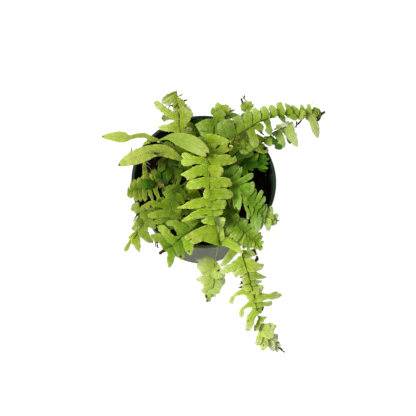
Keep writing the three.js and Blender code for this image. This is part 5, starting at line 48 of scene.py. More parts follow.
 {"name":"back_left_frond","mat":"mid","tone":2,"r0":0.71,"r1":0.36,"nst":8,"rod":[[-3.57,3.78,103.2],[-4.55,4.63,110.78],[-6.09,5.86,117.65],[-8.1,7.5,123.85],[-10.5,9.58,129.41],[-13.21,12.13,134.37],[-16.12,15.18,138.76],[-19.14,18.78,142.63],[-22.2,22.94,146.0],[-23.19,24.38,147.02],[-24.21,25.85,148.05],[-25.21,27.31,149.07],[-26.14,28.71,150.06],[-26.95,30.03,151.0],[-27.62,31.19,151.86],[-28.19,32.23,152.67],[-28.68,33.24,153.45],[-29.11,34.31,154.22],[-29.5,35.54,155.0],[-29.82,36.94,155.82],[-30.06,38.45,156.65],[-30.25,40.05,157.47],[-30.45,41.73,158.26],[-30.68,43.46,159.0],[-30.94,45.34,159.7],[-31.22,47.36,160.37],[-31.5,49.42,160.99],[-31.79,51.38,161.54],[-32.08,53.13,162.0],[-32.37,54.57,162.34],[-32.68,55.8,162.57],[-32.99,56.93,162.73],[-33.28,58.09,162.86],[-33.56,59.39,163.0],[-33.78,60.85,163.15],[-33.97,62.4,163.28],[-34.16,63.99,163.4],[-34.36,65.63,163.47],[-34.62,67.27,163.5],[-34.95,68.94,163.46],[-35.32,70.65,163.37],[-35.72,72.38,163.25],[-36.12,74.11,163.12],[-36.51,75.83,163.0]],"pin":[[[[-31.12,45.81,159.84],[-38.27,48.25,159.99],[-45.14,52.59,159.46],[-51.91,58.19,158.01],[-57.7,63.02,154.85]],[0.016,-0.344,0.939],[[2.13,4.71],[7.14,3.5],[12.85,3.65],[18.9,3.44],[25.73,3.37],[32.25,3.58],[34.61,1.8],[31.05,-1.8],[25.59,-3.05],[20.7,-3.3],[15.95,-3.52],[11.23,-3.59],[7.25,-3.91],[3.27,-3.78],[-2.15,-4.5]],1],[[[-29.86,37.24,155.98],[-34.97,36.84,156.08],[-40.36,36.18,155.07],[-45.97,36.36,153.36],[-51.02,37.44,150.98]],[0.06,-0.376,0.925],[[0.37,4.6],[3.37,5.84],[7.42,4.06],[13.12,3.14],[18.59,2.19],[22.23,0.0],[19.67,-2.13],[15.2,-2.84],[10.21,-3.85],[4.97,-5.0],[-0.76,-4.58]],1],[[[-31.23,46.86,160.2],[-34.06,46.88,158.73],[-36.9,47.7,157.18],[-39.78,48.45,155.21],[-42.71,49.34,152.89],[-45.67,50.4,150.24],[-47.3,50.51,146.83],[-48.41,50.68,144.37]],[0.056,-0.592,0.804],[[-0.25,1.79],[6.32,2.73],[12.78,2.64],[18.25,2.94],[23.94,1.79],[25.21,-1.8],[13.46,-2.61],[6.82,-2.67],[0.89,-3.12]],3],[[[-35.58,72.12,163.27],[-39.98,69.9,163.92],[-43.57,67.46,164.12],[-46.56,64.42,163.72],[-49.5,62.21,163.27]],[-0.111,-0.663,0.74],[[1.05,1.23],[5.84,1.38],[10.33,1.7],[14.86,1.37],[17.32,0.0],[14.88,-1.8],[10.91,-1.33],[5.62,-1.18],[0.13,-1.59]],2],[[[-35.14,69.17,163.44],[-38.88,66.17,164.31],[-42.03,62.76,164.32],[-45.16,59.72,163.76],[-49.21,59.16,163.45]],[0.216,-0.469,0.856],[[-0.19,1.21],[5.55,1.38],[10.53,1.6],[14.75,1.04],[18.95,0.92],[17.17,-0.91],[14.06,-1.59],[10.51,-1.48],[5.51,-1.19],[0.18,-1.21]],1],[[[-34.75,66.56,163.48],[-37.26,63.48,163.96],[-39.61,60.45,163.82],[-42.2,57.98,163.24],[-45.43,56.77,162.49]],[-0.028,-0.33,0.944],[[-0.77,1.12],[4.37,1.3],[8.94,1.08],[12.03,0.55],[15.02,0.0],[11.56,-0.81],[8.55,-1.2],[4.89,-1.18],[0.6,-1.24]],2],[[[-34.24,63.82,163.38],[-35.37,60.96,164.39],[-36.38,58.21,165.13],[-37.36,55.7,165.66],[-38.69,53.95,166.17]],[0.069,-0.431,0.9],[[-1.21,0.93],[3.88,1.27],[8.0,1.24],[11.26,0.0],[9.09,-1.5],[5.08,-1.03],[1.26,-1.21]],1],[[[-33.17,57.66,162.82],[-34.07,55.75,162.75],[-35.21,54.77,162.7],[-36.09,54.01,162.4],[-36.97,53.41,161.82]],[0.142,-0.364,0.921],[[-1.7,1.28],[3.29,1.99],[6.05,0.0],[3.97,-2.33],[2.17,-2.19]],2],[[[-32.32,53.51,162.09],[-33.67,52.93,161.36],[-35.06,52.92,160.42],[-36.08,53.22,159.16],[-37.15,53.74,157.56]],[-0.043,-0.398,0.916],[[-0.73,1.85],[3.29,2.17],[6.98,0.0],[3.27,-2.09],[1.07,-2.54]],2],[[[-30.28,43.49,159.02],[-26.19,46.82,159.71],[-23.4,51.51,160.5],[-20.9,55.29,160.51],[-21.36,58.3,159.79]],[0.158,-0.497,0.853],[[7.38,-8.02],[10.29,-7.41],[12.67,-7.32],[23.14,-4.17],[23.64,-2.08],[18.86,0.3],[15.36,2.55],[14.28,5.89],[8.35,6.76],[4.71,7.32],[1.22,9.62],[-4.03,8.0]],1],[[[-33.12,60.09,163.09],[-30.57,59.81,162.61],[-28.44,60.42,162.07],[-26.8,61.1,161.15],[-26.55,61.77,159.8]],[0.053,-0.458,0.888],[[-1.97,-4.98],[1.62,-5.69],[7.02,-3.0],[8.48,0.0],[7.4,3.18],[3.4,5.38],[2.14,7.1]],1],[[[-27.88,33.38,153.45],[-24.47,34.64,153.25],[-21.56,36.39,152.49],[-18.87,38.69,151.18],[-16.95,41.6,149.34]],[0.181,-0.389,0.903],[[0.44,-3.17],[5.73,-2.54],[10.16,-2.23],[14.86,0.0],[10.36,2.25],[5.09,2.73],[0.35,3.33]],2],[[[-30.92,45.82,159.85],[-31.32,53.17,159.89],[-32.0,57.78,158.34],[-32.88,62.62,156.33],[-33.4,66.99,153.6]],[0.085,-0.574,0.815],[[3.76,-2.45],[12.71,-2.7],[18.46,-2.22],[22.8,0.0],[16.45,2.43],[10.97,2.71],[3.61,3.01]],2],[[[-30.49,41.63,158.22],[-30.96,48.6,158.35],[-31.39,52.23,156.76],[-31.96,55.66,154.67],[-32.59,59.28,152.22]],[0.06,-0.433,0.9],[[4.34,-2.82],[11.76,-2.73],[19.49,0.0],[11.25,2.75],[4.25,3.03]],2]],"straps":[]},
 {"name":"back_center_frond","mat":"mid","tone":2,"r0":0.66,"r1":0.36,"nst":8,"rod":[[-0.11,10.5,103.2],[0.29,11.12,109.02],[0.91,11.73,114.47],[1.67,12.47,119.54],[2.48,13.47,124.23],[3.26,14.85,128.53],[3.93,16.74,132.43],[4.4,19.28,135.92],[4.59,22.59,139.0],[4.6,24.22,140.25],[4.6,25.8,141.54],[4.61,27.41,142.82],[4.63,29.11,143.99],[4.67,30.96,145.0],[4.71,33.04,145.82],[4.77,35.29,146.51],[4.84,37.62,147.09],[4.95,39.94,147.58],[5.13,42.17,148.0],[5.38,44.3,148.34],[5.68,46.41,148.59],[6.03,48.47,148.77],[6.41,50.48,148.9],[6.81,52.41,149.0],[7.24,54.22,149.08],[7.72,55.94,149.12],[8.22,57.62,149.12],[8.72,59.3,149.08],[9.22,61.05,149.0],[9.7,62.89,148.86],[10.19,64.76,148.67],[10.68,66.66,148.45],[11.17,68.56,148.22],[11.66,70.45,148.0]],"pin":[[[[5.85,56.28,149.33],[3.89,61.58,149.93],[3.06,64.14,149.43],[2.55,66.5,148.8],[2.34,68.87,148.12]],[-0.023,-0.383,0.923],[[3.69,-1.15],[5.56,-2.58],[9.5,-2.32],[13.41,-0.0],[7.81,2.51],[3.65,2.71]],2],[[[8.82,63.46,148.94],[9.63,66.41,149.54],[9.86,68.03,149.66],[9.11,69.53,149.75],[8.49,71.02,149.86],[8.05,72.22,149.88],[7.92,73.21,149.84]],[0.026,-0.367,0.93],[[0.45,-2.85],[7.47,-4.45],[9.63,-3.09],[11.68,-0.93],[10.39,0.9],[5.95,3.28],[4.66,4.99],[2.66,3.21]],1],[[[10.01,64.33,148.73],[13.77,66.23,150.24],[16.39,66.71,151.2],[18.96,66.67,151.97],[20.61,66.67,152.76]],[-0.067,-0.529,0.846],[[2.41,-3.21],[5.67,-3.89],[8.62,-2.97],[11.83,-0.0],[10.42,2.23],[6.09,3.73],[0.83,2.88]],1],[[[9.73,59.94,148.95],[15.02,63.04,149.35],[18.53,64.86,148.61],[21.92,67.33,147.45],[25.31,70.18,145.78]],[0.143,-0.301,0.943],[[2.86,-2.15],[10.43,-1.15],[19.28,0.0],[10.7,1.15],[2.1,0.93]],2],[[[7.47,51.93,148.92],[15.3,56.99,149.2],[20.76,60.5,148.41],[26.78,62.26,146.48],[32.22,63.76,143.98]],[0.066,-0.387,0.92],[[4.08,-2.57],[11.27,-2.86],[16.47,-3.27],[22.77,-2.59],[28.63,0.0],[25.26,2.41],[17.96,2.83],[9.69,2.82],[2.18,2.69]],3],[[[7.83,52.56,148.93],[9.33,55.42,151.01],[10.13,58.01,153.11],[10.27,59.83,155.04],[9.85,60.79,156.77]],[-0.023,-0.42,0.907],[[-0.71,-3.39],[3.52,-5.54],[8.86,-4.3],[11.97,-0.0],[9.18,4.96],[5.46,5.52],[1.93,3.42]],2],[[[5.81,47.16,148.66],[0.37,46.92,149.15],[-4.71,46.18,148.82],[-9.29,45.61,147.93],[-13.22,45.7,146.66]],[0.153,-0.349,0.924],[[0.23,4.62],[4.19,6.41],[8.39,5.83],[13.65,4.14],[20.12,1.47],[18.79,-1.47],[14.48,-4.81],[7.18,-6.16],[0.68,-5.76]],2],[[[4.61,40.0,147.59],[0.67,39.76,146.09],[-3.01,40.26,143.96],[-6.4,41.44,141.17],[-9.1,43.07,137.63]],[-0.044,-0.386,0.922],[[-1.14,4.35],[5.1,4.37],[12.26,3.43],[20.19,1.53],[15.39,-1.52],[11.68,-3.63],[7.52,-4.29],[1.88,-4.86]],2],[[[5.66,46.58,148.61],[8.19,45.79,148.45],[9.92,45.78,148.11],[10.7,46.38,147.55],[11.49,47.21,146.61]],[0.055,-0.404,0.913],[[-0.91,-4.73],[3.12,-5.8],[7.08,-0.0],[4.09,5.65],[1.44,5.85]],2],[[[3.65,30.88,144.96],[-0.22,30.89,145.11],[-4.56,31.05,144.61],[-8.87,31.73,143.62],[-12.3,32.48,141.95]],[-0.095,-0.352,0.931],[[-0.44,5.2],[6.51,4.1],[13.02,2.84],[16.62,0.0],[12.05,-3.09],[6.86,-4.14],[-0.53,-4.67]],3]],"straps":[]},
 {"name":"back_curled_frond","mat":"olive","tone":3,"r0":0.57,"r1":0.36,"nst":8,"rod":[[5.91,8.68,103.2],[6.75,9.46,109.35],[8.18,10.65,114.89],[10.06,12.26,119.84],[12.28,14.32,124.21],[14.71,16.82,128.0],[17.23,19.79,131.22],[19.7,23.24,133.89],[22.01,27.17,136.0],[23.23,29.52,137.03],[24.48,31.81,138.1],[25.71,34.14,139.14],[26.91,36.57,140.13],[28.05,39.19,141.0],[29.14,42.09,141.74],[30.2,45.22,142.39],[31.21,48.43,142.97],[32.15,51.62,143.5],[33.01,54.65,144.0],[33.76,57.6,144.48],[34.42,60.56,144.92],[35.02,63.4,145.32],[35.59,66.02,145.68],[36.15,68.29,146.0],[36.8,70.13,146.26],[37.49,71.6,146.47],[38.13,72.85,146.65],[38.6,74.03,146.82],[38.79,75.29,147.0],[38.62,76.7,147.21],[38.18,78.15,147.42],[37.56,79.54,147.64],[36.86,80.78,147.83],[36.18,81.76,148.0],[35.49,82.41,148.13],[34.72,82.79,148.24],[33.92,83.03,148.32],[33.11,83.22,148.41],[32.32,83.49,148.5]],"pin":[[[[37.36,71.77,146.51],[38.31,75.04,147.04],[40.0,77.51,147.36],[41.02,79.07,147.43],[41.4,80.33,147.48]],[-0.083,-0.451,0.889],[[2.01,-2.9],[3.87,-4.52],[6.49,-4.35],[10.18,-1.53],[9.06,1.51],[8.05,4.42],[2.52,4.33],[-0.31,2.34]],2],[[[36.59,70.77,146.4],[35.42,72.42,146.74],[34.46,73.05,146.77],[33.67,73.86,146.96],[32.46,74.26,147.11],[31.44,74.15,147.33]],[-0.031,-0.549,0.835],[[2.12,2.29],[5.08,3.56],[6.7,1.76],[6.7,-1.76],[2.99,-3.3],[-0.65,-1.34]],3],[[[35.25,60.85,144.92],[34.83,62.4,145.77],[34.54,63.69,146.45],[34.18,64.84,147.03],[34.05,65.9,147.51]],[-0.137,-0.36,0.923],[[0.28,-1.86],[4.39,-1.32],[5.81,0.0],[3.64,1.49],[0.36,1.73]],4],[[[30.52,46.79,142.69],[33.03,48.39,142.61],[35.46,49.89,142.04],[37.63,51.41,141.04],[39.84,53.14,139.67]],[0.024,-0.266,0.964],[[-0.49,-3.73],[4.36,-4.49],[11.86,0.0],[5.36,4.24],[0.48,3.73]],3],[[[32.24,51.31,143.43],[27.67,51.65,143.33],[24.98,52.4,142.86],[22.85,53.19,141.87],[20.75,54.24,140.45]],[-0.096,-0.382,0.919],[[2.93,2.73],[8.43,3.37],[12.66,0.0],[6.39,-3.31],[0.78,-3.25]],3]],"straps":[]},
 {"name":"twin_strap_frond","mat":"pale","tone":0,"r0":0.66,"r1":0.36,"nst":8,"rod":[[-5.14,-0.78,103.2],[-6.39,0.32,111.32],[-8.33,2.33,118.43],[-10.87,4.9,124.69],[-13.95,7.7,130.31],[-17.5,10.37,135.46],[-21.46,12.59,140.34],[-25.74,13.99,145.12],[-30.28,14.25,150.0],[-31.82,14.1,151.65],[-33.37,13.94,153.34],[-34.92,13.78,155.02],[-36.43,13.68,156.59],[-37.9,13.66,158.0],[-39.37,13.77,159.24],[-40.86,13.97,160.36],[-42.28,14.22,161.36],[-43.57,14.47,162.24],[-44.67,14.67,163.0],[-45.49,14.81,163.59],[-46.1,14.93,164.02],[-46.58,15.04,164.34],[-47.04,15.14,164.65],[-47.55,15.25,165.0]],"pin":[],"straps":[[[[-47.15,15.96,165.0],[-52.29,14.91,166.5],[-56.22,15.81,167.5],[-60.29,17.41,168.0],[-66.99,16.59,168.0],[-73.62,14.56,167.0],[-76.72,14.07,166.5],[-79.57,14.49,166.0],[-85.84,15.39,164.0],[-93.34,16.61,161.0],[-101.61,17.87,157.0],[-104.32,18.14,156.0]],[1.56,5.33,4.84,4.84,4.65,3.97,6.3,10.09,11.12,8.25,4.46,1.49]],[[[-47.02,14.87,165.0],[-42.72,16.37,166.5],[-38.85,17.16,168.0],[-34.37,16.96,170.0],[-29.27,15.18,172.0],[-22.63,12.15,175.0],[-15.58,8.67,178.0],[-9.54,4.82,180.0],[-4.54,1.43,181.0],[-0.01,-2.08,181.0],[2.57,-4.42,180.0]],[1.56,1.94,3.87,7.91,11.51,14.46,15.66,14.42,12.58,9.3,2.79]]]},
 {"name":"strap_leaf","mat":"pale","tone":0,"r0":0.62,"r1":0.36,"nst":8,"rod":[[-9.2,-2.6,103.2],[-8.6,-2.06,108.54],[-7.61,-1.59,113.55],[-6.48,-1.18,118.26],[-5.47,-0.82,122.69],[-4.83,-0.52,126.86],[-4.81,-0.26,130.79],[-5.68,-0.05,134.49],[-7.67,0.12,138.0],[-9.12,0.21,139.86],[-10.59,0.28,141.79],[-12.04,0.35,143.69],[-13.47,0.46,145.46],[-14.83,0.61,147.0],[-16.11,0.82,148.26],[-17.34,1.07,149.29],[-18.53,1.36,150.19],[-19.71,1.65,151.06],[-20.9,1.93,152.0]],"pin":[],"straps":[[[[-20.9,1.93,152.0],[-23.88,2.34,154.5],[-28.79,3.01,158.0],[-35.71,4.64,161.5],[-43.38,4.98,164.5],[-50.73,2.55,166.0],[-56.99,-0.86,166.5],[-63.84,-4.19,165.5],[-70.42,-6.87,163.5],[-76.74,-9.04,160.5],[-81.14,-10.96,158.0],[-83.07,-11.96,157.0]],[1.98,3.93,7.33,10.69,11.6,12.02,14.37,14.65,12.76,9.16,5.32,1.74]]]},
 {"name":"front_left_frond","mat":"mid","tone":2,"r0":0.71,"r1":0.36,"nst":8,"rod":[[-2.2,-7.4,103.2],[-1.65,-9.25,111.47],[-0.45,-12.55,118.57],[1.08,-17.02,124.6],[2.63,-22.41,129.66],[3.88,-28.47,133.83],[4.54,-34.94,137.21],[4.28,-41.56,139.9],[2.79,-48.07,142.0],[2.02,-50.29,142.64],[1.26,-52.6,143.32],[0.49,-54.87,143.98],[-0.29,-56.97,144.56],[-1.09,-58.79,145.0],[-1.93,-60.28,145.28],[-2.8,-61.52,145.43],[-3.68,-62.57,145.49],[-4.53,-63.53,145.5],[-5.33,-64.45,145.5],[-6.06,-65.33,145.48],[-6.72,-66.11,145.42],[-7.36,-66.82,145.32],[-8.04,-67.49,145.18],[-8.78,-68.15,145.0],[-9.59,-68.76,144.79],[-10.45,-69.31,144.54],[-11.35,-69.84,144.26],[-12.29,-70.43,143.91],[-13.25,-71.11,143.5],[-14.23,-71.9,143.03],[-15.22,-72.77,142.5],[-16.26,-73.7,141.92],[-17.36,-74.67,141.25],[-18.55,-75.69,140.5],[-19.89,-76.78,139.62],[-21.37,-77.97,138.62],[-22.89,-79.18,137.56],[-24.38,-80.34,136.5],[-25.75,-81.37,135.5],[-26.98,-82.28,134.56],[-28.14,-83.1,133.64],[-29.24,-83.85,132.74],[-30.29,-84.52,131.86],[-31.3,-85.11,131.0],[-32.25,-85.59,130.17],[-33.14,-85.97,129.36],[-33.99,-86.28,128.58],[-34.82,-86.58,127.79],[-35.68,-86.91,127.0]],"pin":[[[[-25.75,-81.37,135.5],[-30.04,-77.81,136.27],[-35.06,-75.19,136.57],[-40.69,-73.98,136.22],[-45.56,-73.45,135.5]],[-0.034,-0.144,0.989],[[0.82,-6.22],[6.54,-5.84],[12.1,-4.27],[16.85,-3.97],[21.91,-1.17],[22.19,1.17],[17.31,3.13],[11.32,4.29],[6.27,5.41],[-0.68,8.54]],2],[[[-18.54,-75.77,140.45],[-23.66,-75.25,141.21],[-28.59,-72.19,142.34],[-33.46,-68.39,143.13],[-37.92,-66.77,142.47]],[0.021,-0.27,0.963],[[4.11,-5.4],[10.16,-3.68],[16.5,-3.65],[21.78,-1.58],[22.65,1.58],[19.57,3.6],[16.3,3.59],[11.83,3.63],[2.79,2.42],[-5.14,6.14]],1],[[[-11.45,-70.04,144.15],[-14.56,-68.36,144.72],[-17.13,-66.08,145.54],[-19.88,-64.11,146.27],[-23.11,-62.77,146.8],[-26.6,-62.12,147.09],[-29.87,-62.41,147.05],[-31.71,-62.22,147.19]],[0.067,-0.379,0.923],[[2.21,-6.79],[4.74,-5.6],[10.25,-4.13],[16.08,-2.75],[21.09,-2.09],[22.84,0.0],[17.55,2.76],[11.7,3.92],[5.89,5.73],[-2.0,4.82]],2],[[[-5.33,-64.45,145.5],[-8.52,-60.63,144.65],[-12.0,-57.65,143.2],[-15.66,-55.22,141.26],[-17.63,-52.59,139.1]],[0.128,-0.293,0.948],[[-0.74,-6.75],[8.44,-5.6],[15.17,-3.47],[18.62,0.0],[10.63,4.74],[5.59,6.34],[1.74,7.36]],2],[[[-26.64,-82.22,134.69],[-23.71,-85.76,134.56],[-23.64,-91.12,132.93],[-23.93,-96.22,130.6],[-24.97,-100.62,127.73]],[0.19,-0.176,0.966],[[0.17,4.12],[9.15,3.77],[15.31,3.12],[21.27,-0.0],[17.78,-1.96],[11.2,-3.28],[4.24,-4.53],[-0.51,-10.26]],1],[[[-18.94,-76.63,139.88],[-16.37,-80.55,139.86],[-14.91,-85.44,138.6],[-13.49,-89.98,136.59],[-12.32,-93.73,134.01]],[0.238,-0.249,0.939],[[0.61,5.19],[9.31,4.89],[15.18,3.32],[19.85,-0.0],[17.12,-2.08],[12.44,-3.54],[5.18,-4.9],[-1.86,-8.68]],2],[[[-11.84,-70.94,143.72],[-9.14,-75.3,143.45],[-7.69,-80.34,141.91],[-6.45,-85.05,139.49],[-6.13,-88.68,136.48]],[-0.085,-0.202,0.976],[[0.63,4.76],[11.03,4.72],[17.38,3.15],[20.81,0.0],[17.34,-2.77],[12.42,-4.28],[6.17,-4.74],[-1.02,-8.18]],1]],"straps":[]},
 {"name":"left_low_frond","mat":"bright","tone":2,"r0":0.62,"r1":0.36,"nst":8,"rod":[[-7.8,-7.03,103.2],[-8.79,-8.17,109.59],[-10.59,-10.21,114.92],[-13.03,-13.0,119.31],[-15.97,-16.37,122.9],[-19.25,-20.18,125.84],[-22.71,-24.26,128.24],[-26.2,-28.45,130.25],[-29.57,-32.6,132.0],[-31.63,-35.19,133.06],[-33.72,-37.84,134.17],[-35.8,-40.46,135.25],[-37.83,-42.95,136.22],[-39.77,-45.23,137.0],[-41.64,-47.27,137.57],[-43.48,-49.14,138.0],[-45.25,-50.86,138.28],[-46.89,-52.47,138.45],[-48.36,-54.0,138.5],[-49.65,-55.43,138.41],[-50.8,-56.74,138.16],[-51.81,-57.96,137.82],[-52.71,-59.1,137.41],[-53.52,-60.2,137.0],[-54.19,-61.23,136.58],[-54.71,-62.17,136.12],[-55.15,-63.06,135.62],[-55.57,-63.91,135.08],[-56.05,-64.75,134.5],[-56.59,-65.57,133.86],[-57.14,-66.36,133.15],[-57.69,-67.12,132.41],[-58.25,-67.84,131.68],[-58.82,-68.49,131.0],[-59.4,-69.04,130.38],[-60.0,-69.51,129.81],[-60.6,-69.94,129.25],[-61.18,-70.39,128.66],[-61.74,-70.89,128.0],[-62.26,-71.47,127.26],[-62.76,-72.08,126.47],[-63.24,-72.72,125.65],[-63.72,-73.36,124.82],[-64.2,-74.0,124.0]],"pin":[[[[-42.37,-47.68,137.76],[-45.84,-48.09,137.98],[-48.96,-47.97,137.93],[-52.0,-47.59,137.52],[-54.74,-47.05,136.7]],[0.179,-0.369,0.912],[[3.19,-2.75],[7.4,-3.1],[10.75,-1.68],[12.64,-0.0],[8.25,2.11],[3.02,3.14],[-2.53,1.76]],3],[[[-47.46,-53.45,138.4],[-50.21,-52.74,138.54],[-53.03,-51.83,138.23],[-55.69,-50.74,137.44],[-57.68,-48.74,136.47]],[0.042,-0.235,0.971],[[1.49,-2.63],[6.96,-2.51],[9.38,-1.52],[11.81,0.0],[9.02,1.07],[4.26,2.65],[-1.56,2.45]],2],[[[-48.36,-54.0,138.5],[-52.07,-53.71,139.37],[-55.27,-52.85,140.36],[-58.33,-51.6,141.39],[-60.76,-49.69,142.57],[-63.58,-49.04,143.16],[-65.59,-50.06,143.0],[-66.6,-50.88,142.78]],[0.115,-0.235,0.965],[[2.99,-3.72],[8.31,-3.92],[11.31,-4.58],[21.33,-1.08],[20.0,1.05],[17.73,3.22],[16.83,5.4],[15.58,5.75],[13.54,3.43],[5.66,3.6],[-2.35,2.77]],2],[[[-52.1,-58.79,137.52],[-54.6,-59.5,137.61],[-56.97,-60.03,137.67],[-59.35,-61.2,137.37],[-61.18,-63.11,136.68],[-62.52,-65.38,135.75],[-63.99,-66.74,135.06],[-65.21,-67.54,134.58]],[0.094,-0.231,0.968],[[3.7,-3.81],[12.16,-4.77],[13.47,-2.64],[15.26,-2.98],[16.92,0.0],[13.65,1.21],[10.28,2.14],[7.24,3.98],[4.71,6.54],[0.61,6.03],[-3.05,2.09]],1],[[[-53.52,-60.2,137.0],[-54.71,-60.14,137.52],[-55.92,-59.91,138.15],[-57.0,-60.92,138.37],[-58.08,-61.96,138.62],[-58.72,-63.15,138.88],[-59.36,-64.35,139.18],[-59.78,-65.16,139.41]],[0.142,-0.063,0.988],[[1.0,-2.73],[7.91,-2.46],[9.45,0.0],[3.74,2.63],[2.54,4.33],[-1.16,2.36]],3],[[[-50.43,-56.2,138.28],[-48.29,-60.14,137.77],[-46.04,-62.06,137.29],[-43.97,-63.99,136.06],[-42.79,-65.51,134.26]],[0.091,-0.381,0.92],[[3.41,5.27],[5.44,4.99],[7.95,3.36],[10.92,2.36],[13.73,1.17],[12.78,-1.17],[10.21,-2.68],[7.55,-3.59],[2.53,-4.68],[-1.37,-4.48]],2],[[[-55.14,-63.85,135.15],[-53.41,-67.52,134.58],[-52.34,-70.25,133.87],[-50.55,-72.31,132.92],[-48.61,-74.13,131.55],[-46.5,-75.58,129.82],[-44.37,-76.52,127.79],[-43.0,-76.65,126.34]],[-0.077,-0.336,0.939],[[2.7,4.49],[7.74,4.94],[11.66,3.76],[15.47,2.98],[19.0,1.77],[21.21,0.0],[16.49,-2.24],[11.93,-3.27],[6.42,-4.24],[2.82,-4.7],[-0.67,-4.85]],2],[[[-58.44,-68.08,131.44],[-61.24,-70.68,131.41],[-63.22,-72.87,130.81],[-65.34,-74.35,129.75],[-67.45,-74.59,128.44]],[0.203,-0.286,0.937],[[5.13,-0.59],[8.72,-1.73],[10.48,-2.81],[12.16,0.0],[8.47,1.67],[4.38,1.63],[0.02,1.68],[-3.2,0.87]],1],[[[-60.75,-70.18,128.99],[-60.1,-75.48,128.34],[-58.66,-79.5,127.12],[-57.22,-83.11,125.0],[-56.36,-86.2,122.01]],[0.068,-0.272,0.96],[[4.54,3.98],[7.86,4.06],[12.6,3.14],[15.96,1.84],[18.66,-0.0],[14.0,-2.08],[8.33,-3.43],[2.37,-3.56],[-3.18,-3.06]],1],[[[-63.9,-73.61,124.5],[-65.69,-77.48,123.94],[-67.4,-80.43,122.84],[-68.84,-83.31,120.88],[-71.07,-84.99,118.5]],[0.339,-0.204,0.918],[[2.09,0.8],[5.85,1.18],[9.54,1.83],[14.38,1.39],[16.41,-1.38],[12.85,-1.89],[8.69,-1.41],[4.53,-1.21],[-0.61,-1.01]],14],[[[-43.16,-49.07,137.9],[-41.93,-50.0,137.91],[-40.98,-51.07,137.7],[-40.42,-52.24,137.32],[-40.08,-53.43,136.77],[-39.78,-54.47,136.13],[-39.89,-55.17,135.47]],[-0.031,-0.273,0.961],[[-0.53,3.0],[3.86,3.36],[7.92,2.16],[8.6,-0.01],[6.56,-2.15],[3.26,-3.51],[0.79,-3.67]],2]],"straps":[]},
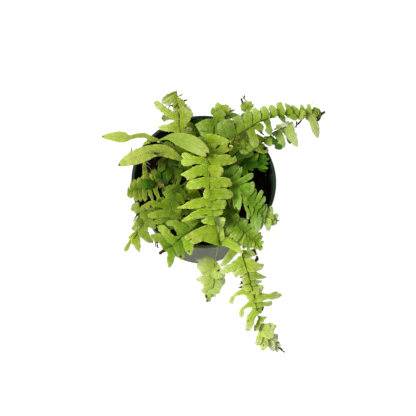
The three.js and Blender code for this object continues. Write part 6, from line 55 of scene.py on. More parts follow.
 {"name":"left_small_frond","mat":"olive","tone":3,"r0":0.52,"r1":0.36,"nst":8,"rod":[[-10.42,-1.31,103.2],[-11.24,-1.59,107.8],[-12.6,-2.04,111.94],[-14.43,-2.64,115.62],[-16.67,-3.41,118.84],[-19.26,-4.35,121.6],[-22.12,-5.46,123.87],[-25.2,-6.74,125.68],[-28.43,-8.19,127.0],[-29.98,-8.92,127.51],[-31.52,-9.65,128.02],[-33.07,-10.38,128.54],[-34.62,-11.1,129.03],[-36.16,-11.81,129.5],[-37.69,-12.5,129.94],[-39.23,-13.18,130.36],[-40.76,-13.85,130.76],[-42.29,-14.52,131.14],[-43.82,-15.17,131.5],[-45.37,-15.81,131.85],[-46.93,-16.43,132.18],[-48.48,-17.05,132.5],[-50.0,-17.67,132.77],[-51.46,-18.29,133.0],[-52.85,-18.91,133.18],[-54.18,-19.53,133.32],[-55.48,-20.15,133.42],[-56.78,-20.77,133.48],[-58.09,-21.4,133.5],[-59.44,-22.05,133.47],[-60.8,-22.72,133.4],[-62.16,-23.38,133.28],[-63.49,-24.02,133.15],[-64.77,-24.61,133.0],[-66.02,-25.13,132.85],[-67.25,-25.6,132.68],[-68.45,-26.04,132.5],[-69.57,-26.49,132.27],[-70.59,-26.98,132.0],[-71.49,-27.51,131.66],[-72.28,-28.08,131.27],[-73.01,-28.66,130.85],[-73.71,-29.24,130.42],[-74.46,-29.82,130.0]],"pin":[[[[-68.65,-26.1,132.47],[-69.95,-24.25,132.89],[-71.02,-22.05,133.3],[-71.75,-19.69,133.61],[-72.32,-18.09,133.46]],[0.009,-0.316,0.949],[[-0.07,-2.33],[4.42,-2.34],[7.82,-1.69],[8.98,-0.0],[7.51,1.78],[3.92,2.36],[-0.17,1.52]],3],[[[-65.73,-24.99,132.89],[-66.62,-22.82,133.98],[-67.5,-20.43,135.04],[-68.53,-18.08,135.98],[-69.0,-16.29,136.6]],[0.203,-0.173,0.964],[[-0.48,-2.42],[4.97,-2.23],[8.5,-1.82],[10.04,-0.0],[8.28,1.8],[4.94,2.3],[0.15,2.13]],3],[[[-61.85,-23.72,133.14],[-62.38,-21.21,134.65],[-62.97,-18.7,136.08],[-64.1,-16.39,137.37],[-64.61,-14.65,138.37]],[0.065,-0.253,0.965],[[-0.77,-2.49],[4.73,-2.5],[9.4,-1.85],[10.88,0.0],[9.31,1.77],[5.93,2.55],[0.77,2.49]],3],[[[-56.69,-21.47,133.24],[-57.54,-18.31,133.93],[-58.48,-14.93,134.48],[-59.51,-11.83,134.71],[-59.53,-9.33,134.48]],[0.071,-0.373,0.925],[[-0.72,-3.34],[5.6,-3.45],[9.88,-3.64],[13.08,-1.18],[12.34,1.18],[8.98,3.16],[5.41,3.84],[0.41,2.69]],3],[[[-51.95,-19.27,132.85],[-52.76,-16.0,133.29],[-53.88,-12.41,133.53],[-55.64,-8.86,133.41],[-56.78,-5.87,132.74]],[-0.048,-0.235,0.971],[[-0.86,-2.56],[5.18,-2.2],[11.48,-2.35],[14.41,0.0],[11.23,2.34],[6.2,2.57],[0.27,2.28]],2],[[[-46.25,-16.7,131.88],[-47.25,-12.68,132.39],[-48.94,-8.41,132.64],[-51.03,-4.18,132.52],[-51.77,-0.79,131.72]],[0.129,-0.255,0.958],[[-1.09,-3.77],[5.04,-3.43],[11.28,-3.16],[14.84,-2.91],[17.08,-0.0],[14.77,2.38],[9.67,3.36],[5.02,3.61],[0.48,3.71]],3],[[[-73.09,-28.88,130.71],[-73.64,-27.52,131.17],[-74.34,-26.31,131.43],[-74.71,-24.87,131.64],[-75.1,-23.37,131.74]],[0.049,-0.262,0.964],[[1.52,1.68],[3.81,0.47],[6.02,0.0],[1.89,-0.95],[-1.36,-1.18]],3],[[[-72.58,-30.11,130.11],[-73.64,-30.36,130.56],[-75.14,-30.3,130.47]],[0.091,-0.187,0.978],[[-1.13,1.88],[0.81,1.83],[2.69,0.0],[1.15,-1.68],[-0.74,-2.24]],3],[[[-69.6,-26.73,132.17],[-69.94,-29.2,132.16],[-70.4,-31.21,131.83],[-71.02,-32.98,131.1],[-72.22,-33.84,130.24]],[0.003,-0.347,0.938],[[1.77,1.57],[5.23,1.68],[8.33,0.0],[6.81,-1.24],[4.02,-1.7],[-1.13,-1.75]],3],[[[-65.73,-24.99,132.89],[-65.6,-28.51,132.84],[-65.58,-31.69,132.27],[-65.16,-34.56,131.18],[-66.06,-36.33,129.88]],[0.134,-0.4,0.907],[[1.24,2.27],[7.05,2.45],[12.26,-0.0],[10.39,-2.04],[5.79,-2.44],[-1.03,-2.3]],3],[[[-60.91,-23.12,133.26],[-60.74,-27.18,133.33],[-60.69,-30.76,132.88],[-60.62,-34.06,131.84],[-60.73,-36.63,130.37]],[0.175,-0.176,0.969],[[1.34,2.48],[7.87,2.38],[12.24,1.61],[14.11,0.0],[11.48,-1.7],[5.21,-2.52],[-0.87,-2.33]],3],[[[-57.45,-21.78,133.27],[-57.36,-26.16,133.74],[-57.07,-30.06,133.67],[-56.32,-33.67,132.99],[-56.19,-36.56,131.88]],[0.058,-0.322,0.945],[[1.14,1.67],[6.87,2.26],[12.6,1.75],[15.18,0.0],[12.56,-1.82],[6.72,-1.91],[-0.7,-1.93]],3],[[[-53.27,-19.91,132.99],[-52.9,-24.3,133.22],[-51.73,-28.11,132.87],[-50.14,-31.5,131.89],[-48.95,-34.52,130.25]],[0.087,-0.164,0.983],[[1.13,2.53],[6.47,2.06],[12.23,1.32],[15.94,-0.0],[12.57,-1.28],[6.07,-1.65],[-0.81,-1.96]],3],[[[-48.14,-17.7,132.2],[-47.33,-22.42,132.47],[-45.82,-26.47,132.15],[-43.81,-30.03,131.18],[-42.3,-33.31,129.47]],[0.1,-0.453,0.886],[[0.83,2.44],[5.62,2.16],[11.5,1.63],[17.35,0.0],[13.21,-1.34],[6.49,-1.56],[-0.56,-2.84]],3],[[[-57.12,-21.15,133.42],[-58.39,-15.57,135.46],[-59.44,-9.49,137.04],[-60.59,-3.16,138.09],[-61.28,3.2,138.5]],[0.171,-0.365,0.915],[[-0.43,-1.66],[8.6,-1.74],[15.86,-1.72],[21.66,-1.8],[26.31,-0.93],[24.45,0.93],[20.73,1.44],[15.25,2.05],[8.47,1.45],[0.01,1.81]],2]],"straps":[]},
 {"name":"mid_left_frond","mat":"mid","tone":2,"r0":0.66,"r1":0.36,"nst":8,"rod":[[-2.29,-4.67,103.2],[-2.98,-4.99,110.57],[-3.75,-5.0,117.76],[-4.64,-4.98,124.6],[-5.74,-5.2,130.94],[-7.09,-5.93,136.6],[-8.77,-7.45,141.44],[-10.83,-10.04,145.3],[-13.34,-13.98,148.0],[-14.31,-15.63,148.73],[-15.26,-17.23,149.5],[-16.22,-18.86,150.24],[-17.22,-20.59,150.93],[-18.31,-22.51,151.5],[-19.56,-24.7,151.98],[-20.95,-27.11,152.41],[-22.36,-29.61,152.75],[-23.66,-32.07,152.96],[-24.74,-34.37,153.0],[-25.56,-36.51,152.84],[-26.2,-38.58,152.5],[-26.7,-40.56,152.04],[-27.13,-42.45,151.52],[-27.53,-44.22,151.0],[-27.87,-45.83,150.48],[-28.12,-47.3,149.92],[-28.32,-48.69,149.32],[-28.51,-50.04,148.68],[-28.74,-51.42,148.0],[-28.98,-52.84,147.26],[-29.23,-54.28,146.47],[-29.49,-55.69,145.65],[-29.75,-57.03,144.82],[-30.02,-58.27,144.0],[-30.31,-59.38,143.2],[-30.62,-60.37,142.4],[-30.93,-61.3,141.6],[-31.25,-62.21,140.8],[-31.56,-63.16,140.0]],"pin":[[[[-21.53,-28.6,152.55],[-24.38,-28.8,152.53],[-27.27,-29.32,151.94],[-30.01,-29.78,150.93],[-32.15,-29.9,149.6]],[0.082,-0.405,0.911],[[-2.4,2.98],[2.72,3.39],[7.4,2.24],[11.35,0.0],[9.64,-2.48],[6.52,-3.06],[2.35,-2.6]],3],[[[-24.32,-33.79,152.97],[-27.11,-35.55,153.0],[-29.81,-37.4,152.41],[-32.36,-39.04,151.32],[-34.84,-39.79,149.99]],[0.009,-0.314,0.949],[[-3.13,1.91],[1.72,3.4],[6.75,2.38],[12.77,0.0],[10.44,-2.42],[7.34,-2.91],[3.22,-2.75]],3],[[[-26.12,-39.42,152.29],[-29.38,-41.05,152.14],[-32.63,-42.37,151.4],[-35.78,-43.45,150.05],[-38.7,-43.67,148.32]],[-0.026,-0.344,0.938],[[-2.47,2.78],[2.86,3.29],[8.25,2.59],[14.25,-0.0],[11.22,-2.46],[6.84,-3.23],[2.59,-3.14]],2],[[[-27.82,-46.07,150.39],[-32.27,-46.63,151.35],[-36.78,-46.96,152.29],[-41.25,-46.74,153.34],[-45.69,-46.72,154.2],[-49.76,-48.67,154.19],[-53.57,-50.93,153.95],[-55.9,-52.54,153.69]],[-0.06,-0.257,0.964],[[-0.96,3.13],[5.47,2.57],[11.6,2.09],[17.2,2.54],[20.86,2.39],[26.27,1.46],[30.16,0.0],[24.75,-2.01],[18.79,-2.07],[12.53,-2.26],[7.01,-2.75],[0.79,-2.73]],1],[[[-28.74,-51.42,148.0],[-34.28,-52.85,148.02],[-39.79,-54.2,147.13],[-45.38,-55.23,145.42],[-50.3,-55.64,143.0]],[-0.093,-0.281,0.955],[[-0.97,2.78],[5.27,3.28],[12.11,3.38],[18.55,2.71],[22.92,0.0],[19.19,-2.63],[14.22,-3.44],[7.29,-3.18],[1.07,-3.54]],0],[[[-29.48,-55.73,145.62],[-33.01,-57.97,145.44],[-36.72,-59.33,144.8],[-40.38,-60.54,143.43],[-43.74,-60.85,141.62]],[-0.035,-0.188,0.982],[[-1.73,1.76],[5.07,3.27],[10.88,2.62],[16.12,-0.0],[12.33,-2.55],[6.8,-3.1],[2.28,-3.21]],2],[[[-30.78,-60.74,142.08],[-33.01,-62.29,141.9],[-35.36,-63.37,141.4],[-37.73,-64.11,140.53],[-39.69,-65.09,139.08]],[0.193,-0.301,0.934],[[-2.21,1.63],[3.31,2.31],[7.5,1.41],[10.63,0.0],[6.01,-2.25],[2.33,-2.39]],2],[[[-18.31,-22.51,151.5],[-16.84,-25.64,151.2],[-15.15,-28.11,150.46],[-13.59,-30.23,149.16],[-12.92,-31.49,147.5]],[0.019,-0.355,0.935],[[-1.67,-3.04],[4.08,-3.86],[9.02,-2.76],[11.7,-0.0],[10.12,2.48],[6.05,3.75],[2.16,4.01]],3],[[[-23.13,-31.52,152.86],[-20.21,-33.24,152.67],[-17.89,-34.99,151.88],[-15.79,-36.53,150.57],[-14.24,-37.46,148.9]],[0.037,-0.244,0.969],[[0.37,-4.44],[4.53,-3.69],[8.71,-2.59],[11.8,0.0],[9.38,2.3],[5.44,3.67],[0.2,3.57]],3],[[[-25.74,-38.42,152.5],[-23.82,-38.76,152.34],[-22.21,-38.99,152.09],[-20.84,-39.48,151.6],[-19.58,-40.05,150.96],[-18.92,-40.64,150.16],[-18.75,-41.24,149.23]],[-0.049,-0.295,0.954],[[0.97,-4.49],[4.46,-4.57],[7.21,-3.36],[10.21,-2.1],[9.3,2.07],[2.56,4.22],[-0.37,4.5]],2],[[[-27.44,-45.13,150.71],[-24.52,-46.28,151.13],[-21.8,-47.85,150.96],[-19.4,-49.46,150.35],[-17.67,-50.47,149.53]],[0.146,-0.352,0.925],[[-0.46,-4.4],[4.13,-3.87],[8.31,-2.66],[11.45,0.0],[9.59,2.55],[4.88,3.79],[0.13,3.69]],2],[[[-28.63,-50.54,148.43],[-25.44,-52.28,148.14],[-22.41,-53.34,147.46],[-19.65,-54.18,146.21],[-17.49,-54.71,144.43]],[-0.119,-0.23,0.966],[[-1.35,-3.27],[4.72,-3.51],[8.9,-2.89],[12.93,0.0],[9.86,2.72],[5.52,3.59],[1.96,3.77]],2],[[[-29.26,-56.05,145.43],[-26.3,-57.3,145.49],[-23.48,-58.3,145.07],[-20.8,-58.97,144.21],[-18.75,-59.4,142.86]],[-0.102,-0.237,0.966],[[-0.94,-3.42],[4.34,-3.02],[8.59,-2.39],[11.63,0.0],[8.72,2.59],[4.87,3.14],[1.12,3.32]],2],[[[-30.55,-61.2,141.72],[-28.99,-62.43,141.4],[-27.19,-63.41,140.57],[-25.5,-63.63,139.43],[-23.84,-63.67,137.75]],[-0.086,-0.365,0.927],[[-1.47,-2.6],[2.78,-3.09],[8.66,0.0],[4.28,3.35],[0.8,2.73]],2],[[[-20.74,-26.96,152.35],[-26.81,-27.59,151.26],[-30.31,-27.06,149.7],[-33.71,-26.76,147.16],[-36.5,-25.06,144.25]],[-0.068,-0.291,0.954],[[2.79,2.37],[10.39,3.0],[18.75,-0.0],[14.92,-2.17],[8.56,-3.03],[2.75,-3.09]],3],[[[-22.81,-30.94,152.81],[-29.13,-32.9,152.57],[-32.33,-33.42,152.04],[-35.29,-33.98,150.67],[-37.98,-33.56,148.85]],[-0.021,-0.265,0.964],[[3.75,2.75],[10.55,3.25],[16.52,0.0],[13.54,-1.98],[8.42,-3.33],[2.97,-2.96]],3]],"straps":[]},
 {"name":"left_upper_frond","mat":"olive","tone":3,"r0":0.62,"r1":0.36,"nst":8,"rod":[[-10.33,1.87,103.2],[-10.33,1.16,108.75],[-9.79,0.2,114.23],[-9.03,-0.85,119.49],[-8.39,-1.87,124.41],[-8.19,-2.7,128.85],[-8.75,-3.22,132.68],[-10.41,-3.27,135.78],[-13.49,-2.73,138.0],[-15.15,-2.35,138.74],[-16.8,-1.98,139.52],[-18.45,-1.61,140.28],[-20.11,-1.21,140.96],[-21.77,-0.78,141.5],[-23.43,-0.3,141.89],[-25.1,0.23,142.18],[-26.77,0.77,142.36],[-28.44,1.3,142.47],[-30.11,1.78,142.5],[-31.8,2.21,142.45],[-33.5,2.61,142.32],[-35.19,2.99,142.1],[-36.86,3.34,141.83],[-38.46,3.64,141.5],[-40.0,3.91,141.1],[-41.48,4.12,140.61],[-42.94,4.31,140.07],[-44.38,4.49,139.52],[-45.84,4.68,139.0]],"pin":[[[[-27.99,0.85,142.32],[-30.04,1.03,142.51],[-31.79,1.74,142.74],[-33.34,2.9,142.96],[-34.69,3.89,142.95],[-35.29,5.17,142.87],[-35.91,6.53,142.66],[-36.34,7.47,142.43]],[0.105,-0.46,0.881],[[-0.7,4.84],[5.92,6.33],[12.52,2.34],[10.65,-2.33],[7.18,-5.21],[3.24,-6.67],[1.09,-5.3]],4],[[[-37.39,3.14,141.62],[-40.02,2.16,142.1],[-41.6,1.7,142.66],[-42.91,2.29,143.5],[-44.12,2.64,144.11],[-44.5,3.18,144.68],[-44.79,3.82,145.15]],[-0.116,-0.169,0.979],[[0.14,4.83],[11.33,3.5],[9.97,-0.02],[7.4,-4.11],[4.55,-5.87],[2.2,-5.28]],3],[[[-34.02,0.24,141.38],[-34.28,-6.49,142.69],[-34.54,-10.63,143.84],[-34.71,-14.21,144.04],[-34.93,-16.94,143.4]],[0.087,-0.334,0.938],[[3.0,1.97],[8.65,3.26],[14.29,2.21],[17.59,0.0],[14.03,-2.37],[8.0,-2.95],[2.53,-3.06]],4],[[[-28.9,-0.16,141.91],[-29.03,-6.2,141.12],[-29.27,-10.13,139.81],[-29.49,-13.45,137.4],[-29.79,-15.94,133.98]],[0.072,-0.176,0.982],[[1.84,2.39],[7.34,3.48],[13.25,2.63],[18.63,0.0],[13.61,-2.46],[7.25,-3.39],[1.73,-2.85]],3],[[[-24.8,-0.78,141.76],[-24.53,-9.01,142.27],[-24.66,-15.14,142.35],[-25.57,-20.73,141.38],[-25.53,-25.54,139.45]],[-0.108,-0.467,0.877],[[1.59,1.31],[6.19,2.18],[11.91,1.17],[18.61,1.24],[23.06,1.75],[25.33,0.0],[19.01,-1.35],[11.71,-1.64],[7.31,-1.98],[2.34,-2.21]],3],[[[-20.23,-1.08,141.05],[-24.14,8.16,140.0],[-30.15,16.81,137.97],[-37.19,25.15,135.07],[-45.07,32.04,130.86]],[0.131,-0.282,0.95],[[2.08,-3.06],[12.78,-3.37],[24.0,-3.21],[35.22,-2.4],[43.43,-0.0],[38.72,2.9],[29.11,3.14],[18.64,3.36],[8.03,3.69],[-2.36,2.98]],3],[[[-16.0,-2.0,139.23],[-16.6,1.92,141.98],[-17.01,5.7,144.76],[-19.05,9.02,147.43],[-21.59,12.02,150.06],[-24.82,14.37,152.51],[-28.11,16.2,154.83],[-30.04,17.28,156.36]],[-0.085,-0.319,0.944],[[1.09,-2.59],[10.24,-3.34],[20.2,-3.47],[27.41,-2.6],[32.2,-0.92],[29.45,0.92],[25.5,2.69],[20.15,3.64],[14.59,3.84],[8.61,3.56],[-0.86,1.79]],3],[[[-18.66,-1.68,140.31],[-19.59,1.67,141.32],[-21.37,4.7,142.04],[-22.8,7.85,142.63],[-24.94,10.01,142.68]],[-0.254,-0.306,0.917],[[2.18,-2.89],[8.38,-3.55],[13.78,0.0],[10.36,2.29],[3.5,3.87],[-2.05,3.29]],3],[[[-20.69,-1.52,140.94],[-21.27,-3.59,140.85],[-21.42,-5.04,140.72],[-21.88,-6.22,140.42],[-22.36,-7.08,139.99],[-22.81,-7.56,139.43],[-23.34,-7.77,138.71]],[0.142,-0.426,0.893],[[1.28,3.92],[5.84,3.89],[8.4,-0.0],[6.19,-2.85],[4.09,-4.38],[0.15,-3.42]],4],[[[-42.66,4.22,140.15],[-42.92,-0.09,140.08],[-43.84,-2.75,139.89],[-44.75,-5.07,139.07],[-45.01,-5.64,138.17]],[-0.058,-0.373,0.926],[[1.83,2.16],[8.1,2.92],[10.93,2.46],[10.91,0.0],[8.92,-2.43],[5.27,-2.98],[1.2,-3.27]],3],[[[-22.17,-0.84,141.52],[-26.11,4.17,142.54],[-28.67,6.72,142.58],[-31.83,8.56,142.31],[-33.91,10.99,142.24]],[0.134,-0.394,0.909],[[4.91,1.83],[9.04,1.83],[15.5,1.87],[18.49,-1.83],[14.91,-1.7],[10.39,-1.24],[5.44,-1.65],[0.89,-1.81]],1]],"straps":[]},
 {"name":"left_front_leaflets","mat":"olive","tone":3,"r0":0.47,"r1":0.36,"nst":8,"rod":[[-5.34,-9.04,103.2],[-5.57,-10.49,108.92],[-5.83,-13.2,113.72],[-6.26,-16.83,117.73],[-7.01,-20.99,121.07],[-8.23,-25.35,123.84],[-10.06,-29.52,126.18],[-12.67,-33.14,128.19],[-16.18,-35.86,130.0],[-17.89,-36.77,130.74],[-19.61,-37.71,131.52],[-21.32,-38.64,132.28],[-23.01,-39.49,132.96],[-24.65,-40.23,133.5],[-26.23,-40.84,133.88],[-27.76,-41.35,134.15],[-29.27,-41.79,134.33],[-30.78,-42.15,134.44],[-32.31,-42.46,134.5],[-33.88,-42.68,134.5],[-35.46,-42.82,134.41],[-37.04,-42.9,134.27],[-38.63,-42.97,134.12],[-40.21,-43.07,134.0]],"pin":[[[[-20.89,-38.44,132.08],[-22.48,-35.48,133.26],[-24.11,-32.45,134.39],[-25.58,-29.46,135.42],[-25.98,-27.75,135.86]],[-0.135,-0.308,0.942],[[1.06,-3.9],[7.34,-4.67],[11.12,-3.22],[12.49,0.0],[9.73,3.3],[4.75,4.69],[-1.25,3.83]],3],[[[-28.46,-41.54,134.23],[-29.68,-38.82,136.45],[-31.2,-36.13,138.66],[-32.7,-33.58,140.82],[-33.19,-31.95,142.62]],[0.055,-0.313,0.948],[[0.59,-3.53],[7.72,-4.23],[11.72,-2.87],[13.66,0.0],[10.37,2.88],[5.4,4.38],[-0.91,3.86]],3],[[[-36.25,-42.8,134.36],[-37.32,-40.02,135.49],[-38.83,-37.38,136.7],[-40.07,-35.05,137.91],[-40.45,-34.08,138.73]],[0.057,-0.244,0.968],[[0.76,-3.25],[6.57,-4.55],[9.77,-3.45],[10.7,0.0],[8.01,3.81],[3.53,4.52],[-0.94,3.83]],4],[[[-22.77,-39.37,132.86],[-21.26,-42.83,132.87],[-20.17,-46.09,132.31],[-19.34,-48.98,131.24],[-17.97,-50.96,129.86]],[0.238,-0.3,0.924],[[-0.5,3.38],[6.2,4.15],[10.61,2.19],[13.24,-0.0],[6.57,-3.94],[0.58,-4.42]],3],[[[-30.38,-42.02,134.42],[-29.45,-45.54,134.38],[-28.92,-48.8,133.81],[-28.79,-51.57,132.78],[-28.16,-53.59,131.41]],[0.057,-0.347,0.936],[[-0.49,3.93],[6.35,4.22],[10.69,2.02],[12.49,-0.0],[6.18,-4.24],[0.62,-4.51]],3],[[[-37.24,-42.87,134.27],[-37.19,-46.07,133.33],[-37.14,-48.96,131.75],[-37.39,-51.36,129.6],[-37.01,-52.91,127.02]],[0.061,-0.341,0.938],[[0.33,3.92],[5.91,4.1],[10.79,2.09],[12.92,0.0],[5.69,-3.98],[-0.33,-3.93]],3],[[[-39.82,-43.04,134.03],[-42.25,-42.2,134.04],[-44.8,-41.26,133.75],[-47.07,-40.39,133.08],[-49.36,-39.59,132.03]],[0.067,-0.251,0.966],[[0.83,2.26],[6.63,2.74],[10.48,0.0],[4.76,-2.67],[-1.01,-2.18]],4],[[[-37.75,-41.79,134.65],[-38.82,-39.59,135.59],[-38.98,-38.4,136.33],[-39.68,-37.33,137.21],[-39.94,-36.42,138.22],[-40.48,-36.27,139.12],[-41.0,-36.18,140.19],[-41.34,-36.16,140.99]],[0.002,-0.359,0.933],[[1.98,-2.83],[5.64,-4.53],[11.53,-1.42],[8.75,1.43],[7.0,4.14],[4.14,4.44],[0.51,2.07]],4],[[[-22.79,-39.17,132.92],[-18.23,-42.7,133.75],[-16.08,-45.0,134.56],[-14.0,-46.75,135.08],[-13.2,-48.58,135.07]],[-0.004,-0.254,0.967],[[3.0,2.4],[8.91,3.17],[13.86,0.0],[11.79,-2.52],[7.23,-3.29],[2.54,-2.71]],3]],"straps":[]},
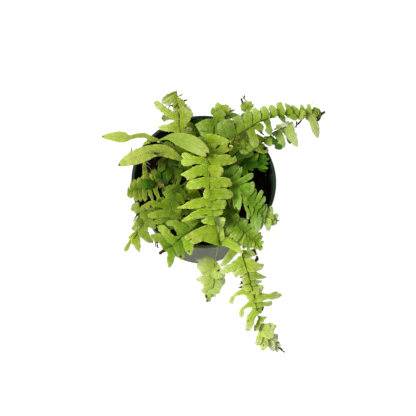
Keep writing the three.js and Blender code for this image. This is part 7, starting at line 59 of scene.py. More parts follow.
 {"name":"right_frond","mat":"mid","tone":1,"r0":0.71,"r1":0.36,"nst":8,"rod":[[3.29,-4.03,103.2],[3.43,-4.88,110.73],[2.99,-5.96,118.07],[2.37,-7.2,125.08],[1.94,-8.49,131.61],[2.12,-9.76,137.52],[3.28,-10.9,142.65],[5.83,-11.83,146.86],[10.16,-12.46,150.0],[12.35,-12.65,151.05],[14.62,-12.78,152.14],[16.85,-12.94,153.22],[18.94,-13.2,154.19],[20.76,-13.65,155.0],[22.28,-14.35,155.61],[23.55,-15.25,156.06],[24.67,-16.25,156.42],[25.72,-17.26,156.71],[26.79,-18.19,157.0],[27.82,-18.98,157.29],[28.76,-19.67,157.54],[29.69,-20.39,157.76],[30.68,-21.24,157.91],[31.82,-22.34,158.0],[33.13,-23.75,158.04],[34.57,-25.41,158.05],[36.08,-27.21,157.99],[37.62,-29.03,157.82],[39.14,-30.76,157.5],[40.63,-32.45,157.02],[42.14,-34.16,156.39],[43.66,-35.85,155.65],[45.18,-37.45,154.84],[46.7,-38.91,154.0],[48.21,-40.25,153.1],[49.71,-41.51,152.11],[51.21,-42.65,151.07],[52.75,-43.65,150.02],[54.33,-44.45,149.0],[55.98,-45.03,148.0],[57.7,-45.41,147.0],[59.44,-45.64,146.0],[61.16,-45.78,145.0],[62.81,-45.88,144.0],[64.39,-45.9,143.0],[65.94,-45.82,142.0],[67.44,-45.67,141.0],[68.92,-45.51,140.0],[70.36,-45.39,139.0],[71.76,-45.31,138.0],[73.1,-45.23,137.0],[74.43,-45.17,136.0],[75.74,-45.1,135.0],[77.07,-45.03,134.0]],"pin":[[[[21.68,-13.38,155.54],[23.98,-9.66,156.16],[26.54,-5.92,156.59],[29.34,-2.46,156.72],[32.21,0.09,156.3]],[-0.173,-0.357,0.918],[[-0.39,-2.59],[4.57,-3.9],[9.44,-3.83],[13.49,-2.69],[16.7,-1.29],[17.86,1.29],[11.33,3.72],[5.45,3.77],[0.3,3.84]],2],[[[27.76,-18.66,157.31],[30.56,-15.07,158.14],[32.91,-10.79,158.63],[34.81,-6.12,158.67],[36.22,-1.09,158.24]],[-0.111,-0.419,0.901],[[-0.59,-2.61],[5.56,-2.62],[11.98,-1.92],[19.83,0.0],[12.56,2.13],[6.06,2.71],[0.31,3.14]],2],[[[30.8,-21.35,157.92],[35.4,-18.44,158.87],[39.73,-15.13,159.4],[44.13,-11.65,159.41],[47.66,-7.97,158.92]],[-0.029,-0.306,0.951],[[-0.62,-2.08],[5.63,-2.94],[11.16,-2.82],[16.39,-2.38],[20.04,-1.74],[21.75,0.0],[19.6,1.74],[16.55,2.44],[12.23,2.8],[6.64,2.83],[1.02,3.38]],1],[[[35.56,-26.56,158.01],[39.17,-24.58,158.79],[42.76,-22.65,159.16],[46.29,-20.45,159.26],[48.02,-18.17,159.01]],[-0.093,-0.371,0.924],[[-0.4,-2.73],[4.38,-3.2],[8.2,-3.28],[12.1,-2.99],[15.43,-1.63],[15.24,1.63],[12.85,3.08],[9.89,3.31],[5.42,3.08],[0.66,3.06]],1],[[[39.52,-30.73,157.52],[42.33,-29.9,158.5],[44.86,-28.39,159.32],[47.13,-26.52,159.86],[48.59,-24.08,160.19]],[-0.076,-0.345,0.936],[[-1.15,-2.31],[4.19,-2.35],[8.84,-1.49],[12.03,0.0],[8.88,1.87],[4.78,2.53],[1.2,3.07]],2],[[[43.37,-34.91,156.05],[45.41,-33.81,156.31],[47.21,-32.34,156.5],[48.53,-30.36,156.69],[49.67,-28.19,156.74],[50.36,-25.76,156.69],[50.58,-23.34,156.43],[51.12,-22.2,155.95]],[-0.171,-0.265,0.949],[[-0.62,-2.38],[5.3,-2.56],[11.35,-1.71],[14.89,-1.41],[15.86,0.0],[12.01,1.67],[8.03,2.38],[4.06,2.84],[0.69,2.79]],2],[[[46.7,-38.91,154.0],[50.44,-35.94,154.66],[53.38,-32.1,154.96],[55.82,-27.64,154.81],[57.52,-23.12,154.0]],[-0.073,-0.309,0.948],[[0.04,-2.49],[5.19,-2.06],[10.91,-1.89],[17.28,-1.73],[20.06,-0.9],[19.28,0.9],[15.61,1.95],[10.4,2.01],[5.26,2.13],[0.29,2.69]],1],[[[50.62,-42.09,151.55],[53.75,-39.06,152.15],[56.46,-35.71,152.38],[58.98,-31.99,152.26],[60.98,-28.57,151.53]],[-0.223,-0.228,0.948],[[0.23,-2.65],[5.81,-2.28],[11.43,-2.2],[15.83,-1.93],[18.0,-0.95],[16.49,0.95],[13.4,2.05],[9.92,2.28],[5.31,2.41],[0.19,2.73]],1],[[[54.72,-44.37,148.9],[56.47,-41.66,149.35],[58.21,-39.25,149.43],[59.93,-36.8,149.26],[61.01,-34.38,148.83]],[-0.053,-0.257,0.965],[[0.36,-2.41],[4.82,-2.34],[8.88,-1.75],[11.92,0.0],[9.06,1.97],[5.08,2.29],[0.39,2.1]],1],[[[59.17,-45.42,146.26],[60.38,-42.48,146.64],[61.47,-39.65,146.78],[62.41,-36.7,146.77],[63.83,-34.74,146.19]],[-0.105,-0.205,0.973],[[0.39,-2.75],[5.42,-2.32],[9.81,-1.99],[12.5,-0.9],[11.21,0.91],[8.0,2.11],[4.94,2.32],[0.05,2.74]],0],[[[66.02,-45.84,141.93],[67.16,-42.65,142.35],[67.67,-39.52,142.54],[68.31,-36.62,142.44],[69.34,-34.21,141.94]],[-0.067,-0.379,0.923],[[-0.07,-3.81],[5.46,-4.39],[9.28,-2.84],[12.71,-1.24],[11.8,1.24],[7.4,3.17],[3.7,4.41],[0.54,4.69]],13],[[[71.93,-45.43,137.8],[72.79,-44.26,138.0],[73.19,-43.3,138.1],[73.69,-42.39,138.16],[74.15,-41.46,138.21],[74.79,-40.88,138.11],[75.49,-40.39,137.96]],[0.011,-0.171,0.985],[[0.36,-1.36],[3.16,-1.84],[4.86,-1.66],[6.93,-1.06],[6.88,1.05],[3.02,1.78],[0.61,1.82]],13],[[[28.19,-19.28,157.38],[29.08,-26.32,157.72],[30.78,-32.49,157.45],[31.77,-38.44,156.32],[32.27,-44.0,154.39]],[-0.188,-0.232,0.954],[[-1.88,2.83],[3.95,2.89],[9.66,1.9],[15.46,1.33],[20.81,1.22],[25.58,0.0],[21.03,-1.26],[14.9,-1.81],[8.74,-2.44],[2.48,-2.79]],2],[[[32.46,-23.31,157.98],[33.87,-29.65,158.06],[35.65,-35.05,157.55],[35.8,-40.38,156.13],[35.99,-45.02,154.03]],[-0.318,-0.307,0.897],[[-2.12,1.5],[3.52,2.56],[8.7,1.89],[15.05,1.97],[19.26,1.99],[22.85,0.0],[18.45,-1.89],[13.14,-2.43],[8.82,-2.23],[3.28,-1.94]],1],[[[35.98,-27.13,157.98],[37.06,-30.46,157.37],[38.01,-33.05,156.37],[38.68,-35.43,154.77],[38.7,-37.51,152.6]],[-0.15,-0.321,0.935],[[-1.89,1.14],[2.51,1.96],[7.13,1.23],[12.46,0.0],[9.63,-1.41],[6.69,-1.94],[2.98,-1.47]],2],[[[39.55,-31.1,157.41],[39.94,-32.1,157.49],[40.33,-32.96,157.49],[40.72,-33.78,157.37],[40.66,-35.03,156.89],[40.55,-35.86,156.16]],[-0.076,-0.237,0.969],[[-2.31,0.86],[1.82,1.45],[5.41,-0.0],[3.94,-2.2],[2.52,-0.7]],2],[[[42.76,-34.61,156.19],[42.45,-39.83,155.89],[44.22,-44.18,155.08],[45.87,-48.34,153.5],[45.98,-52.3,151.15]],[0.098,-0.309,0.946],[[-1.44,1.79],[2.87,1.66],[7.09,1.33],[12.25,0.91],[16.47,1.42],[19.75,0.64],[19.07,-0.64],[15.47,-1.42],[11.55,-1.33],[7.73,-0.65],[5.11,-1.45],[1.81,-2.5]],1],[[[46.68,-38.74,154.09],[47.75,-41.62,153.81],[48.08,-44.38,153.01],[48.31,-46.96,151.71],[47.92,-48.97,150.06]],[-0.173,-0.33,0.928],[[-2.8,0.95],[0.37,0.72],[6.13,1.14],[11.53,-0.0],[10.22,-1.21],[7.09,-1.32],[2.97,-1.46]],1],[[[50.62,-42.09,151.55],[50.93,-46.23,150.39],[51.24,-50.44,148.3],[51.63,-54.29,145.43],[52.04,-57.52,141.89]],[-0.029,-0.248,0.968],[[-2.84,2.33],[1.59,2.66],[7.37,2.7],[12.85,2.14],[18.67,0.0],[13.82,-2.49],[7.21,-2.82],[2.07,-2.31]],1],[[[54.94,-44.5,148.74],[55.54,-48.8,148.54],[55.93,-53.21,147.51],[56.47,-57.34,145.78],[56.99,-60.37,143.68]],[-0.14,-0.26,0.955],[[-2.46,2.29],[2.99,2.76],[8.65,3.03],[13.42,2.57],[17.24,0.77],[17.06,-0.76],[14.47,-2.54],[10.63,-3.02],[6.17,-2.85],[1.7,-2.53]],0],[[[58.53,-45.23,146.69],[59.69,-48.87,146.21],[59.87,-52.02,145.24],[59.89,-54.88,143.69],[59.82,-57.45,141.58]],[-0.025,-0.167,0.986],[[-1.07,1.11],[3.81,2.08],[9.0,1.42],[13.76,0.0],[9.28,-1.69],[4.94,-2.11],[2.07,-1.82]],0],[[[64.36,-46.32,142.8],[65.63,-49.47,142.53],[66.19,-52.44,141.58],[66.83,-55.12,139.99],[66.91,-56.97,137.96]],[-0.134,-0.26,0.956],[[-2.16,1.91],[2.27,2.64],[7.76,2.47],[12.02,0.85],[13.06,-0.84],[10.3,-2.03],[6.27,-2.89],[2.46,-2.97]],13],[[[70.86,-45.76,138.43],[71.35,-47.49,138.24],[71.52,-48.95,137.69],[71.48,-49.92,136.85],[71.51,-50.74,135.58]],[-0.256,-0.21,0.944],[[-1.06,1.76],[2.91,2.19],[6.19,0.0],[3.5,-2.35],[1.34,-2.27]],13]],"straps":[]},
 {"name":"right_low_frond","mat":"mid","tone":2,"r0":0.62,"r1":0.36,"nst":8,"rod":[[8.77,-5.78,103.2],[8.89,-6.65,108.44],[8.97,-8.0,113.31],[9.09,-9.79,117.76],[9.37,-11.97,121.75],[9.9,-14.51,125.21],[10.77,-17.36,128.1],[12.08,-20.47,130.38],[13.93,-23.82,132.0],[15.72,-26.68,133.06],[17.53,-29.61,134.17],[19.33,-32.51,135.25],[21.09,-35.28,136.22],[22.78,-37.85,137.0],[24.38,-40.21,137.56],[25.91,-42.4,137.97],[27.39,-44.45,138.25],[28.86,-46.37,138.42],[30.35,-48.18,138.5],[31.84,-49.84,138.48],[33.33,-51.36,138.35],[34.81,-52.77,138.13],[36.3,-54.09,137.84],[37.78,-55.39,137.5],[39.28,-56.63,137.1],[40.81,-57.8,136.63],[42.32,-58.92,136.11],[43.8,-59.99,135.56],[45.23,-61.02,135.0],[46.6,-62.02,134.44],[47.93,-62.97,133.86],[49.22,-63.88,133.26],[50.48,-64.75,132.64],[51.7,-65.58,132.0],[52.86,-66.34,131.33],[53.97,-67.05,130.64],[55.06,-67.73,129.92],[56.13,-68.4,129.21],[57.22,-69.08,128.5]],"pin":[[[[28.84,-46.21,138.43],[30.05,-52.05,138.7],[29.87,-57.05,138.37],[28.55,-61.37,137.38],[27.26,-64.71,135.83]],[-0.004,-0.422,0.907],[[-2.54,2.4],[3.64,3.94],[11.67,3.75],[16.75,2.37],[19.55,0.0],[16.18,-2.69],[12.02,-4.17],[7.95,-4.13],[4.22,-2.67]],3],[[[32.52,-51.02,138.31],[34.21,-48.99,139.51],[35.44,-47.35,140.5],[35.95,-45.74,141.42],[36.62,-44.32,142.2]],[-0.118,-0.416,0.902],[[0.69,-2.72],[6.86,-2.14],[8.86,0.0],[5.01,2.61],[0.54,2.92]],3],[[[35.71,-54.04,137.8],[37.81,-51.92,137.84],[40.03,-50.07,137.53],[42.21,-48.11,137.02],[43.83,-46.59,136.1]],[-0.076,-0.167,0.983],[[0.13,-2.51],[4.33,-2.43],[9.11,-1.83],[11.28,0.0],[9.71,1.72],[5.86,2.31],[0.27,2.06]],3],[[[38.87,-56.59,137.11],[41.03,-54.4,137.76],[43.25,-52.54,138.1],[45.3,-50.52,138.34],[46.72,-49.13,138.17]],[-0.1,-0.236,0.967],[[0.43,-2.79],[5.26,-2.68],[9.67,-1.91],[10.95,-0.0],[9.62,1.84],[6.18,2.61],[0.1,2.2]],3],[[[42.45,-58.98,136.08],[44.58,-57.02,136.64],[46.88,-55.24,137.01],[49.29,-53.57,137.21],[50.96,-52.47,137.07]],[-0.292,-0.236,0.927],[[-0.09,-2.67],[4.85,-2.45],[8.6,-2.03],[10.82,0.0],[9.98,1.88],[5.68,2.36],[0.19,2.23]],3],[[[46.26,-61.44,134.73],[48.39,-59.31,135.13],[50.79,-57.42,135.24],[53.3,-55.6,135.14],[55.28,-54.32,134.65]],[0.004,-0.074,0.997],[[-0.15,-2.76],[4.9,-2.33],[9.22,-1.92],[11.61,0.0],[10.37,1.76],[5.88,2.25],[0.24,2.05]],2],[[[49.92,-64.04,133.08],[51.96,-62.06,133.49],[54.37,-60.37,133.57],[56.78,-58.64,133.45],[58.59,-57.18,133.0]],[-0.035,-0.196,0.98],[[-0.08,-2.89],[4.18,-2.32],[8.4,-1.92],[11.16,0.0],[9.65,1.74],[5.38,2.33],[0.14,1.91]],2],[[[52.77,-66.13,131.48],[54.96,-64.03,131.77],[57.28,-61.95,131.66],[59.53,-59.65,131.24],[61.3,-57.31,130.44]],[-0.113,-0.219,0.969],[[-0.05,-2.07],[4.74,-1.85],[9.26,-1.54],[12.46,0.0],[9.89,1.48],[5.58,1.91],[0.15,1.64]],2],[[[55.44,-67.97,129.67],[57.41,-65.98,129.93],[59.41,-64.06,129.82],[61.4,-62.0,129.44],[63.06,-60.09,128.67]],[0.112,-0.246,0.963],[[0.1,-1.95],[4.74,-1.72],[8.67,-1.4],[11.12,0.0],[9.12,1.38],[5.19,1.74],[0.16,1.66]],2],[[[57.84,-69.39,128.38],[59.69,-68.47,128.59],[61.39,-67.41,128.51],[63.09,-66.3,128.1],[64.04,-64.81,127.5]],[-0.061,-0.102,0.993],[[-0.26,-1.39],[3.58,-1.79],[8.04,0.0],[6.2,1.36],[3.3,1.92],[0.53,1.28]],1],[[[34.29,-53.39,137.89],[33.87,-55.52,137.38],[33.34,-57.17,136.69],[32.42,-58.55,135.75],[31.41,-59.76,134.52],[30.19,-60.4,133.16],[28.81,-60.57,131.63],[27.9,-60.62,130.43]],[0.097,-0.346,0.933],[[-1.05,1.94],[3.27,2.13],[9.07,1.93],[13.53,-0.0],[9.39,-2.49],[5.28,-2.43],[1.72,-2.33]],4],[[[37.25,-55.98,137.28],[36.16,-60.19,136.64],[34.14,-63.18,135.41],[31.78,-65.49,133.39],[29.15,-66.97,130.64]],[-0.062,-0.164,0.984],[[-0.64,1.85],[4.92,2.35],[11.78,1.68],[16.2,0.0],[11.05,-2.16],[5.64,-2.56],[1.72,-2.55]],2],[[[40.41,-58.27,136.45],[39.27,-62.98,137.32],[37.63,-66.83,137.74],[35.74,-70.21,137.56],[33.58,-72.75,136.92]],[-0.185,-0.315,0.931],[[-0.81,2.04],[5.35,2.54],[12.41,1.98],[16.42,-0.0],[12.63,-2.26],[7.04,-2.69],[1.88,-2.51]],2],[[[43.61,-60.65,135.27],[42.77,-64.81,135.23],[41.86,-68.36,134.61],[41.1,-71.64,133.28],[40.15,-74.1,131.46]],[-0.106,-0.343,0.933],[[-0.9,2.05],[4.69,2.58],[10.36,2.35],[14.8,0.0],[11.86,-2.07],[6.66,-2.58],[1.66,-2.44]],1],[[[46.82,-62.99,133.96],[46.3,-66.73,133.88],[45.78,-70.03,133.24],[45.57,-73.09,131.93],[45.05,-75.46,130.15]],[-0.017,-0.206,0.978],[[-1.02,1.81],[4.39,2.48],[9.04,2.08],[13.54,0.0],[10.89,-1.81],[6.2,-2.35],[1.53,-2.3]],2],[[[49.82,-64.94,132.64],[49.73,-68.09,132.47],[49.65,-70.89,131.77],[49.75,-73.46,130.5],[49.49,-75.44,128.79]],[0.028,-0.236,0.971],[[-1.22,1.49],[3.33,2.24],[7.41,1.85],[11.56,-0.0],[9.3,-1.67],[5.76,-2.16],[1.57,-1.92]],2],[[[52.88,-66.98,130.95],[53.1,-69.04,130.79],[53.16,-70.78,130.28],[52.95,-72.2,129.41],[52.79,-73.49,128.1]],[-0.152,-0.301,0.941],[[-1.27,1.11],[2.85,1.64],[7.43,0.0],[4.35,-1.69],[1.66,-1.48]],1],[[[55.31,-68.51,129.37],[56.08,-70.54,129.21],[56.53,-72.29,128.7],[56.44,-73.76,127.82],[56.41,-75.12,126.52]],[-0.141,-0.163,0.977],[[-0.99,0.51],[2.71,1.76],[7.67,0.0],[4.42,-1.83],[1.59,-1.13]],2],[[[58.29,-69.9,128.18],[59.77,-70.25,127.75],[60.52,-70.87,127.02],[61.29,-71.45,126.11],[61.66,-72.04,125.01],[61.89,-72.6,123.73],[62.15,-73.11,122.28],[62.33,-73.42,121.22]],[-0.171,-0.227,0.959],[[-0.71,-0.15],[3.29,1.89],[9.55,0.0],[4.63,-2.17],[1.67,-1.08]],1]],"straps":[]},
 {"name":"right_inner_frond","mat":"dark","tone":4,"r0":0.52,"r1":0.36,"nst":8,"rod":[[9.81,3.74,103.2],[10.18,3.99,106.33],[10.64,4.36,109.31],[11.26,4.84,112.08],[12.07,5.41,114.6],[13.12,6.08,116.8],[14.44,6.84,118.64],[16.09,7.68,120.06],[18.1,8.59,121.0],[20.11,9.44,121.62],[22.11,10.29,122.27],[24.11,11.14,122.91],[26.12,12.0,123.5],[28.13,12.86,124.0],[30.14,13.73,124.41],[32.16,14.62,124.76],[34.18,15.5,125.04],[36.2,16.39,125.29],[38.24,17.27,125.5],[40.3,18.15,125.69],[42.41,19.04,125.84],[44.5,19.92,125.96],[46.54,20.78,126.01],[48.47,21.61,126.0],[50.27,22.4,125.9],[51.96,23.15,125.71],[53.59,23.88,125.47],[55.21,24.61,125.22],[56.86,25.35,125.0]],"pin":[[[[22.14,10.08,122.18],[22.19,13.77,122.91],[21.74,17.23,123.32],[21.76,20.41,123.39],[21.68,23.61,123.25]],[0.069,-0.403,0.913],[[-0.77,-2.47],[7.13,-3.39],[13.67,0.0],[8.97,3.3],[1.6,3.44]],4],[[[27.54,12.44,123.78],[27.78,16.08,124.49],[27.73,19.59,124.91],[28.1,22.83,124.99],[28.18,26.09,124.83]],[0.077,-0.107,0.991],[[-1.13,-2.6],[6.63,-3.28],[13.79,0.0],[9.58,3.09],[1.69,3.16]],4],[[[32.79,14.62,124.74],[33.24,18.24,125.77],[33.4,21.62,126.52],[34.22,24.66,126.94],[34.66,27.71,127.16]],[-0.027,-0.283,0.959],[[-1.2,-2.53],[6.63,-3.25],[13.53,0.0],[9.93,2.87],[1.96,3.0]],3],[[[38.05,16.95,125.39],[38.76,20.69,125.82],[39.19,24.23,125.93],[40.26,27.37,125.65],[41.04,30.61,125.15]],[-0.055,-0.421,0.906],[[-1.42,-2.45],[6.66,-3.23],[14.1,-0.0],[10.19,2.86],[2.24,2.88]],4],[[[43.36,19.18,125.8],[44.31,22.45,126.46],[44.98,25.57,126.9],[46.24,28.18,126.97],[47.21,30.83,126.89]],[-0.01,-0.484,0.875],[[-1.66,-2.32],[5.97,-3.33],[12.42,0.0],[9.39,2.95],[2.3,2.75]],4],[[[48.48,21.51,125.97],[49.67,23.94,127.11],[50.75,26.22,128.14],[52.14,27.99,128.91],[53.28,29.81,129.64]],[-0.216,-0.308,0.926],[[-1.85,-2.11],[4.56,-3.24],[10.31,0.0],[7.79,2.79],[2.23,2.37]],3],[[[53.28,23.66,125.49],[54.77,25.88,126.06],[56.37,28.09,126.45],[58.09,30.03,126.55],[59.72,32.11,126.52]],[-0.077,-0.317,0.945],[[-2.07,-1.6],[4.1,-2.74],[10.72,-0.0],[7.23,2.48],[2.08,1.6]],11],[[[56.44,25.16,125.06],[58.12,26.09,126.11],[59.8,27.18,127.09],[61.36,28.27,127.95],[62.93,29.42,128.7]],[-0.116,-0.338,0.934],[[-0.41,-0.99],[4.1,-1.65],[8.6,0.0],[4.43,1.65],[0.31,1.17]],4],[[[56.87,25.25,124.97],[59.33,24.98,125.33],[61.79,25.38,125.49],[64.02,26.41,125.43],[66.31,27.64,125.0]],[-0.095,-0.398,0.913],[[-0.34,-0.81],[4.48,-1.68],[10.1,0.0],[5.0,1.61],[0.52,1.85]],4],[[[22.14,10.08,122.18],[24.16,7.5,121.91],[25.39,4.89,121.01],[26.2,2.79,119.7],[26.91,0.95,117.88]],[-0.024,-0.409,0.912],[[-0.54,2.2],[6.82,2.99],[11.62,0.0],[6.86,-3.06],[1.28,-3.78]],3],[[[27.56,12.24,123.7],[29.33,9.33,123.73],[30.62,6.54,123.2],[31.4,4.26,122.26],[32.07,2.24,120.82]],[-0.061,-0.326,0.943],[[-0.32,2.7],[6.75,3.19],[11.71,0.0],[6.96,-3.24],[0.71,-3.71]],3],[[[32.83,14.23,124.59],[34.93,11.92,124.12],[36.47,9.64,122.98],[37.44,7.79,121.33],[38.29,6.21,119.1]],[-0.11,-0.303,0.947],[[-0.75,2.33],[6.23,2.97],[11.68,0.0],[6.78,-3.04],[1.26,-3.56]],4],[[[38.11,16.36,125.18],[40.89,12.01,125.1],[42.25,8.45,124.46],[43.41,5.23,123.09],[43.38,2.59,121.09]],[0.045,-0.334,0.942],[[2.09,2.16],[9.54,2.74],[16.07,0.0],[12.92,-1.9],[7.65,-2.92],[0.32,-3.66]],3],[[[43.38,18.98,125.74],[45.83,16.88,125.71],[47.59,14.97,125.2],[48.8,13.42,124.27],[50.0,12.17,122.89]],[0.149,-0.377,0.914],[[-0.93,2.36],[5.99,2.99],[10.28,0.0],[6.59,-3.11],[2.01,-3.33]],4],[[[48.5,21.31,125.9],[50.97,19.65,125.82],[52.74,18.14,125.26],[54.24,17.19,124.37],[55.46,16.42,123.0]],[0.055,-0.29,0.956],[[-1.14,1.95],[4.98,2.76],[9.36,0.0],[7.31,-2.73],[2.26,-2.83]],4],[[[53.73,23.55,125.34],[55.97,22.58,124.41],[57.68,21.79,122.9],[59.33,21.6,120.98],[60.7,21.53,118.46]],[-0.105,-0.149,0.983],[[-1.23,1.37],[3.54,2.56],[10.45,0.0],[8.52,-2.45],[2.16,-2.3]],11],[[[55.45,23.92,124.96],[58.05,22.09,125.32],[60.61,21.38,125.39],[63.39,21.61,125.11],[66.24,22.12,124.23]],[-0.019,-0.364,0.931],[[-0.34,1.3],[4.14,2.27],[11.72,0.0],[7.1,-1.43],[0.93,-1.2]],4],[[[55.49,23.52,124.84],[56.46,20.24,126.03],[57.47,17.89,127.26],[58.66,15.97,128.35],[60.33,14.88,129.44],[62.06,13.99,130.3],[63.81,13.23,130.9],[65.0,12.79,131.15]],[-0.008,-0.357,0.934],[[1.39,2.09],[8.35,2.35],[16.68,-0.0],[10.62,-1.48],[0.77,-1.32]],4],[[[54.88,22.97,124.86],[56.01,20.09,123.68],[57.07,18.64,122.45],[58.17,17.44,120.73],[60.05,17.13,118.75],[62.22,17.4,116.39],[64.41,18.02,113.57],[65.91,18.56,111.41]],[-0.003,-0.45,0.893],[[1.03,1.98],[7.78,1.68],[12.02,1.43],[20.17,0.0],[14.59,-1.21],[9.75,-1.28],[1.43,-1.38]],3]],"straps":[]},
 {"name":"rosette_frond","mat":"mid","tone":1,"r0":0.52,"r1":0.36,"nst":8,"rod":[[8.24,6.51,103.2],[8.97,6.99,108.3],[10.12,7.67,113.01],[11.65,8.59,117.28],[13.5,9.8,121.09],[15.61,11.32,124.4],[17.94,13.2,127.18],[20.43,15.48,129.39],[23.03,18.19,131.0],[24.5,19.85,131.73],[25.96,21.49,132.5],[27.43,23.14,133.24],[28.94,24.81,133.93],[30.51,26.52,134.5],[32.17,28.27,134.93],[33.9,30.05,135.24],[35.67,31.85,135.5],[37.44,33.66,135.73],[39.2,35.46,136.0]],"pin":[[[[38.81,33.85,135.62],[38.88,29.73,135.95],[38.86,26.93,136.04],[38.66,25.52,135.93],[38.5,24.43,135.2]],[-0.01,-0.446,0.895],[[1.57,4.22],[7.93,4.11],[9.7,0.0],[6.67,-4.17],[0.89,-4.31]],2],[[[39.46,32.5,135.19],[39.18,39.39,134.51],[38.95,45.65,133.17],[38.95,51.89,131.41],[39.56,57.21,128.89]],[-0.127,-0.497,0.858],[[1.2,-4.19],[11.31,-4.93],[19.6,-4.31],[26.16,-2.1],[25.37,2.09],[17.92,4.26],[10.35,4.77],[1.01,4.57]],1],[[[34.37,30.28,135.25],[31.55,33.18,136.19],[30.04,35.71,137.05],[28.71,37.95,137.87],[27.87,39.03,138.29]],[0.072,-0.314,0.947],[[1.55,-3.33],[4.95,-4.9],[8.8,-3.83],[11.39,-0.0],[10.15,3.29],[6.85,4.88],[0.78,2.77]],1],[[[34.87,30.57,135.26],[31.55,36.64,135.64],[28.73,41.45,135.04],[26.19,46.46,134.01],[24.41,50.34,132.05]],[0.179,-0.431,0.884],[[2.24,-2.99],[10.31,-6.21],[17.35,-4.43],[22.97,0.0],[18.19,5.49],[9.23,5.71],[1.49,3.99]],1],[[[40.32,34.68,135.7],[45.48,34.13,135.09],[49.89,34.84,134.15],[54.19,35.78,132.47],[57.81,36.16,129.75]],[-0.132,-0.486,0.864],[[2.14,3.73],[5.94,4.29],[11.28,3.64],[19.07,0.0],[14.39,-2.72],[9.54,-3.96],[3.24,-4.06],[-0.04,-2.55]],2],[[[29.62,24.95,133.96],[27.17,27.37,134.4],[25.39,29.21,134.52],[23.97,30.45,134.31],[22.85,31.82,134.06]],[-0.022,-0.499,0.866],[[1.18,-3.67],[7.62,-3.57],[9.72,0.0],[5.39,4.08],[0.58,3.25]],3],[[[27.74,22.95,133.16],[33.75,23.25,133.38],[36.38,23.43,133.11],[38.4,23.56,132.37],[40.4,23.86,131.25]],[-0.177,-0.331,0.927],[[3.21,3.03],[8.73,3.36],[13.15,0.0],[8.99,-3.39],[3.63,-3.24]],4],[[[32.45,28.17,134.87],[38.55,25.81,134.89],[42.38,25.53,134.62],[46.25,26.61,133.77],[49.52,27.98,131.94]],[-0.071,-0.39,0.918],[[3.14,4.05],[7.9,4.11],[12.99,2.95],[18.53,0.0],[14.79,-2.77],[9.8,-3.34],[1.92,-4.1]],4]],"straps":[]},
 {"name":"dark_leaflets_left","mat":"dark","tone":4,"r0":0.47,"r1":0.36,"nst":8,"rod":[[-9.55,-4.37,103.2],[-10.57,-5.51,108.33],[-12.41,-7.8,112.39],[-14.91,-10.8,115.63],[-17.88,-14.03,118.28],[-21.17,-17.04,120.6],[-24.59,-19.36,122.84],[-27.97,-20.55,125.22],[-31.15,-20.13,128.0],[-32.49,-19.52,129.36],[-33.82,-18.92,130.77],[-35.16,-18.32,132.15],[-36.5,-17.69,133.42],[-37.85,-17.0,134.5],[-39.23,-16.12,135.36],[-40.64,-15.07,136.07],[-42.05,-14.05,136.65],[-43.43,-13.25,137.12],[-44.76,-12.86,137.5],[-46.02,-13.02,137.76],[-47.23,-13.57,137.88],[-48.42,-14.35,137.92],[-49.6,-15.2,137.94],[-50.79,-15.92,138.0]],"pin":[[[[-38.78,-16.63,134.94],[-39.5,-12.38,135.62],[-40.43,-8.3,136.13],[-41.33,-4.54,136.43],[-42.08,-2.39,136.0]],[0.013,-0.445,0.896],[[1.45,-2.96],[7.47,-4.74],[12.77,-4.61],[15.72,-1.94],[13.76,1.93],[11.81,3.96],[7.69,4.69],[3.2,4.2],[-0.37,2.2]],4],[[[-51.35,-16.35,137.84],[-52.93,-18.37,137.89],[-54.26,-19.73,138.02],[-56.16,-19.73,138.51],[-57.94,-20.71,138.45],[-59.23,-21.59,138.25],[-60.06,-21.79,138.15]],[0.243,-0.105,0.964],[[-0.11,2.69],[6.15,3.11],[7.01,4.83],[9.09,4.18],[12.23,1.42],[10.75,-1.46],[9.98,-4.44],[4.95,-3.89],[4.34,-4.65],[3.49,-3.42],[1.01,-2.15]],4],[[[-36.82,-17.44,133.74],[-36.12,-20.75,133.4],[-35.7,-22.35,133.41],[-36.03,-23.9,133.15],[-36.06,-25.23,132.67],[-36.41,-26.01,132.11],[-36.98,-26.5,131.36]],[0.119,-0.32,0.94],[[2.05,3.31],[7.12,3.9],[10.9,-0.01],[8.31,-3.25],[4.95,-4.15],[1.54,-3.19]],4],[[[-45.72,-13.23,137.6],[-45.75,-11.13,138.68],[-45.97,-9.6,139.51],[-46.12,-8.2,140.28],[-46.84,-7.5,140.76]],[0.08,-0.328,0.941],[[1.06,-1.69],[4.22,-2.07],[6.85,-0.0],[5.68,1.56],[3.1,2.26],[0.13,1.59]],4]],"straps":[]},
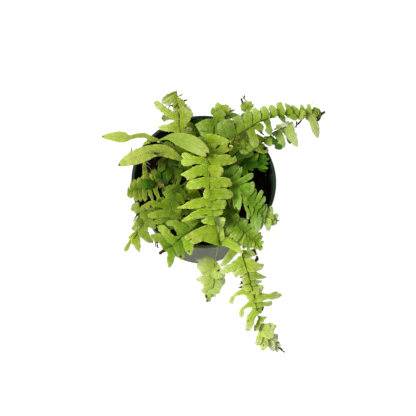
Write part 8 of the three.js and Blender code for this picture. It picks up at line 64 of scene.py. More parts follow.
 {"name":"dark_leaflets_center","mat":"dark","tone":4,"r0":0.47,"r1":0.36,"nst":8,"rod":[[-2.38,-10.23,103.2],[-2.1,-11.9,107.31],[-1.52,-15.34,110.4],[-0.76,-19.83,112.73],[0.06,-24.67,114.55],[0.85,-29.12,116.13],[1.48,-32.49,117.73],[1.86,-34.05,119.6],[1.86,-33.09,122.0],[1.78,-32.17,123.04],[1.72,-31.22,124.12],[1.65,-30.29,125.18],[1.53,-29.39,126.16],[1.33,-28.54,127.0],[1.02,-27.76,127.66],[0.63,-27.03,128.18],[0.19,-26.33,128.62],[-0.26,-25.64,129.04],[-0.69,-24.93,129.5]],"pin":[[[[-0.47,-25.08,129.39],[-6.48,-24.39,130.23],[-10.24,-25.37,130.15],[-13.6,-26.63,129.7],[-16.12,-26.89,129.37]],[0.022,-0.333,0.943],[[5.52,4.07],[8.65,5.14],[13.24,3.73],[16.21,0.0],[13.11,-3.81],[4.91,-4.46],[-1.52,-2.52]],1],[[[-1.49,-25.0,129.47],[-10.47,-22.77,131.72],[-16.55,-22.45,132.57],[-22.21,-21.54,133.01],[-26.92,-20.08,133.01]],[-0.075,-0.269,0.96],[[6.73,3.82],[14.42,5.06],[22.39,3.96],[26.37,0.0],[18.27,-5.8],[10.5,-4.19],[-0.19,-3.01]],2],[[[0.08,-26.45,128.57],[-3.12,-32.48,128.56],[-6.58,-35.09,128.69],[-10.35,-36.6,128.05],[-14.06,-37.13,126.59]],[0.005,-0.297,0.955],[[3.49,0.24],[10.03,1.78],[15.65,2.06],[19.38,-0.0],[13.73,-2.62],[8.43,-1.71],[1.98,-3.15]],4],[[[1.27,-28.04,127.39],[2.07,-33.03,126.77],[1.94,-36.14,126.01],[1.75,-38.88,124.53],[0.51,-40.65,122.57]],[0.077,-0.387,0.919],[[3.23,2.28],[9.21,2.83],[14.37,-0.0],[11.08,-2.17],[5.61,-3.15],[0.36,-2.41]],4]],"straps":[]},
 {"name":"center_low_frond","mat":"olive","tone":3,"r0":0.52,"r1":0.36,"nst":8,"rod":[[3.89,-9.75,103.2],[3.81,-10.44,107.34],[3.62,-11.48,111.19],[3.38,-12.86,114.7],[3.17,-14.57,117.84],[3.06,-16.6,120.57],[3.12,-18.95,122.87],[3.42,-21.6,124.69],[4.05,-24.55,126.0],[4.62,-26.74,126.74],[5.18,-28.94,127.52],[5.75,-31.13,128.28],[6.34,-33.31,128.96],[6.95,-35.48,129.5],[7.6,-37.64,129.88],[8.28,-39.78,130.15],[8.97,-41.92,130.33],[9.67,-44.06,130.44],[10.36,-46.23,130.5],[11.05,-48.45,130.52],[11.75,-50.71,130.48],[12.44,-52.97,130.38],[13.13,-55.18,130.22],[13.82,-57.29,130.0],[14.5,-59.28,129.7],[15.17,-61.17,129.31],[15.84,-63.02,128.87],[16.5,-64.84,128.42],[17.17,-66.7,128.0]],"pin":[[[[6.26,-33.16,128.91],[2.72,-34.88,129.93],[-0.95,-36.72,130.5],[-4.43,-38.66,130.61],[-7.16,-39.53,130.71]],[0.09,-0.253,0.963],[[-0.76,4.44],[5.84,4.16],[11.54,2.86],[15.08,0.0],[12.45,-2.97],[7.46,-3.81],[0.13,-4.57]],3],[[[9.98,-45.19,130.46],[5.61,-45.1,130.94],[1.31,-45.03,130.89],[-2.77,-44.78,130.4],[-6.28,-44.33,129.47]],[0.141,-0.319,0.937],[[1.56,4.79],[7.69,4.38],[12.66,3.05],[16.48,-0.0],[11.49,-3.23],[5.77,-4.42],[-1.48,-4.4]],3],[[[13.05,-55.34,130.19],[8.2,-54.97,130.74],[3.32,-54.55,130.74],[-1.31,-53.99,130.23],[-5.39,-53.27,129.21]],[-0.074,-0.136,0.988],[[1.32,4.84],[8.37,5.1],[14.28,3.47],[18.76,0.0],[12.29,-3.98],[5.56,-5.01],[-1.46,-4.59]],11],[[[16.02,-63.91,128.64],[12.26,-64.89,129.08],[8.55,-66.0,128.96],[5.07,-66.96,128.39],[2.49,-67.01,127.66]],[-0.072,-0.268,0.961],[[0.06,4.37],[5.76,4.4],[11.27,2.93],[14.13,0.0],[11.21,-3.62],[6.49,-4.08],[-0.25,-4.39]],3],[[[6.89,-34.78,129.35],[11.06,-33.09,129.96],[14.94,-31.72,130.11],[18.56,-30.43,129.9],[21.18,-29.2,129.34]],[0.073,-0.176,0.982],[[1.21,-4.95],[7.55,-5.13],[12.45,-3.48],[15.46,0.0],[11.55,4.11],[6.06,5.01],[-0.42,4.55]],4],[[[10.46,-46.22,130.51],[15.15,-43.82,131.27],[19.54,-41.4,131.46],[23.36,-38.53,131.26],[26.44,-35.63,130.5]],[0.072,-0.308,0.949],[[1.54,-5.17],[7.81,-4.92],[14.87,-3.81],[19.43,-0.0],[12.92,4.55],[5.92,5.05],[-0.86,4.59]],4],[[[14.02,-57.28,130.01],[18.75,-55.08,130.69],[23.02,-52.48,130.95],[26.58,-49.28,130.87],[29.69,-46.65,129.99]],[0.051,-0.4,0.915],[[1.29,-4.79],[8.41,-4.86],[15.39,-3.6],[19.24,-0.0],[11.84,4.63],[5.76,5.01],[-0.7,4.81]],3],[[[16.79,-65.77,128.21],[21.05,-63.18,127.06],[25.06,-60.36,125.24],[28.38,-56.72,122.96],[31.17,-53.77,119.65]],[-0.05,-0.384,0.922],[[1.16,-4.18],[7.96,-4.59],[16.38,-3.46],[21.04,0.0],[11.97,4.51],[5.98,4.83],[-0.47,2.96]],3],[[[13.09,-55.74,130.15],[3.99,-55.43,127.92],[-1.5,-54.87,124.66],[-6.7,-54.53,120.17],[-10.81,-53.52,114.81]],[0.024,-0.193,0.981],[[6.73,3.08],[15.68,5.02],[24.06,4.81],[29.54,0.0],[19.44,-5.15],[9.23,-4.03],[0.68,-4.22]],4],[[[9.11,-42.04,130.35],[0.81,-41.96,130.7],[-4.38,-42.32,130.27],[-9.27,-43.58,128.9],[-13.36,-43.82,127.34]],[-0.021,-0.425,0.905],[[6.96,3.15],[13.14,4.39],[17.74,4.14],[23.17,-0.0],[19.39,-3.13],[14.47,-3.91],[6.24,-3.4],[-0.97,-4.52]],4]],"straps":[]},
 {"name":"back_low_frond","mat":"olive","tone":3,"r0":0.52,"r1":0.36,"nst":8,"rod":[[-3.25,9.98,103.2],[-2.96,9.36,106.51],[-2.51,8.35,109.78],[-2.01,7.2,112.93],[-1.54,6.12,115.87],[-1.2,5.37,118.53],[-1.09,5.18,120.83],[-1.3,5.78,122.68],[-1.92,7.4,124.0],[-2.79,9.62,125.03],[-3.66,11.83,126.1],[-4.53,14.05,127.14],[-5.38,16.26,128.13],[-6.2,18.47,129.0],[-6.99,20.65,129.76],[-7.75,22.81,130.44],[-8.49,24.97,131.04],[-9.21,27.18,131.56],[-9.92,29.45,132.0],[-10.6,31.81,132.37],[-11.24,34.23,132.66],[-11.88,36.69,132.88],[-12.53,39.18,132.99],[-13.23,41.66,133.0],[-13.97,44.16,132.86],[-14.74,46.67,132.58],[-15.53,49.2,132.22],[-16.33,51.73,131.84],[-17.12,54.25,131.5]],"pin":[[[[-6.2,18.47,129.0],[-10.42,18.27,129.26],[-14.79,18.39,129.0],[-18.98,18.97,128.29],[-22.08,19.7,127.0]],[-0.062,-0.431,0.9],[[1.01,5.12],[6.74,5.08],[13.25,3.46],[16.35,0.0],[11.48,-3.87],[4.82,-5.18],[-1.42,-4.89]],3],[[[-9.82,29.46,132.01],[-13.95,28.79,132.3],[-18.25,28.37,132.0],[-22.4,28.45,131.2],[-25.81,29.32,130.0]],[-0.031,-0.488,0.872],[[0.55,5.19],[6.75,4.7],[12.43,3.24],[16.49,0.0],[12.11,-3.4],[6.06,-4.87],[-0.98,-4.8]],3],[[[-12.8,40.5,133.01],[-16.97,40.44,133.25],[-21.26,40.78,132.98],[-25.17,41.61,132.24],[-28.31,42.87,131.0]],[0.02,-0.346,0.938],[[1.06,4.55],[8.09,4.81],[12.8,3.64],[16.18,0.0],[10.61,-4.24],[5.48,-4.87],[-1.29,-4.52]],9],[[[-15.6,49.63,132.17],[-18.1,51.45,132.25],[-20.96,53.55,132.03],[-23.68,55.29,131.26],[-26.44,57.24,130.16]],[0.087,-0.346,0.934],[[3.23,3.07],[8.59,3.3],[13.53,0.0],[3.4,-3.29],[-3.9,-2.51]],2],[[[-6.92,21.4,130.0],[-3.19,25.99,127.58],[0.24,31.06,124.51],[3.49,36.45,120.71],[5.84,41.06,115.76]],[0.063,-0.308,0.949],[[2.91,-4.24],[15.03,-4.67],[23.27,-3.96],[27.77,-0.0],[16.17,4.57],[7.02,4.55],[-2.44,4.72]],3],[[[-10.55,32.67,132.49],[-6.77,35.69,132.9],[-3.15,39.05,132.98],[0.29,42.58,132.68],[2.52,44.94,131.47]],[-0.115,-0.39,0.914],[[1.81,-4.41],[11.11,-4.65],[15.98,-4.03],[18.21,0.0],[12.44,4.5],[6.05,4.68],[-1.77,4.68]],3],[[[-13.73,43.59,132.9],[-10.13,46.61,133.35],[-6.52,49.84,133.39],[-3.21,53.32,133.03],[-0.81,56.02,131.89]],[0.044,-0.43,0.902],[[1.98,-4.49],[9.5,-4.67],[15.18,-3.65],[18.18,0.0],[12.14,4.26],[6.19,4.63],[-1.98,4.49]],2],[[[-16.57,52.97,131.7],[-13.92,55.72,132.02],[-11.69,58.74,131.99],[-9.65,61.77,131.52],[-9.12,65.0,130.68]],[0.051,-0.562,0.826],[[2.4,-3.75],[8.85,-3.89],[14.67,0.0],[10.87,2.83],[5.14,4.17],[-1.92,3.84]],11]],"straps":[]},
 {"name":"right_mid_frond","mat":"olive","tone":3,"r0":0.52,"r1":0.36,"nst":8,"rod":[[10.1,-2.89,103.2],[9.97,-3.45,107.22],[9.61,-4.18,111.06],[9.16,-5.1,114.66],[8.78,-6.23,117.96],[8.64,-7.58,120.91],[8.9,-9.16,123.44],[9.7,-11.01,125.49],[11.22,-13.12,127.0],[12.53,-14.66,127.83],[13.85,-16.19,128.7],[15.16,-17.73,129.54],[16.47,-19.27,130.33],[17.79,-20.81,131.0],[19.11,-22.36,131.55],[20.45,-23.9,132.02],[21.78,-25.45,132.4],[23.09,-27.02,132.73],[24.33,-28.61,133.0],[25.54,-30.24,133.23],[26.73,-31.91,133.4],[27.87,-33.58,133.52],[28.94,-35.24,133.55],[29.91,-36.85,133.5],[30.77,-38.41,133.33],[31.51,-39.94,133.04],[32.2,-41.44,132.7],[32.86,-42.94,132.33],[33.56,-44.44,132.0]],"pin":[[[[16.7,-19.59,130.45],[19.01,-17.17,130.82],[20.92,-14.61,131.03],[22.12,-12.31,130.94],[23.54,-10.45,130.46]],[-0.044,-0.33,0.943],[[0.83,-4.11],[9.17,-3.8],[11.56,0.0],[5.19,4.5],[-0.56,4.36]],3],[[[23.22,-27.0,132.77],[26.33,-24.5,133.22],[29.04,-21.92,133.44],[31.4,-19.87,133.2],[33.67,-17.72,132.74]],[-0.014,-0.331,0.944],[[0.26,-4.04],[8.1,-4.34],[14.07,0.0],[8.29,4.31],[0.42,4.48]],3],[[[28.23,-34.35,133.51],[31.09,-32.26,133.93],[33.78,-30.1,134.15],[36.0,-28.43,133.96],[38.24,-26.76,133.53]],[-0.093,-0.261,0.961],[[0.24,-4.0],[7.57,-4.25],[12.64,0.0],[6.92,4.21],[0.1,4.19]],3],[[[31.69,-40.22,132.99],[33.78,-38.78,133.24],[35.77,-37.21,133.42],[37.3,-36.13,133.28],[38.84,-35.11,132.98]],[0.208,-0.367,0.907],[[0.2,-3.18],[5.46,-3.51],[8.84,0.0],[4.99,3.49],[-0.12,3.46]],3],[[[15.57,-17.75,129.75],[14.69,-21.35,129.66],[13.67,-24.24,129.19],[12.81,-26.13,128.47],[11.82,-27.58,127.28]],[-0.106,-0.259,0.96],[[-1.66,3.76],[5.9,4.01],[11.14,0.0],[8.25,-4.05],[2.6,-4.27]],4],[[[21.07,-24.81,132.19],[20.15,-29.81,135.44],[18.92,-34.25,138.68],[18.11,-37.91,141.98],[17.07,-41.17,145.2]],[-0.074,-0.326,0.942],[[-3.11,3.49],[9.5,4.11],[21.37,0.0],[16.38,-3.92],[4.4,-4.31]],4],[[[26.02,-31.25,133.27],[25.26,-35.35,134.17],[24.19,-38.81,134.79],[23.57,-41.57,135.15],[22.77,-43.93,135.13]],[-0.145,-0.399,0.905],[[-2.4,2.93],[6.95,3.82],[13.28,-0.0],[10.45,-3.62],[3.3,-3.74]],4],[[[30.53,-38.33,133.32],[29.8,-41.92,133.86],[28.77,-44.9,134.13],[28.2,-47.3,134.12],[27.42,-49.28,133.76]],[-0.169,-0.304,0.937],[[-2.34,2.55],[5.82,3.4],[11.5,-0.0],[9.23,-3.15],[3.14,-3.38]],2],[[[33.28,-43.49,132.22],[34.57,-45.23,132.54],[35.56,-47.82,132.27],[36.15,-50.1,131.85],[36.55,-52.3,131.2]],[-0.057,-0.431,0.901],[[-2.91,0.21],[3.97,2.62],[9.71,-0.0],[6.18,-2.77],[1.61,-2.02]],3]],"straps":[]},
 {"name":"back_small_frond","mat":"olive","tone":3,"r0":0.47,"r1":0.36,"nst":8,"rod":[[3.04,10.05,103.2],[3.25,10.35,106.22],[3.51,10.67,109.13],[3.84,11.08,111.86],[4.25,11.64,114.37],[4.74,12.42,116.6],[5.33,13.5,118.49],[6.03,14.93,119.97],[6.84,16.79,121.0],[7.88,19.29,121.93],[8.93,21.79,122.9],[9.98,24.29,123.84],[11.0,26.79,124.73],[11.97,29.27,125.5],[12.9,31.74,126.17],[13.81,34.2,126.76],[14.67,36.65,127.28],[15.47,39.1,127.69],[16.17,41.57,128.0],[16.77,44.06,128.19],[17.28,46.59,128.28],[17.72,49.1,128.26],[18.1,51.58,128.17],[18.44,53.99,128.0],[18.71,56.3,127.73],[18.9,58.55,127.34],[19.06,60.76,126.9],[19.2,62.96,126.43],[19.36,65.18,126.0]],"pin":[[[[11.97,29.27,125.5],[7.56,30.37,126.69],[4.25,31.53,127.61],[1.66,32.9,128.33],[-0.83,33.5,128.46]],[0.073,-0.314,0.946],[[3.22,3.67],[11.58,3.66],[13.91,-0.0],[6.64,-3.99],[-1.08,-4.16]],3],[[[16.17,41.57,128.0],[11.48,43.08,128.33],[8.07,44.56,128.32],[5.32,45.88,127.91],[2.74,46.76,127.0]],[-0.106,-0.34,0.934],[[2.91,4.09],[11.42,4.2],[14.62,0.0],[7.48,-4.14],[-0.31,-4.48]],3],[[[18.44,53.99,128.0],[14.34,55.41,128.23],[11.09,57.16,128.28],[8.49,58.35,127.82],[5.98,59.4,127.0]],[-0.111,-0.403,0.908],[[2.26,4.13],[9.86,4.6],[13.79,-0.0],[6.51,-4.34],[-0.79,-4.99]],3],[[[12.82,31.44,126.09],[16.62,33.09,126.34],[19.87,34.9,126.36],[22.34,36.19,125.9],[24.81,37.32,125.09]],[0.015,-0.273,0.962],[[-2.89,4.05],[4.88,4.62],[13.53,0.0],[10.72,-4.89],[4.06,-3.74]],4],[[[17.04,43.99,128.17],[20.45,46.65,128.52],[23.55,49.27,128.55],[26.19,51.46,128.12],[28.9,53.12,127.19]],[0.077,-0.434,0.898],[[-3.67,3.51],[5.29,3.85],[15.17,0.0],[12.0,-4.12],[4.49,-3.54]],4],[[[18.9,56.7,127.65],[21.7,58.53,127.88],[24.54,60.79,127.92],[26.87,62.83,127.52],[29.24,64.6,126.66]],[0.238,-0.336,0.911],[[-3.16,4.41],[4.47,3.96],[13.19,0.0],[10.0,-3.82],[2.85,-4.12]],3]],"straps":[]}
]
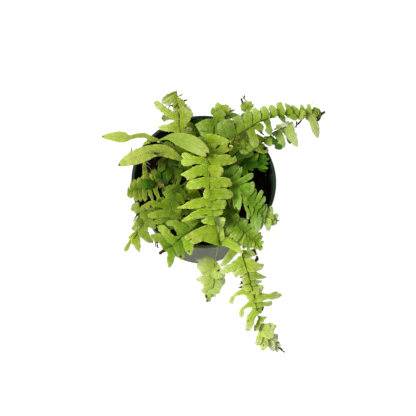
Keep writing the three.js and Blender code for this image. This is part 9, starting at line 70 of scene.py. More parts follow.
DRIED = {"back_left_frond":[[[[-32.35,67.08,153.55],[-29.33,67.99,154.99],[-26.72,68.96,155.98],[-24.47,70.02,156.55]],[0.237,-0.774,0.587],[[0.0,-0.54],[1.08,-0.75],[2.7,-0.93],[4.49,-0.97],[6.11,-0.87],[7.37,-0.69],[8.26,-0.5],[8.76,-0.36],[8.98,0],[8.76,0.36],[8.26,0.5],[7.37,0.69],[6.11,0.87],[4.49,0.97],[2.7,0.93],[1.08,0.75],[0.0,0.54]],6],[[[-34.64,68.35,162.86],[-32.39,68.32,164.18],[-30.5,68.8,165.5],[-28.93,69.81,166.86]],[0.268,-0.767,0.583],[[0.0,-0.3],[0.87,-0.42],[2.19,-0.52],[3.64,-0.54],[4.95,-0.48],[5.97,-0.39],[6.7,-0.28],[7.1,-0.2],[7.28,0],[7.1,0.2],[6.7,0.28],[5.97,0.39],[4.95,0.48],[3.64,0.54],[2.19,0.52],[0.87,0.42],[0.0,0.3]],6],[[[-37.78,55.06,165.83],[-39.37,53.66,168.15],[-40.6,51.86,169.16],[-41.47,49.61,168.83]],[-0.125,-0.251,0.96],[[0.0,-0.39],[0.97,-0.54],[2.42,-0.67],[4.03,-0.7],[5.48,-0.63],[6.61,-0.5],[7.41,-0.36],[7.85,-0.26],[8.06,0],[7.85,0.26],[7.41,0.36],[6.61,0.5],[5.48,0.63],[4.03,0.7],[2.42,0.67],[0.97,0.54],[0.0,0.39]],5]],"back_right_frond":[[[[108.9,83.71,137.85],[110.61,83.63,141.27],[112.84,81.69,141.65],[115.68,77.73,138.85]],[-0.363,-0.75,0.553],[[0.0,-0.98],[1.52,-1.4],[3.81,-1.63],[6.34,-1.62],[8.63,-1.42],[10.41,-1.06],[11.67,-0.65],[12.37,-0.33],[12.69,0],[12.37,0.33],[11.67,0.65],[10.41,1.06],[8.63,1.42],[6.34,1.62],[3.81,1.63],[1.52,1.4],[0.0,0.98]],3],[[[108.64,80.78,137.23],[110.63,79.17,139.99],[112.46,77.42,139.71],[114.18,75.46,136.23]],[-0.414,-0.708,0.572],[[0.0,-0.85],[1.31,-1.21],[3.27,-1.41],[5.45,-1.4],[7.41,-1.23],[8.93,-0.92],[10.02,-0.57],[10.62,-0.29],[10.89,0],[10.62,0.29],[10.02,0.57],[8.93,0.92],[7.41,1.23],[5.45,1.4],[3.27,1.41],[1.31,1.21],[0.0,0.85]],3],[[[109.65,80.09,137.0],[111.35,77.67,137.11],[113.71,75.55,136.79],[116.83,73.66,136.0]],[-0.403,-0.714,0.572],[[0.0,-0.84],[1.19,-1.16],[2.97,-1.45],[4.95,-1.51],[6.74,-1.36],[8.12,-1.08],[9.11,-0.78],[9.66,-0.56],[9.91,0],[9.66,0.56],[9.11,0.78],[8.12,1.08],[6.74,1.36],[4.95,1.51],[2.97,1.45],[1.19,1.16],[0.0,0.84]],6],[[[112.55,69.97,139.65],[114.45,70.3,140.31],[115.97,71.75,140.97],[117.14,74.42,141.65]],[0.086,-0.727,0.681],[[0.0,-0.78],[0.88,-1.08],[2.19,-1.34],[3.65,-1.41],[4.97,-1.26],[5.99,-1.0],[6.72,-0.73],[7.12,-0.52],[7.3,0],[7.12,0.52],[6.72,0.73],[5.99,1.0],[4.97,1.26],[3.65,1.41],[2.19,1.34],[0.88,1.08],[0.0,0.78]],5],[[[118.18,79.13,133.0],[120.25,82.28,133.55],[121.93,84.02,134.53],[123.26,84.33,136.0]],[0.092,-0.726,0.682],[[0.0,-0.89],[1.02,-1.25],[2.55,-1.55],[4.25,-1.62],[5.78,-1.45],[6.97,-1.16],[7.82,-0.84],[8.29,-0.6],[8.5,0],[8.29,0.6],[7.82,0.84],[6.97,1.16],[5.78,1.45],[4.25,1.62],[2.55,1.55],[1.02,1.25],[0.0,0.89]],6],[[[106.04,85.76,141.21],[106.96,87.99,143.19],[107.88,90.14,145.17],[108.84,92.28,147.21]],[0.176,-0.649,0.74],[[0.0,-0.1],[1.12,-0.15],[2.79,-0.18],[4.65,-0.19],[6.32,-0.17],[7.62,-0.14],[8.55,-0.1],[9.06,-0.07],[9.29,0],[9.06,0.07],[8.55,0.1],[7.62,0.14],[6.32,0.17],[4.65,0.19],[2.79,0.18],[1.12,0.15],[0.0,0.1]],6],[[[98.01,68.97,143.08],[95.33,65.06,143.19],[91.95,60.92,142.87],[87.72,56.4,142.08]],[-0.433,-0.258,0.864],[[0.0,-0.24],[1.96,-0.33],[4.9,-0.41],[8.17,-0.43],[11.11,-0.39],[13.4,-0.31],[15.04,-0.22],[15.94,-0.16],[16.35,0],[15.94,0.16],[15.04,0.22],[13.4,0.31],[11.11,0.39],[8.17,0.43],[4.9,0.41],[1.96,0.33],[0.0,0.24]],6],[[[96.25,67.11,143.12],[94.41,64.32,143.23],[93.08,62.28,142.91],[92.23,60.96,142.12]],[-0.461,-0.29,0.838],[[0.0,-0.6],[0.91,-0.83],[2.27,-1.03],[3.79,-1.08],[5.16,-0.97],[6.22,-0.77],[6.97,-0.56],[7.39,-0.4],[7.58,0],[7.39,0.4],[6.97,0.56],[6.22,0.77],[5.16,0.97],[3.79,1.08],[2.27,1.03],[0.91,0.83],[0.0,0.6]],5],[[[90.45,63.08,146.3],[90.52,58.69,146.41],[90.26,55.98,146.09],[89.64,54.96,145.3]],[-0.513,-0.436,0.739],[[0.0,-0.48],[1.04,-0.66],[2.6,-0.83],[4.33,-0.87],[5.89,-0.77],[7.1,-0.62],[7.96,-0.45],[8.44,-0.32],[8.66,0],[8.44,0.32],[7.96,0.45],[7.1,0.62],[5.89,0.77],[4.33,0.87],[2.6,0.83],[1.04,0.66],[0.0,0.48]],5],[[[50.71,41.21,158.15],[51.94,39.09,158.26],[53.91,37.42,157.94],[56.72,36.18,157.15]],[-0.313,-0.708,0.633],[[0.0,-0.42],[0.99,-0.58],[2.48,-0.72],[4.13,-0.76],[5.62,-0.68],[6.77,-0.54],[7.6,-0.39],[8.05,-0.28],[8.26,0],[8.05,0.28],[7.6,0.39],[6.77,0.54],[5.62,0.68],[4.13,0.76],[2.48,0.72],[0.99,0.58],[0.0,0.42]],6]],"front_right_frond":[[[[89.37,-154.65,72.91],[90.46,-154.01,73.69],[91.72,-154.22,74.02],[93.19,-155.31,73.91]],[-0.198,-0.469,0.861],[[0.0,-0.45],[0.56,-0.62],[1.41,-0.78],[2.34,-0.81],[3.19,-0.73],[3.84,-0.58],[4.31,-0.42],[4.57,-0.3],[4.69,0],[4.57,0.3],[4.31,0.42],[3.84,0.58],[3.19,0.73],[2.34,0.81],[1.41,0.78],[0.56,0.62],[0.0,0.45]],6],[[[91.74,-159.52,71.84],[93.7,-160.1,72.61],[95.33,-161.02,72.95],[96.68,-162.31,72.84]],[-0.324,-0.417,0.849],[[0.0,-0.54],[0.72,-0.75],[1.79,-0.93],[2.99,-0.97],[4.07,-0.87],[4.91,-0.69],[5.5,-0.5],[5.83,-0.36],[5.98,0],[5.83,0.36],[5.5,0.5],[4.91,0.69],[4.07,0.87],[2.99,0.97],[1.79,0.93],[0.72,0.75],[0.0,0.54]],6],[[[95.6,-160.93,67.0],[97.26,-161.88,67.77],[98.76,-162.6,68.11],[100.14,-163.08,68.0]],[-0.305,-0.425,0.852],[[0.0,-0.36],[0.63,-0.5],[1.57,-0.62],[2.62,-0.65],[3.56,-0.58],[4.29,-0.46],[4.82,-0.34],[5.11,-0.24],[5.24,0],[5.11,0.24],[4.82,0.34],[4.29,0.46],[3.56,0.58],[2.62,0.65],[1.57,0.62],[0.63,0.5],[0.0,0.36]],6],[[[52.56,-78.55,138.86],[54.24,-79.64,140.52],[55.54,-81.21,140.87],[56.47,-83.31,139.86]],[-0.359,-0.502,0.787],[[0.0,-0.66],[0.87,-0.91],[2.18,-1.14],[3.63,-1.19],[4.94,-1.06],[5.96,-0.85],[6.68,-0.61],[7.08,-0.44],[7.26,0],[7.08,0.44],[6.68,0.61],[5.96,0.85],[4.94,1.06],[3.63,1.19],[2.18,1.14],[0.87,0.91],[0.0,0.66]],5],[[[57.39,-83.09,135.75],[57.61,-85.53,137.41],[56.98,-87.95,137.76],[55.43,-90.43,136.75]],[-0.457,-0.155,0.876],[[0.0,-0.89],[1.04,-1.25],[2.6,-1.55],[4.33,-1.62],[5.89,-1.45],[7.11,-1.16],[7.97,-0.84],[8.45,-0.6],[8.66,0],[8.45,0.6],[7.97,0.84],[7.11,1.16],[5.89,1.45],[4.33,1.62],[2.6,1.55],[1.04,1.25],[0.0,0.89]],5],[[[45.42,-104.12,133.63],[44.61,-104.52,134.41],[43.72,-105.04,134.74],[42.71,-105.68,134.63]],[-0.237,0.111,0.965],[[0.0,-0.36],[0.42,-0.5],[1.05,-0.62],[1.75,-0.65],[2.38,-0.58],[2.87,-0.46],[3.22,-0.34],[3.41,-0.24],[3.5,0],[3.41,0.24],[3.22,0.34],[2.87,0.46],[2.38,0.58],[1.75,0.65],[1.05,0.62],[0.42,0.5],[0.0,0.36]],5],[[[44.77,-108.17,132.76],[44.82,-109.93,133.54],[44.31,-111.25,133.87],[43.21,-112.14,133.76]],[-0.418,-0.067,0.906],[[0.0,-0.48],[0.58,-0.66],[1.45,-0.83],[2.42,-0.87],[3.29,-0.77],[3.96,-0.62],[4.45,-0.45],[4.71,-0.32],[4.83,0],[4.71,0.32],[4.45,0.45],[3.96,0.62],[3.29,0.77],[2.42,0.87],[1.45,0.83],[0.58,0.66],[0.0,0.48]],5],[[[46.18,-111.33,127.31],[45.24,-112.47,128.08],[44.21,-113.31,128.42],[43.07,-113.87,128.31]],[-0.296,0.096,0.95],[[0.0,-0.48],[0.52,-0.66],[1.3,-0.83],[2.17,-0.87],[2.95,-0.77],[3.55,-0.62],[3.99,-0.45],[4.22,-0.32],[4.33,0],[4.22,0.32],[3.99,0.45],[3.55,0.62],[2.95,0.77],[2.17,0.87],[1.3,0.83],[0.52,0.66],[0.0,0.48]],5],[[[69.21,-126.42,112.68],[68.86,-127.93,113.45],[68.38,-129.41,113.79],[67.77,-130.89,113.68]],[-0.47,-0.053,0.881],[[0.0,-0.54],[0.59,-0.75],[1.48,-0.93],[2.47,-0.97],[3.36,-0.87],[4.05,-0.69],[4.55,-0.5],[4.82,-0.36],[4.94,0],[4.82,0.36],[4.55,0.5],[4.05,0.69],[3.36,0.87],[2.47,0.97],[1.48,0.93],[0.59,0.75],[0.0,0.54]],5]],"back_curled_frond":[[[[35.44,76.31,147.42],[35.21,79.47,148.08],[34.81,82.04,148.74],[34.2,84.07,149.42]],[0.317,-0.471,0.823],[[0.0,-0.15],[0.98,-0.21],[2.45,-0.26],[4.08,-0.27],[5.54,-0.24],[6.68,-0.19],[7.5,-0.14],[7.95,-0.1],[8.15,0],[7.95,0.1],[7.5,0.14],[6.68,0.19],[5.54,0.24],[4.08,0.27],[2.45,0.26],[0.98,0.21],[0.0,0.15]],5],[[[33.92,83.03,148.32],[34.22,84.99,148.32],[34.35,86.49,148.32],[34.31,87.57,148.32]],[0.324,-0.553,0.768],[[0.0,-0.72],[0.55,-1.0],[1.37,-1.24],[2.28,-1.3],[3.11,-1.16],[3.75,-0.93],[4.2,-0.67],[4.45,-0.48],[4.57,0],[4.45,0.48],[4.2,0.67],[3.75,0.93],[3.11,1.16],[2.28,1.3],[1.37,1.24],[0.55,1.0],[0.0,0.72]],5],[[[33.23,76.24,148.43],[32.6,78.16,149.09],[31.74,80.06,149.75],[30.64,82.01,150.43]],[0.296,-0.396,0.869],[[0.0,-0.78],[0.8,-1.08],[2.0,-1.34],[3.33,-1.41],[4.53,-1.26],[5.46,-1.0],[6.12,-0.73],[6.49,-0.52],[6.66,0],[6.49,0.52],[6.12,0.73],[5.46,1.0],[4.53,1.26],[3.33,1.41],[2.0,1.34],[0.8,1.08],[0.0,0.78]],6]],"front_left_frond":[[[[-29.24,-83.85,132.74],[-31.25,-85.55,133.51],[-33.41,-87.45,133.85],[-35.8,-89.62,133.74]],[-0.149,0.028,0.988],[[0.0,-1.01],[1.07,-1.41],[2.66,-1.76],[4.44,-1.84],[6.04,-1.65],[7.28,-1.31],[8.17,-0.95],[8.66,-0.68],[8.88,0],[8.66,0.68],[8.17,0.95],[7.28,1.31],[6.04,1.65],[4.44,1.84],[2.66,1.76],[1.07,1.41],[0.0,1.01]],5],[[[-39.78,-80.12,135.51],[-38.9,-79.76,136.28],[-37.92,-79.76,136.61],[-36.81,-80.16,136.51]],[0.122,-0.616,0.778],[[0.0,-0.42],[0.42,-0.58],[1.04,-0.72],[1.74,-0.76],[2.37,-0.68],[2.85,-0.54],[3.2,-0.39],[3.39,-0.28],[3.48,0],[3.39,0.28],[3.2,0.39],[2.85,0.54],[2.37,0.68],[1.74,0.76],[1.04,0.72],[0.42,0.58],[0.0,0.42]],5],[[[-38.22,-80.43,135.63],[-37.69,-83.17,136.4],[-36.8,-84.52,136.74],[-35.5,-84.46,136.63]],[-0.214,-0.466,0.858],[[0.0,-0.39],[0.72,-0.54],[1.79,-0.67],[2.98,-0.7],[4.06,-0.63],[4.89,-0.5],[5.49,-0.36],[5.82,-0.26],[5.97,0],[5.82,0.26],[5.49,0.36],[4.89,0.5],[4.06,0.63],[2.98,0.7],[1.79,0.67],[0.72,0.54],[0.0,0.39]],6]],"left_low_frond":[[[[-42.29,-75.18,126.92],[-41.12,-77.35,127.69],[-40.36,-79.71,128.03],[-40.0,-82.34,127.92]],[-0.26,-0.372,0.891],[[0.0,-0.24],[0.93,-0.33],[2.33,-0.41],[3.88,-0.43],[5.28,-0.39],[6.36,-0.31],[7.14,-0.22],[7.57,-0.16],[7.76,0],[7.57,0.16],[7.14,0.22],[6.36,0.31],[5.28,0.39],[3.88,0.43],[2.33,0.41],[0.93,0.33],[0.0,0.24]],6],[[[-58.33,-51.6,141.39],[-60.03,-54.85,142.16],[-61.61,-58.49,142.5],[-63.1,-62.65,142.39]],[-0.19,-0.155,0.969],[[0.0,-0.45],[1.46,-0.62],[3.65,-0.78],[6.08,-0.81],[8.27,-0.73],[9.97,-0.58],[11.19,-0.42],[11.85,-0.3],[12.16,0],[11.85,0.3],[11.19,0.42],[9.97,0.58],[8.27,0.73],[6.08,0.81],[3.65,0.78],[1.46,0.62],[0.0,0.45]],5]],"right_frond":[[[[71.56,-44.85,137.91],[73.23,-45.74,138.68],[75.5,-46.13,139.02],[78.45,-46.0,138.91]],[-0.166,-0.665,0.728],[[0.0,-0.27],[0.88,-0.37],[2.21,-0.47],[3.68,-0.49],[5.0,-0.44],[6.03,-0.35],[6.76,-0.25],[7.17,-0.18],[7.35,0],[7.17,0.18],[6.76,0.25],[6.03,0.35],[5.0,0.44],[3.68,0.49],[2.21,0.47],[0.88,0.37],[0.0,0.27]],6],[[[73.9,-44.9,137.88],[74.87,-46.98,138.65],[74.89,-48.93,138.99],[73.93,-50.81,138.88]],[-0.495,-0.329,0.804],[[0.0,-0.39],[0.79,-0.54],[1.97,-0.67],[3.28,-0.7],[4.47,-0.63],[5.38,-0.5],[6.04,-0.36],[6.4,-0.26],[6.57,0],[6.4,0.26],[6.04,0.36],[5.38,0.5],[4.47,0.63],[3.28,0.7],[1.97,0.67],[0.79,0.54],[0.0,0.39]],5],[[[28.85,-32.88,156.98],[28.61,-36.33,155.66],[29.04,-39.56,154.34],[30.19,-42.64,152.98]],[-0.409,-0.385,0.827],[[0.0,-0.33],[1.3,-0.46],[3.24,-0.57],[5.4,-0.59],[7.34,-0.53],[8.85,-0.42],[9.93,-0.31],[10.53,-0.22],[10.8,0],[10.53,0.22],[9.93,0.31],[8.85,0.42],[7.34,0.53],[5.4,0.59],[3.24,0.57],[1.3,0.46],[0.0,0.33]],6],[[[34.08,-35.98,156.77],[33.07,-38.33,155.45],[32.93,-40.79,154.13],[33.7,-43.44,152.77]],[-0.42,-0.32,0.849],[[0.0,-0.27],[1.05,-0.37],[2.64,-0.47],[4.39,-0.49],[5.97,-0.44],[7.2,-0.35],[8.08,-0.25],[8.56,-0.18],[8.78,0],[8.56,0.18],[8.08,0.25],[7.2,0.35],[5.97,0.44],[4.39,0.49],[2.64,0.47],[1.05,0.37],[0.0,0.27]],6]],"dark_leaflets_center":[[[[-0.25,-21.3,130.6],[0.61,-19.71,132.37],[0.85,-20.76,132.4],[0.48,-24.61,130.6]],[-0.348,-0.442,0.827],[[0.0,-0.45],[0.97,-0.62],[2.44,-0.78],[4.06,-0.81],[5.52,-0.73],[6.66,-0.58],[7.47,-0.42],[7.92,-0.3],[8.12,0],[7.92,0.3],[7.47,0.42],[6.66,0.58],[5.52,0.73],[4.06,0.81],[2.44,0.78],[0.97,0.62],[0.0,0.45]],6]],"left_upper_frond":[[[[-46.72,3.21,144.82],[-47.63,2.15,142.84],[-47.46,0.28,140.86],[-46.18,-2.48,138.82]],[-0.263,-0.455,0.851],[[0.0,-0.48],[1.07,-0.66],[2.66,-0.83],[4.44,-0.87],[6.04,-0.77],[7.28,-0.62],[8.17,-0.45],[8.66,-0.32],[8.88,0],[8.66,0.32],[8.17,0.45],[7.28,0.62],[6.04,0.77],[4.44,0.87],[2.66,0.83],[1.07,0.66],[0.0,0.48]],6],[[[-38.7,1.6,142.11],[-39.16,-1.02,142.99],[-38.86,-3.34,143.0],[-37.76,-5.41,142.11]],[-0.279,-0.445,0.851],[[0.0,-0.36],[0.93,-0.5],[2.32,-0.62],[3.86,-0.65],[5.25,-0.58],[6.33,-0.46],[7.1,-0.34],[7.52,-0.24],[7.72,0],[7.52,0.24],[7.1,0.34],[6.33,0.46],[5.25,0.58],[3.86,0.65],[2.32,0.62],[0.93,0.5],[0.0,0.36]],6],[[[-33.2,-7.44,142.76],[-33.96,-10.69,142.87],[-33.5,-14.55,142.55],[-31.76,-19.15,141.76]],[-0.289,-0.426,0.857],[[0.0,-0.39],[1.47,-0.54],[3.68,-0.67],[6.14,-0.7],[8.34,-0.63],[10.06,-0.5],[11.29,-0.36],[11.96,-0.26],[12.27,0],[11.96,0.26],[11.29,0.36],[10.06,0.5],[8.34,0.63],[6.14,0.7],[3.68,0.67],[1.47,0.54],[0.0,0.39]],6]],"center_frond":[[[[12.71,-114.8,84.73],[13.3,-116.6,85.5],[13.77,-117.98,85.84],[14.11,-118.96,85.73]],[-0.359,-0.298,0.884],[[0.0,-0.51],[0.55,-0.71],[1.38,-0.88],[2.3,-0.92],[3.13,-0.82],[3.77,-0.66],[4.23,-0.48],[4.49,-0.34],[4.6,0],[4.49,0.34],[4.23,0.48],[3.77,0.66],[3.13,0.82],[2.3,0.92],[1.38,0.88],[0.55,0.71],[0.0,0.51]],5],[[[14.95,-118.5,79.05],[14.58,-119.75,79.82],[14.78,-120.88,80.16],[15.58,-121.92,80.05]],[-0.376,-0.24,0.895],[[0.0,-0.42],[0.49,-0.58],[1.22,-0.72],[2.03,-0.76],[2.77,-0.68],[3.34,-0.54],[3.74,-0.39],[3.97,-0.28],[4.07,0],[3.97,0.28],[3.74,0.39],[3.34,0.54],[2.77,0.68],[2.03,0.76],[1.22,0.72],[0.49,0.58],[0.0,0.42]],5],[[[22.14,-94.49,105.36],[23.0,-94.38,106.9],[24.08,-93.72,107.58],[25.42,-92.48,107.36]],[0.19,-0.516,0.835],[[0.0,-0.54],[0.61,-0.75],[1.53,-0.93],[2.55,-0.97],[3.47,-0.87],[4.18,-0.69],[4.69,-0.5],[4.97,-0.36],[5.1,0],[4.97,0.36],[4.69,0.5],[4.18,0.69],[3.47,0.87],[2.55,0.97],[1.53,0.93],[0.61,0.75],[0.0,0.54]],5],[[[9.69,11.65,165.38],[10.58,13.04,166.07],[11.71,14.38,166.38],[13.12,15.71,166.28]],[0.276,-0.653,0.705],[[0.0,-0.51],[0.66,-0.71],[1.66,-0.88],[2.76,-0.92],[3.75,-0.82],[4.52,-0.66],[5.08,-0.48],[5.38,-0.34],[5.52,0],[5.38,0.34],[5.08,0.48],[4.52,0.66],[3.75,0.82],[2.76,0.92],[1.66,0.88],[0.66,0.71],[0.0,0.51]],5],[[[20.57,18.55,163.96],[20.82,16.45,164.66],[21.27,14.83,164.96],[21.95,13.67,164.86]],[-0.372,-0.553,0.746],[[0.0,-0.51],[0.64,-0.71],[1.59,-0.88],[2.65,-0.92],[3.6,-0.82],[4.35,-0.66],[4.88,-0.48],[5.17,-0.34],[5.3,0],[5.17,0.34],[4.88,0.48],[4.35,0.66],[3.6,0.82],[2.65,0.92],[1.59,0.88],[0.64,0.71],[0.0,0.51]],5],[[[22.27,15.78,162.32],[23.26,16.29,163.2],[24.37,16.4,163.48],[25.63,16.09,163.12]],[0.04,-0.763,0.645],[[0.0,-0.95],[0.48,-1.33],[1.19,-1.65],[1.98,-1.73],[2.69,-1.55],[3.25,-1.23],[3.64,-0.89],[3.86,-0.64],[3.96,0],[3.86,0.64],[3.64,0.89],[3.25,1.23],[2.69,1.55],[1.98,1.73],[1.19,1.65],[0.48,1.33],[0.0,0.95]],9]],"left_small_frond":[[[[-46.25,-16.7,131.88],[-43.61,-18.14,132.76],[-41.06,-19.2,132.78],[-38.55,-19.9,131.88]],[-0.041,-0.686,0.726],[[0.0,-1.79],[1.04,-2.49],[2.61,-3.1],[4.35,-3.24],[5.91,-2.9],[7.13,-2.31],[8.0,-1.68],[8.47,-1.21],[8.69,0],[8.47,1.21],[8.0,1.68],[7.13,2.31],[5.91,2.9],[4.35,3.24],[2.61,3.1],[1.04,2.49],[0.0,1.79]],10],[[[-60.26,0.09,138.23],[-57.86,-1.05,139.12],[-55.29,-3.04,139.13],[-52.46,-5.99,138.23]],[-0.1,-0.674,0.732],[[0.0,-0.18],[1.23,-0.25],[3.08,-0.31],[5.14,-0.32],[6.99,-0.29],[8.43,-0.23],[9.46,-0.17],[10.02,-0.12],[10.28,0],[10.02,0.12],[9.46,0.17],[8.43,0.23],[6.99,0.29],[5.14,0.32],[3.08,0.31],[1.23,0.25],[0.0,0.18]],8],[[[-59.87,3.36,138.3],[-59.1,2.94,139.18],[-57.49,2.06,139.2],[-54.95,0.68,138.3]],[-0.045,-0.706,0.706],[[0.0,-0.36],[0.74,-0.5],[1.85,-0.62],[3.09,-0.65],[4.2,-0.58],[5.07,-0.46],[5.68,-0.34],[6.02,-0.24],[6.18,0],[6.02,0.24],[5.68,0.34],[5.07,0.46],[4.2,0.58],[3.09,0.65],[1.85,0.62],[0.74,0.5],[0.0,0.36]],8]],"right_mid_frond":[[[[35.39,-44.79,132.8],[37.12,-45.94,133.69],[38.84,-46.6,133.7],[40.61,-46.78,132.8]],[-0.182,-0.645,0.742],[[0.0,-1.37],[0.74,-1.91],[1.84,-2.38],[3.07,-2.49],[4.18,-2.23],[5.04,-1.77],[5.65,-1.29],[5.99,-0.92],[6.14,0],[5.99,0.92],[5.65,1.29],[5.04,1.77],[4.18,2.23],[3.07,2.49],[1.84,2.38],[0.74,1.91],[0.0,1.37]],10]],"strap_leaf":[[[[-48.34,13.46,164.5],[-47.33,13.64,164.5],[-46.28,13.53,164.5],[-45.17,13.13,164.5]],[0.071,-0.763,0.642],[[0.0,-0.54],[0.39,-0.75],[0.98,-0.93],[1.63,-0.97],[2.22,-0.87],[2.68,-0.69],[3.01,-0.5],[3.19,-0.36],[3.27,0],[3.19,0.36],[3.01,0.5],[2.68,0.69],[2.22,0.87],[1.63,0.97],[0.98,0.93],[0.39,0.75],[0.0,0.54]],0],[[[-55.07,10.6,166.0],[-56.56,12.49,165.45],[-58.66,12.26,164.47],[-61.46,9.79,163.0]],[0.003,-0.132,0.991],[[0.0,-0.95],[1.08,-1.33],[2.69,-1.65],[4.48,-1.73],[6.1,-1.55],[7.35,-1.23],[8.25,-0.89],[8.74,-0.64],[8.97,0],[8.74,0.64],[8.25,0.89],[7.35,1.23],[6.1,1.55],[4.48,1.73],[2.69,1.65],[1.08,1.33],[0.0,0.95]],2],[[[-56.99,-0.86,166.5],[-50.7,0.51,167.45],[-45.58,1.56,167.79],[-41.53,2.3,167.5]],[0.186,-0.738,0.648],[[0.0,-0.45],[1.91,-0.62],[4.76,-0.78],[7.94,-0.81],[10.8,-0.73],[13.02,-0.58],[14.61,-0.42],[15.48,-0.3],[15.88,0],[15.48,0.3],[14.61,0.42],[13.02,0.58],[10.8,0.73],[7.94,0.81],[4.76,0.78],[1.91,0.62],[0.0,0.45]],3],[[[-50.73,2.55,166.0],[-49.38,-0.11,166.79],[-47.05,-0.88,167.07],[-43.64,0.28,166.8]],[0.023,-0.742,0.67],[[0.0,-0.36],[1.12,-0.5],[2.8,-0.62],[4.66,-0.65],[6.34,-0.58],[7.64,-0.46],[8.58,-0.34],[9.09,-0.24],[9.32,0],[9.09,0.24],[8.58,0.34],[7.64,0.46],[6.34,0.58],[4.66,0.65],[2.8,0.62],[1.12,0.5],[0.0,0.36]],6],[[[-70.42,-6.87,163.5],[-71.25,-0.19,163.5],[-72.02,4.06,163.5],[-72.76,5.9,163.5]],[0.517,-0.348,0.782],[[0.0,-1.02],[1.57,-1.37],[3.92,-1.41],[6.53,-1.29],[8.88,-1.04],[10.71,-0.73],[12.02,-0.42],[12.73,-0.21],[13.06,0],[12.73,0.21],[12.02,0.42],[10.71,0.73],[8.88,1.04],[6.53,1.29],[3.92,1.41],[1.57,1.37],[0.0,1.02]],2]],"twin_strap_frond":[[[[-0.01,-2.08,181.0],[1.47,-3.0,181.72],[1.85,-4.79,181.96],[1.12,-7.52,181.7]],[-0.349,-0.505,0.79],[[0.0,-0.63],[0.8,-0.87],[2.0,-1.09],[3.33,-1.14],[4.53,-1.02],[5.46,-0.81],[6.13,-0.59],[6.5,-0.42],[6.66,0],[6.5,0.42],[6.13,0.59],[5.46,0.81],[4.53,1.02],[3.33,1.14],[2.0,1.09],[0.8,0.87],[0.0,0.63]],5]],"rosette_frond":[[[[37.67,34.72,134.68],[38.72,33.72,138.54],[40.0,33.72,140.23],[41.56,34.77,139.68]],[0.131,-0.733,0.668],[[0.0,-0.89],[1.0,-1.25],[2.51,-1.55],[4.19,-1.62],[5.69,-1.45],[6.87,-1.16],[7.7,-0.84],[8.16,-0.6],[8.37,0],[8.16,0.6],[7.7,0.84],[6.87,1.16],[5.69,1.45],[4.19,1.62],[2.51,1.55],[1.0,1.25],[0.0,0.89]],9],[[[26.79,31.44,135.7],[28.57,31.5,139.56],[30.69,32.19,141.24],[33.23,33.56,140.7]],[0.162,-0.723,0.671],[[0.0,-1.25],[1.22,-1.74],[3.04,-2.17],[5.07,-2.27],[6.89,-2.03],[8.31,-1.62],[9.32,-1.17],[9.88,-0.84],[10.13,0],[9.88,0.84],[9.32,1.17],[8.31,1.62],[6.89,2.03],[5.07,2.27],[3.04,2.17],[1.22,1.74],[0.0,1.25]],1],[[[40.38,30.36,135.94],[38.74,33.74,142.0],[38.21,39.23,145.02],[38.81,47.09,144.94]],[0.314,-0.438,0.842],[[0.0,-2.53],[2.58,-3.53],[6.46,-4.39],[10.76,-4.6],[14.64,-4.11],[17.65,-3.28],[19.8,-2.38],[20.99,-1.71],[21.53,0],[20.99,1.71],[19.8,2.38],[17.65,3.28],[14.64,4.11],[10.76,4.6],[6.46,4.39],[2.58,3.53],[0.0,2.53]],2]]}
SPOTS = {"twin_strap_frond":[[-104.32,18.14,156.0,0.96],[-47.31,13.29,165.0,0.96]],"strap_leaf":[[-83.07,-11.96,157.0,1.09]],"left_upper_frond":[[-49.07,30.88,130.47,0.79]],"back_center_frond":[[4.61,42.65,147.08,0.96]],"back_right_frond":[[56.67,37.7,156.29,1.2]],"center_frond":[[1.15,-37.67,171.99,1.09],[23.45,-93.49,106.06,0.9],[14.14,-116.15,79.62,0.84],[14.54,-119.99,78.0,0.79]],"front_left_frond":[[-11.02,-55.74,143.68,0.96],[-14.59,-90.9,136.19,1.46],[-7.0,-85.73,139.02,1.16]],"front_right_frond":[[23.89,-102.8,130.29,0.79],[56.09,-140.51,105.36,0.96],[44.22,-104.04,133.56,0.9],[45.2,-109.89,132.19,0.84],[45.4,-112.6,126.99,0.79],[56.69,-79.83,137.4,0.96],[69.76,-127.52,107.82,0.9],[64.6,-146.96,94.42,0.9],[75.18,-159.33,83.19,0.96],[80.45,-140.97,89.67,0.96],[57.53,-87.53,136.97,1.36]],"right_low_frond":[[62.97,-70.48,126.5,1.02]],"back_left_frond":[[-48.55,51.0,146.37,1.55]],"right_shoulder_frond":[[59.71,30.4,140.73,2.33]],"mid_left_frond":[[-47.25,-49.68,153.81,1.26]],"left_low_frond":[[-52.24,-49.24,140.61,1.55]]}

LIP_R, LIP_W, POT_H, FOOT_R, FLOOR_T, SOIL_Z = 76.0, 3.5, 120.0, 61.2, 2.4, 106.0


def lin(*c):
    """sRGB 0..255 to linear."""
    out = []
    for x in c:
        x /= 255.0
        out.append(x / 12.92 if x <= 0.04045 else ((x + 0.055) / 1.055) ** 2.4)
    return np.array(out)


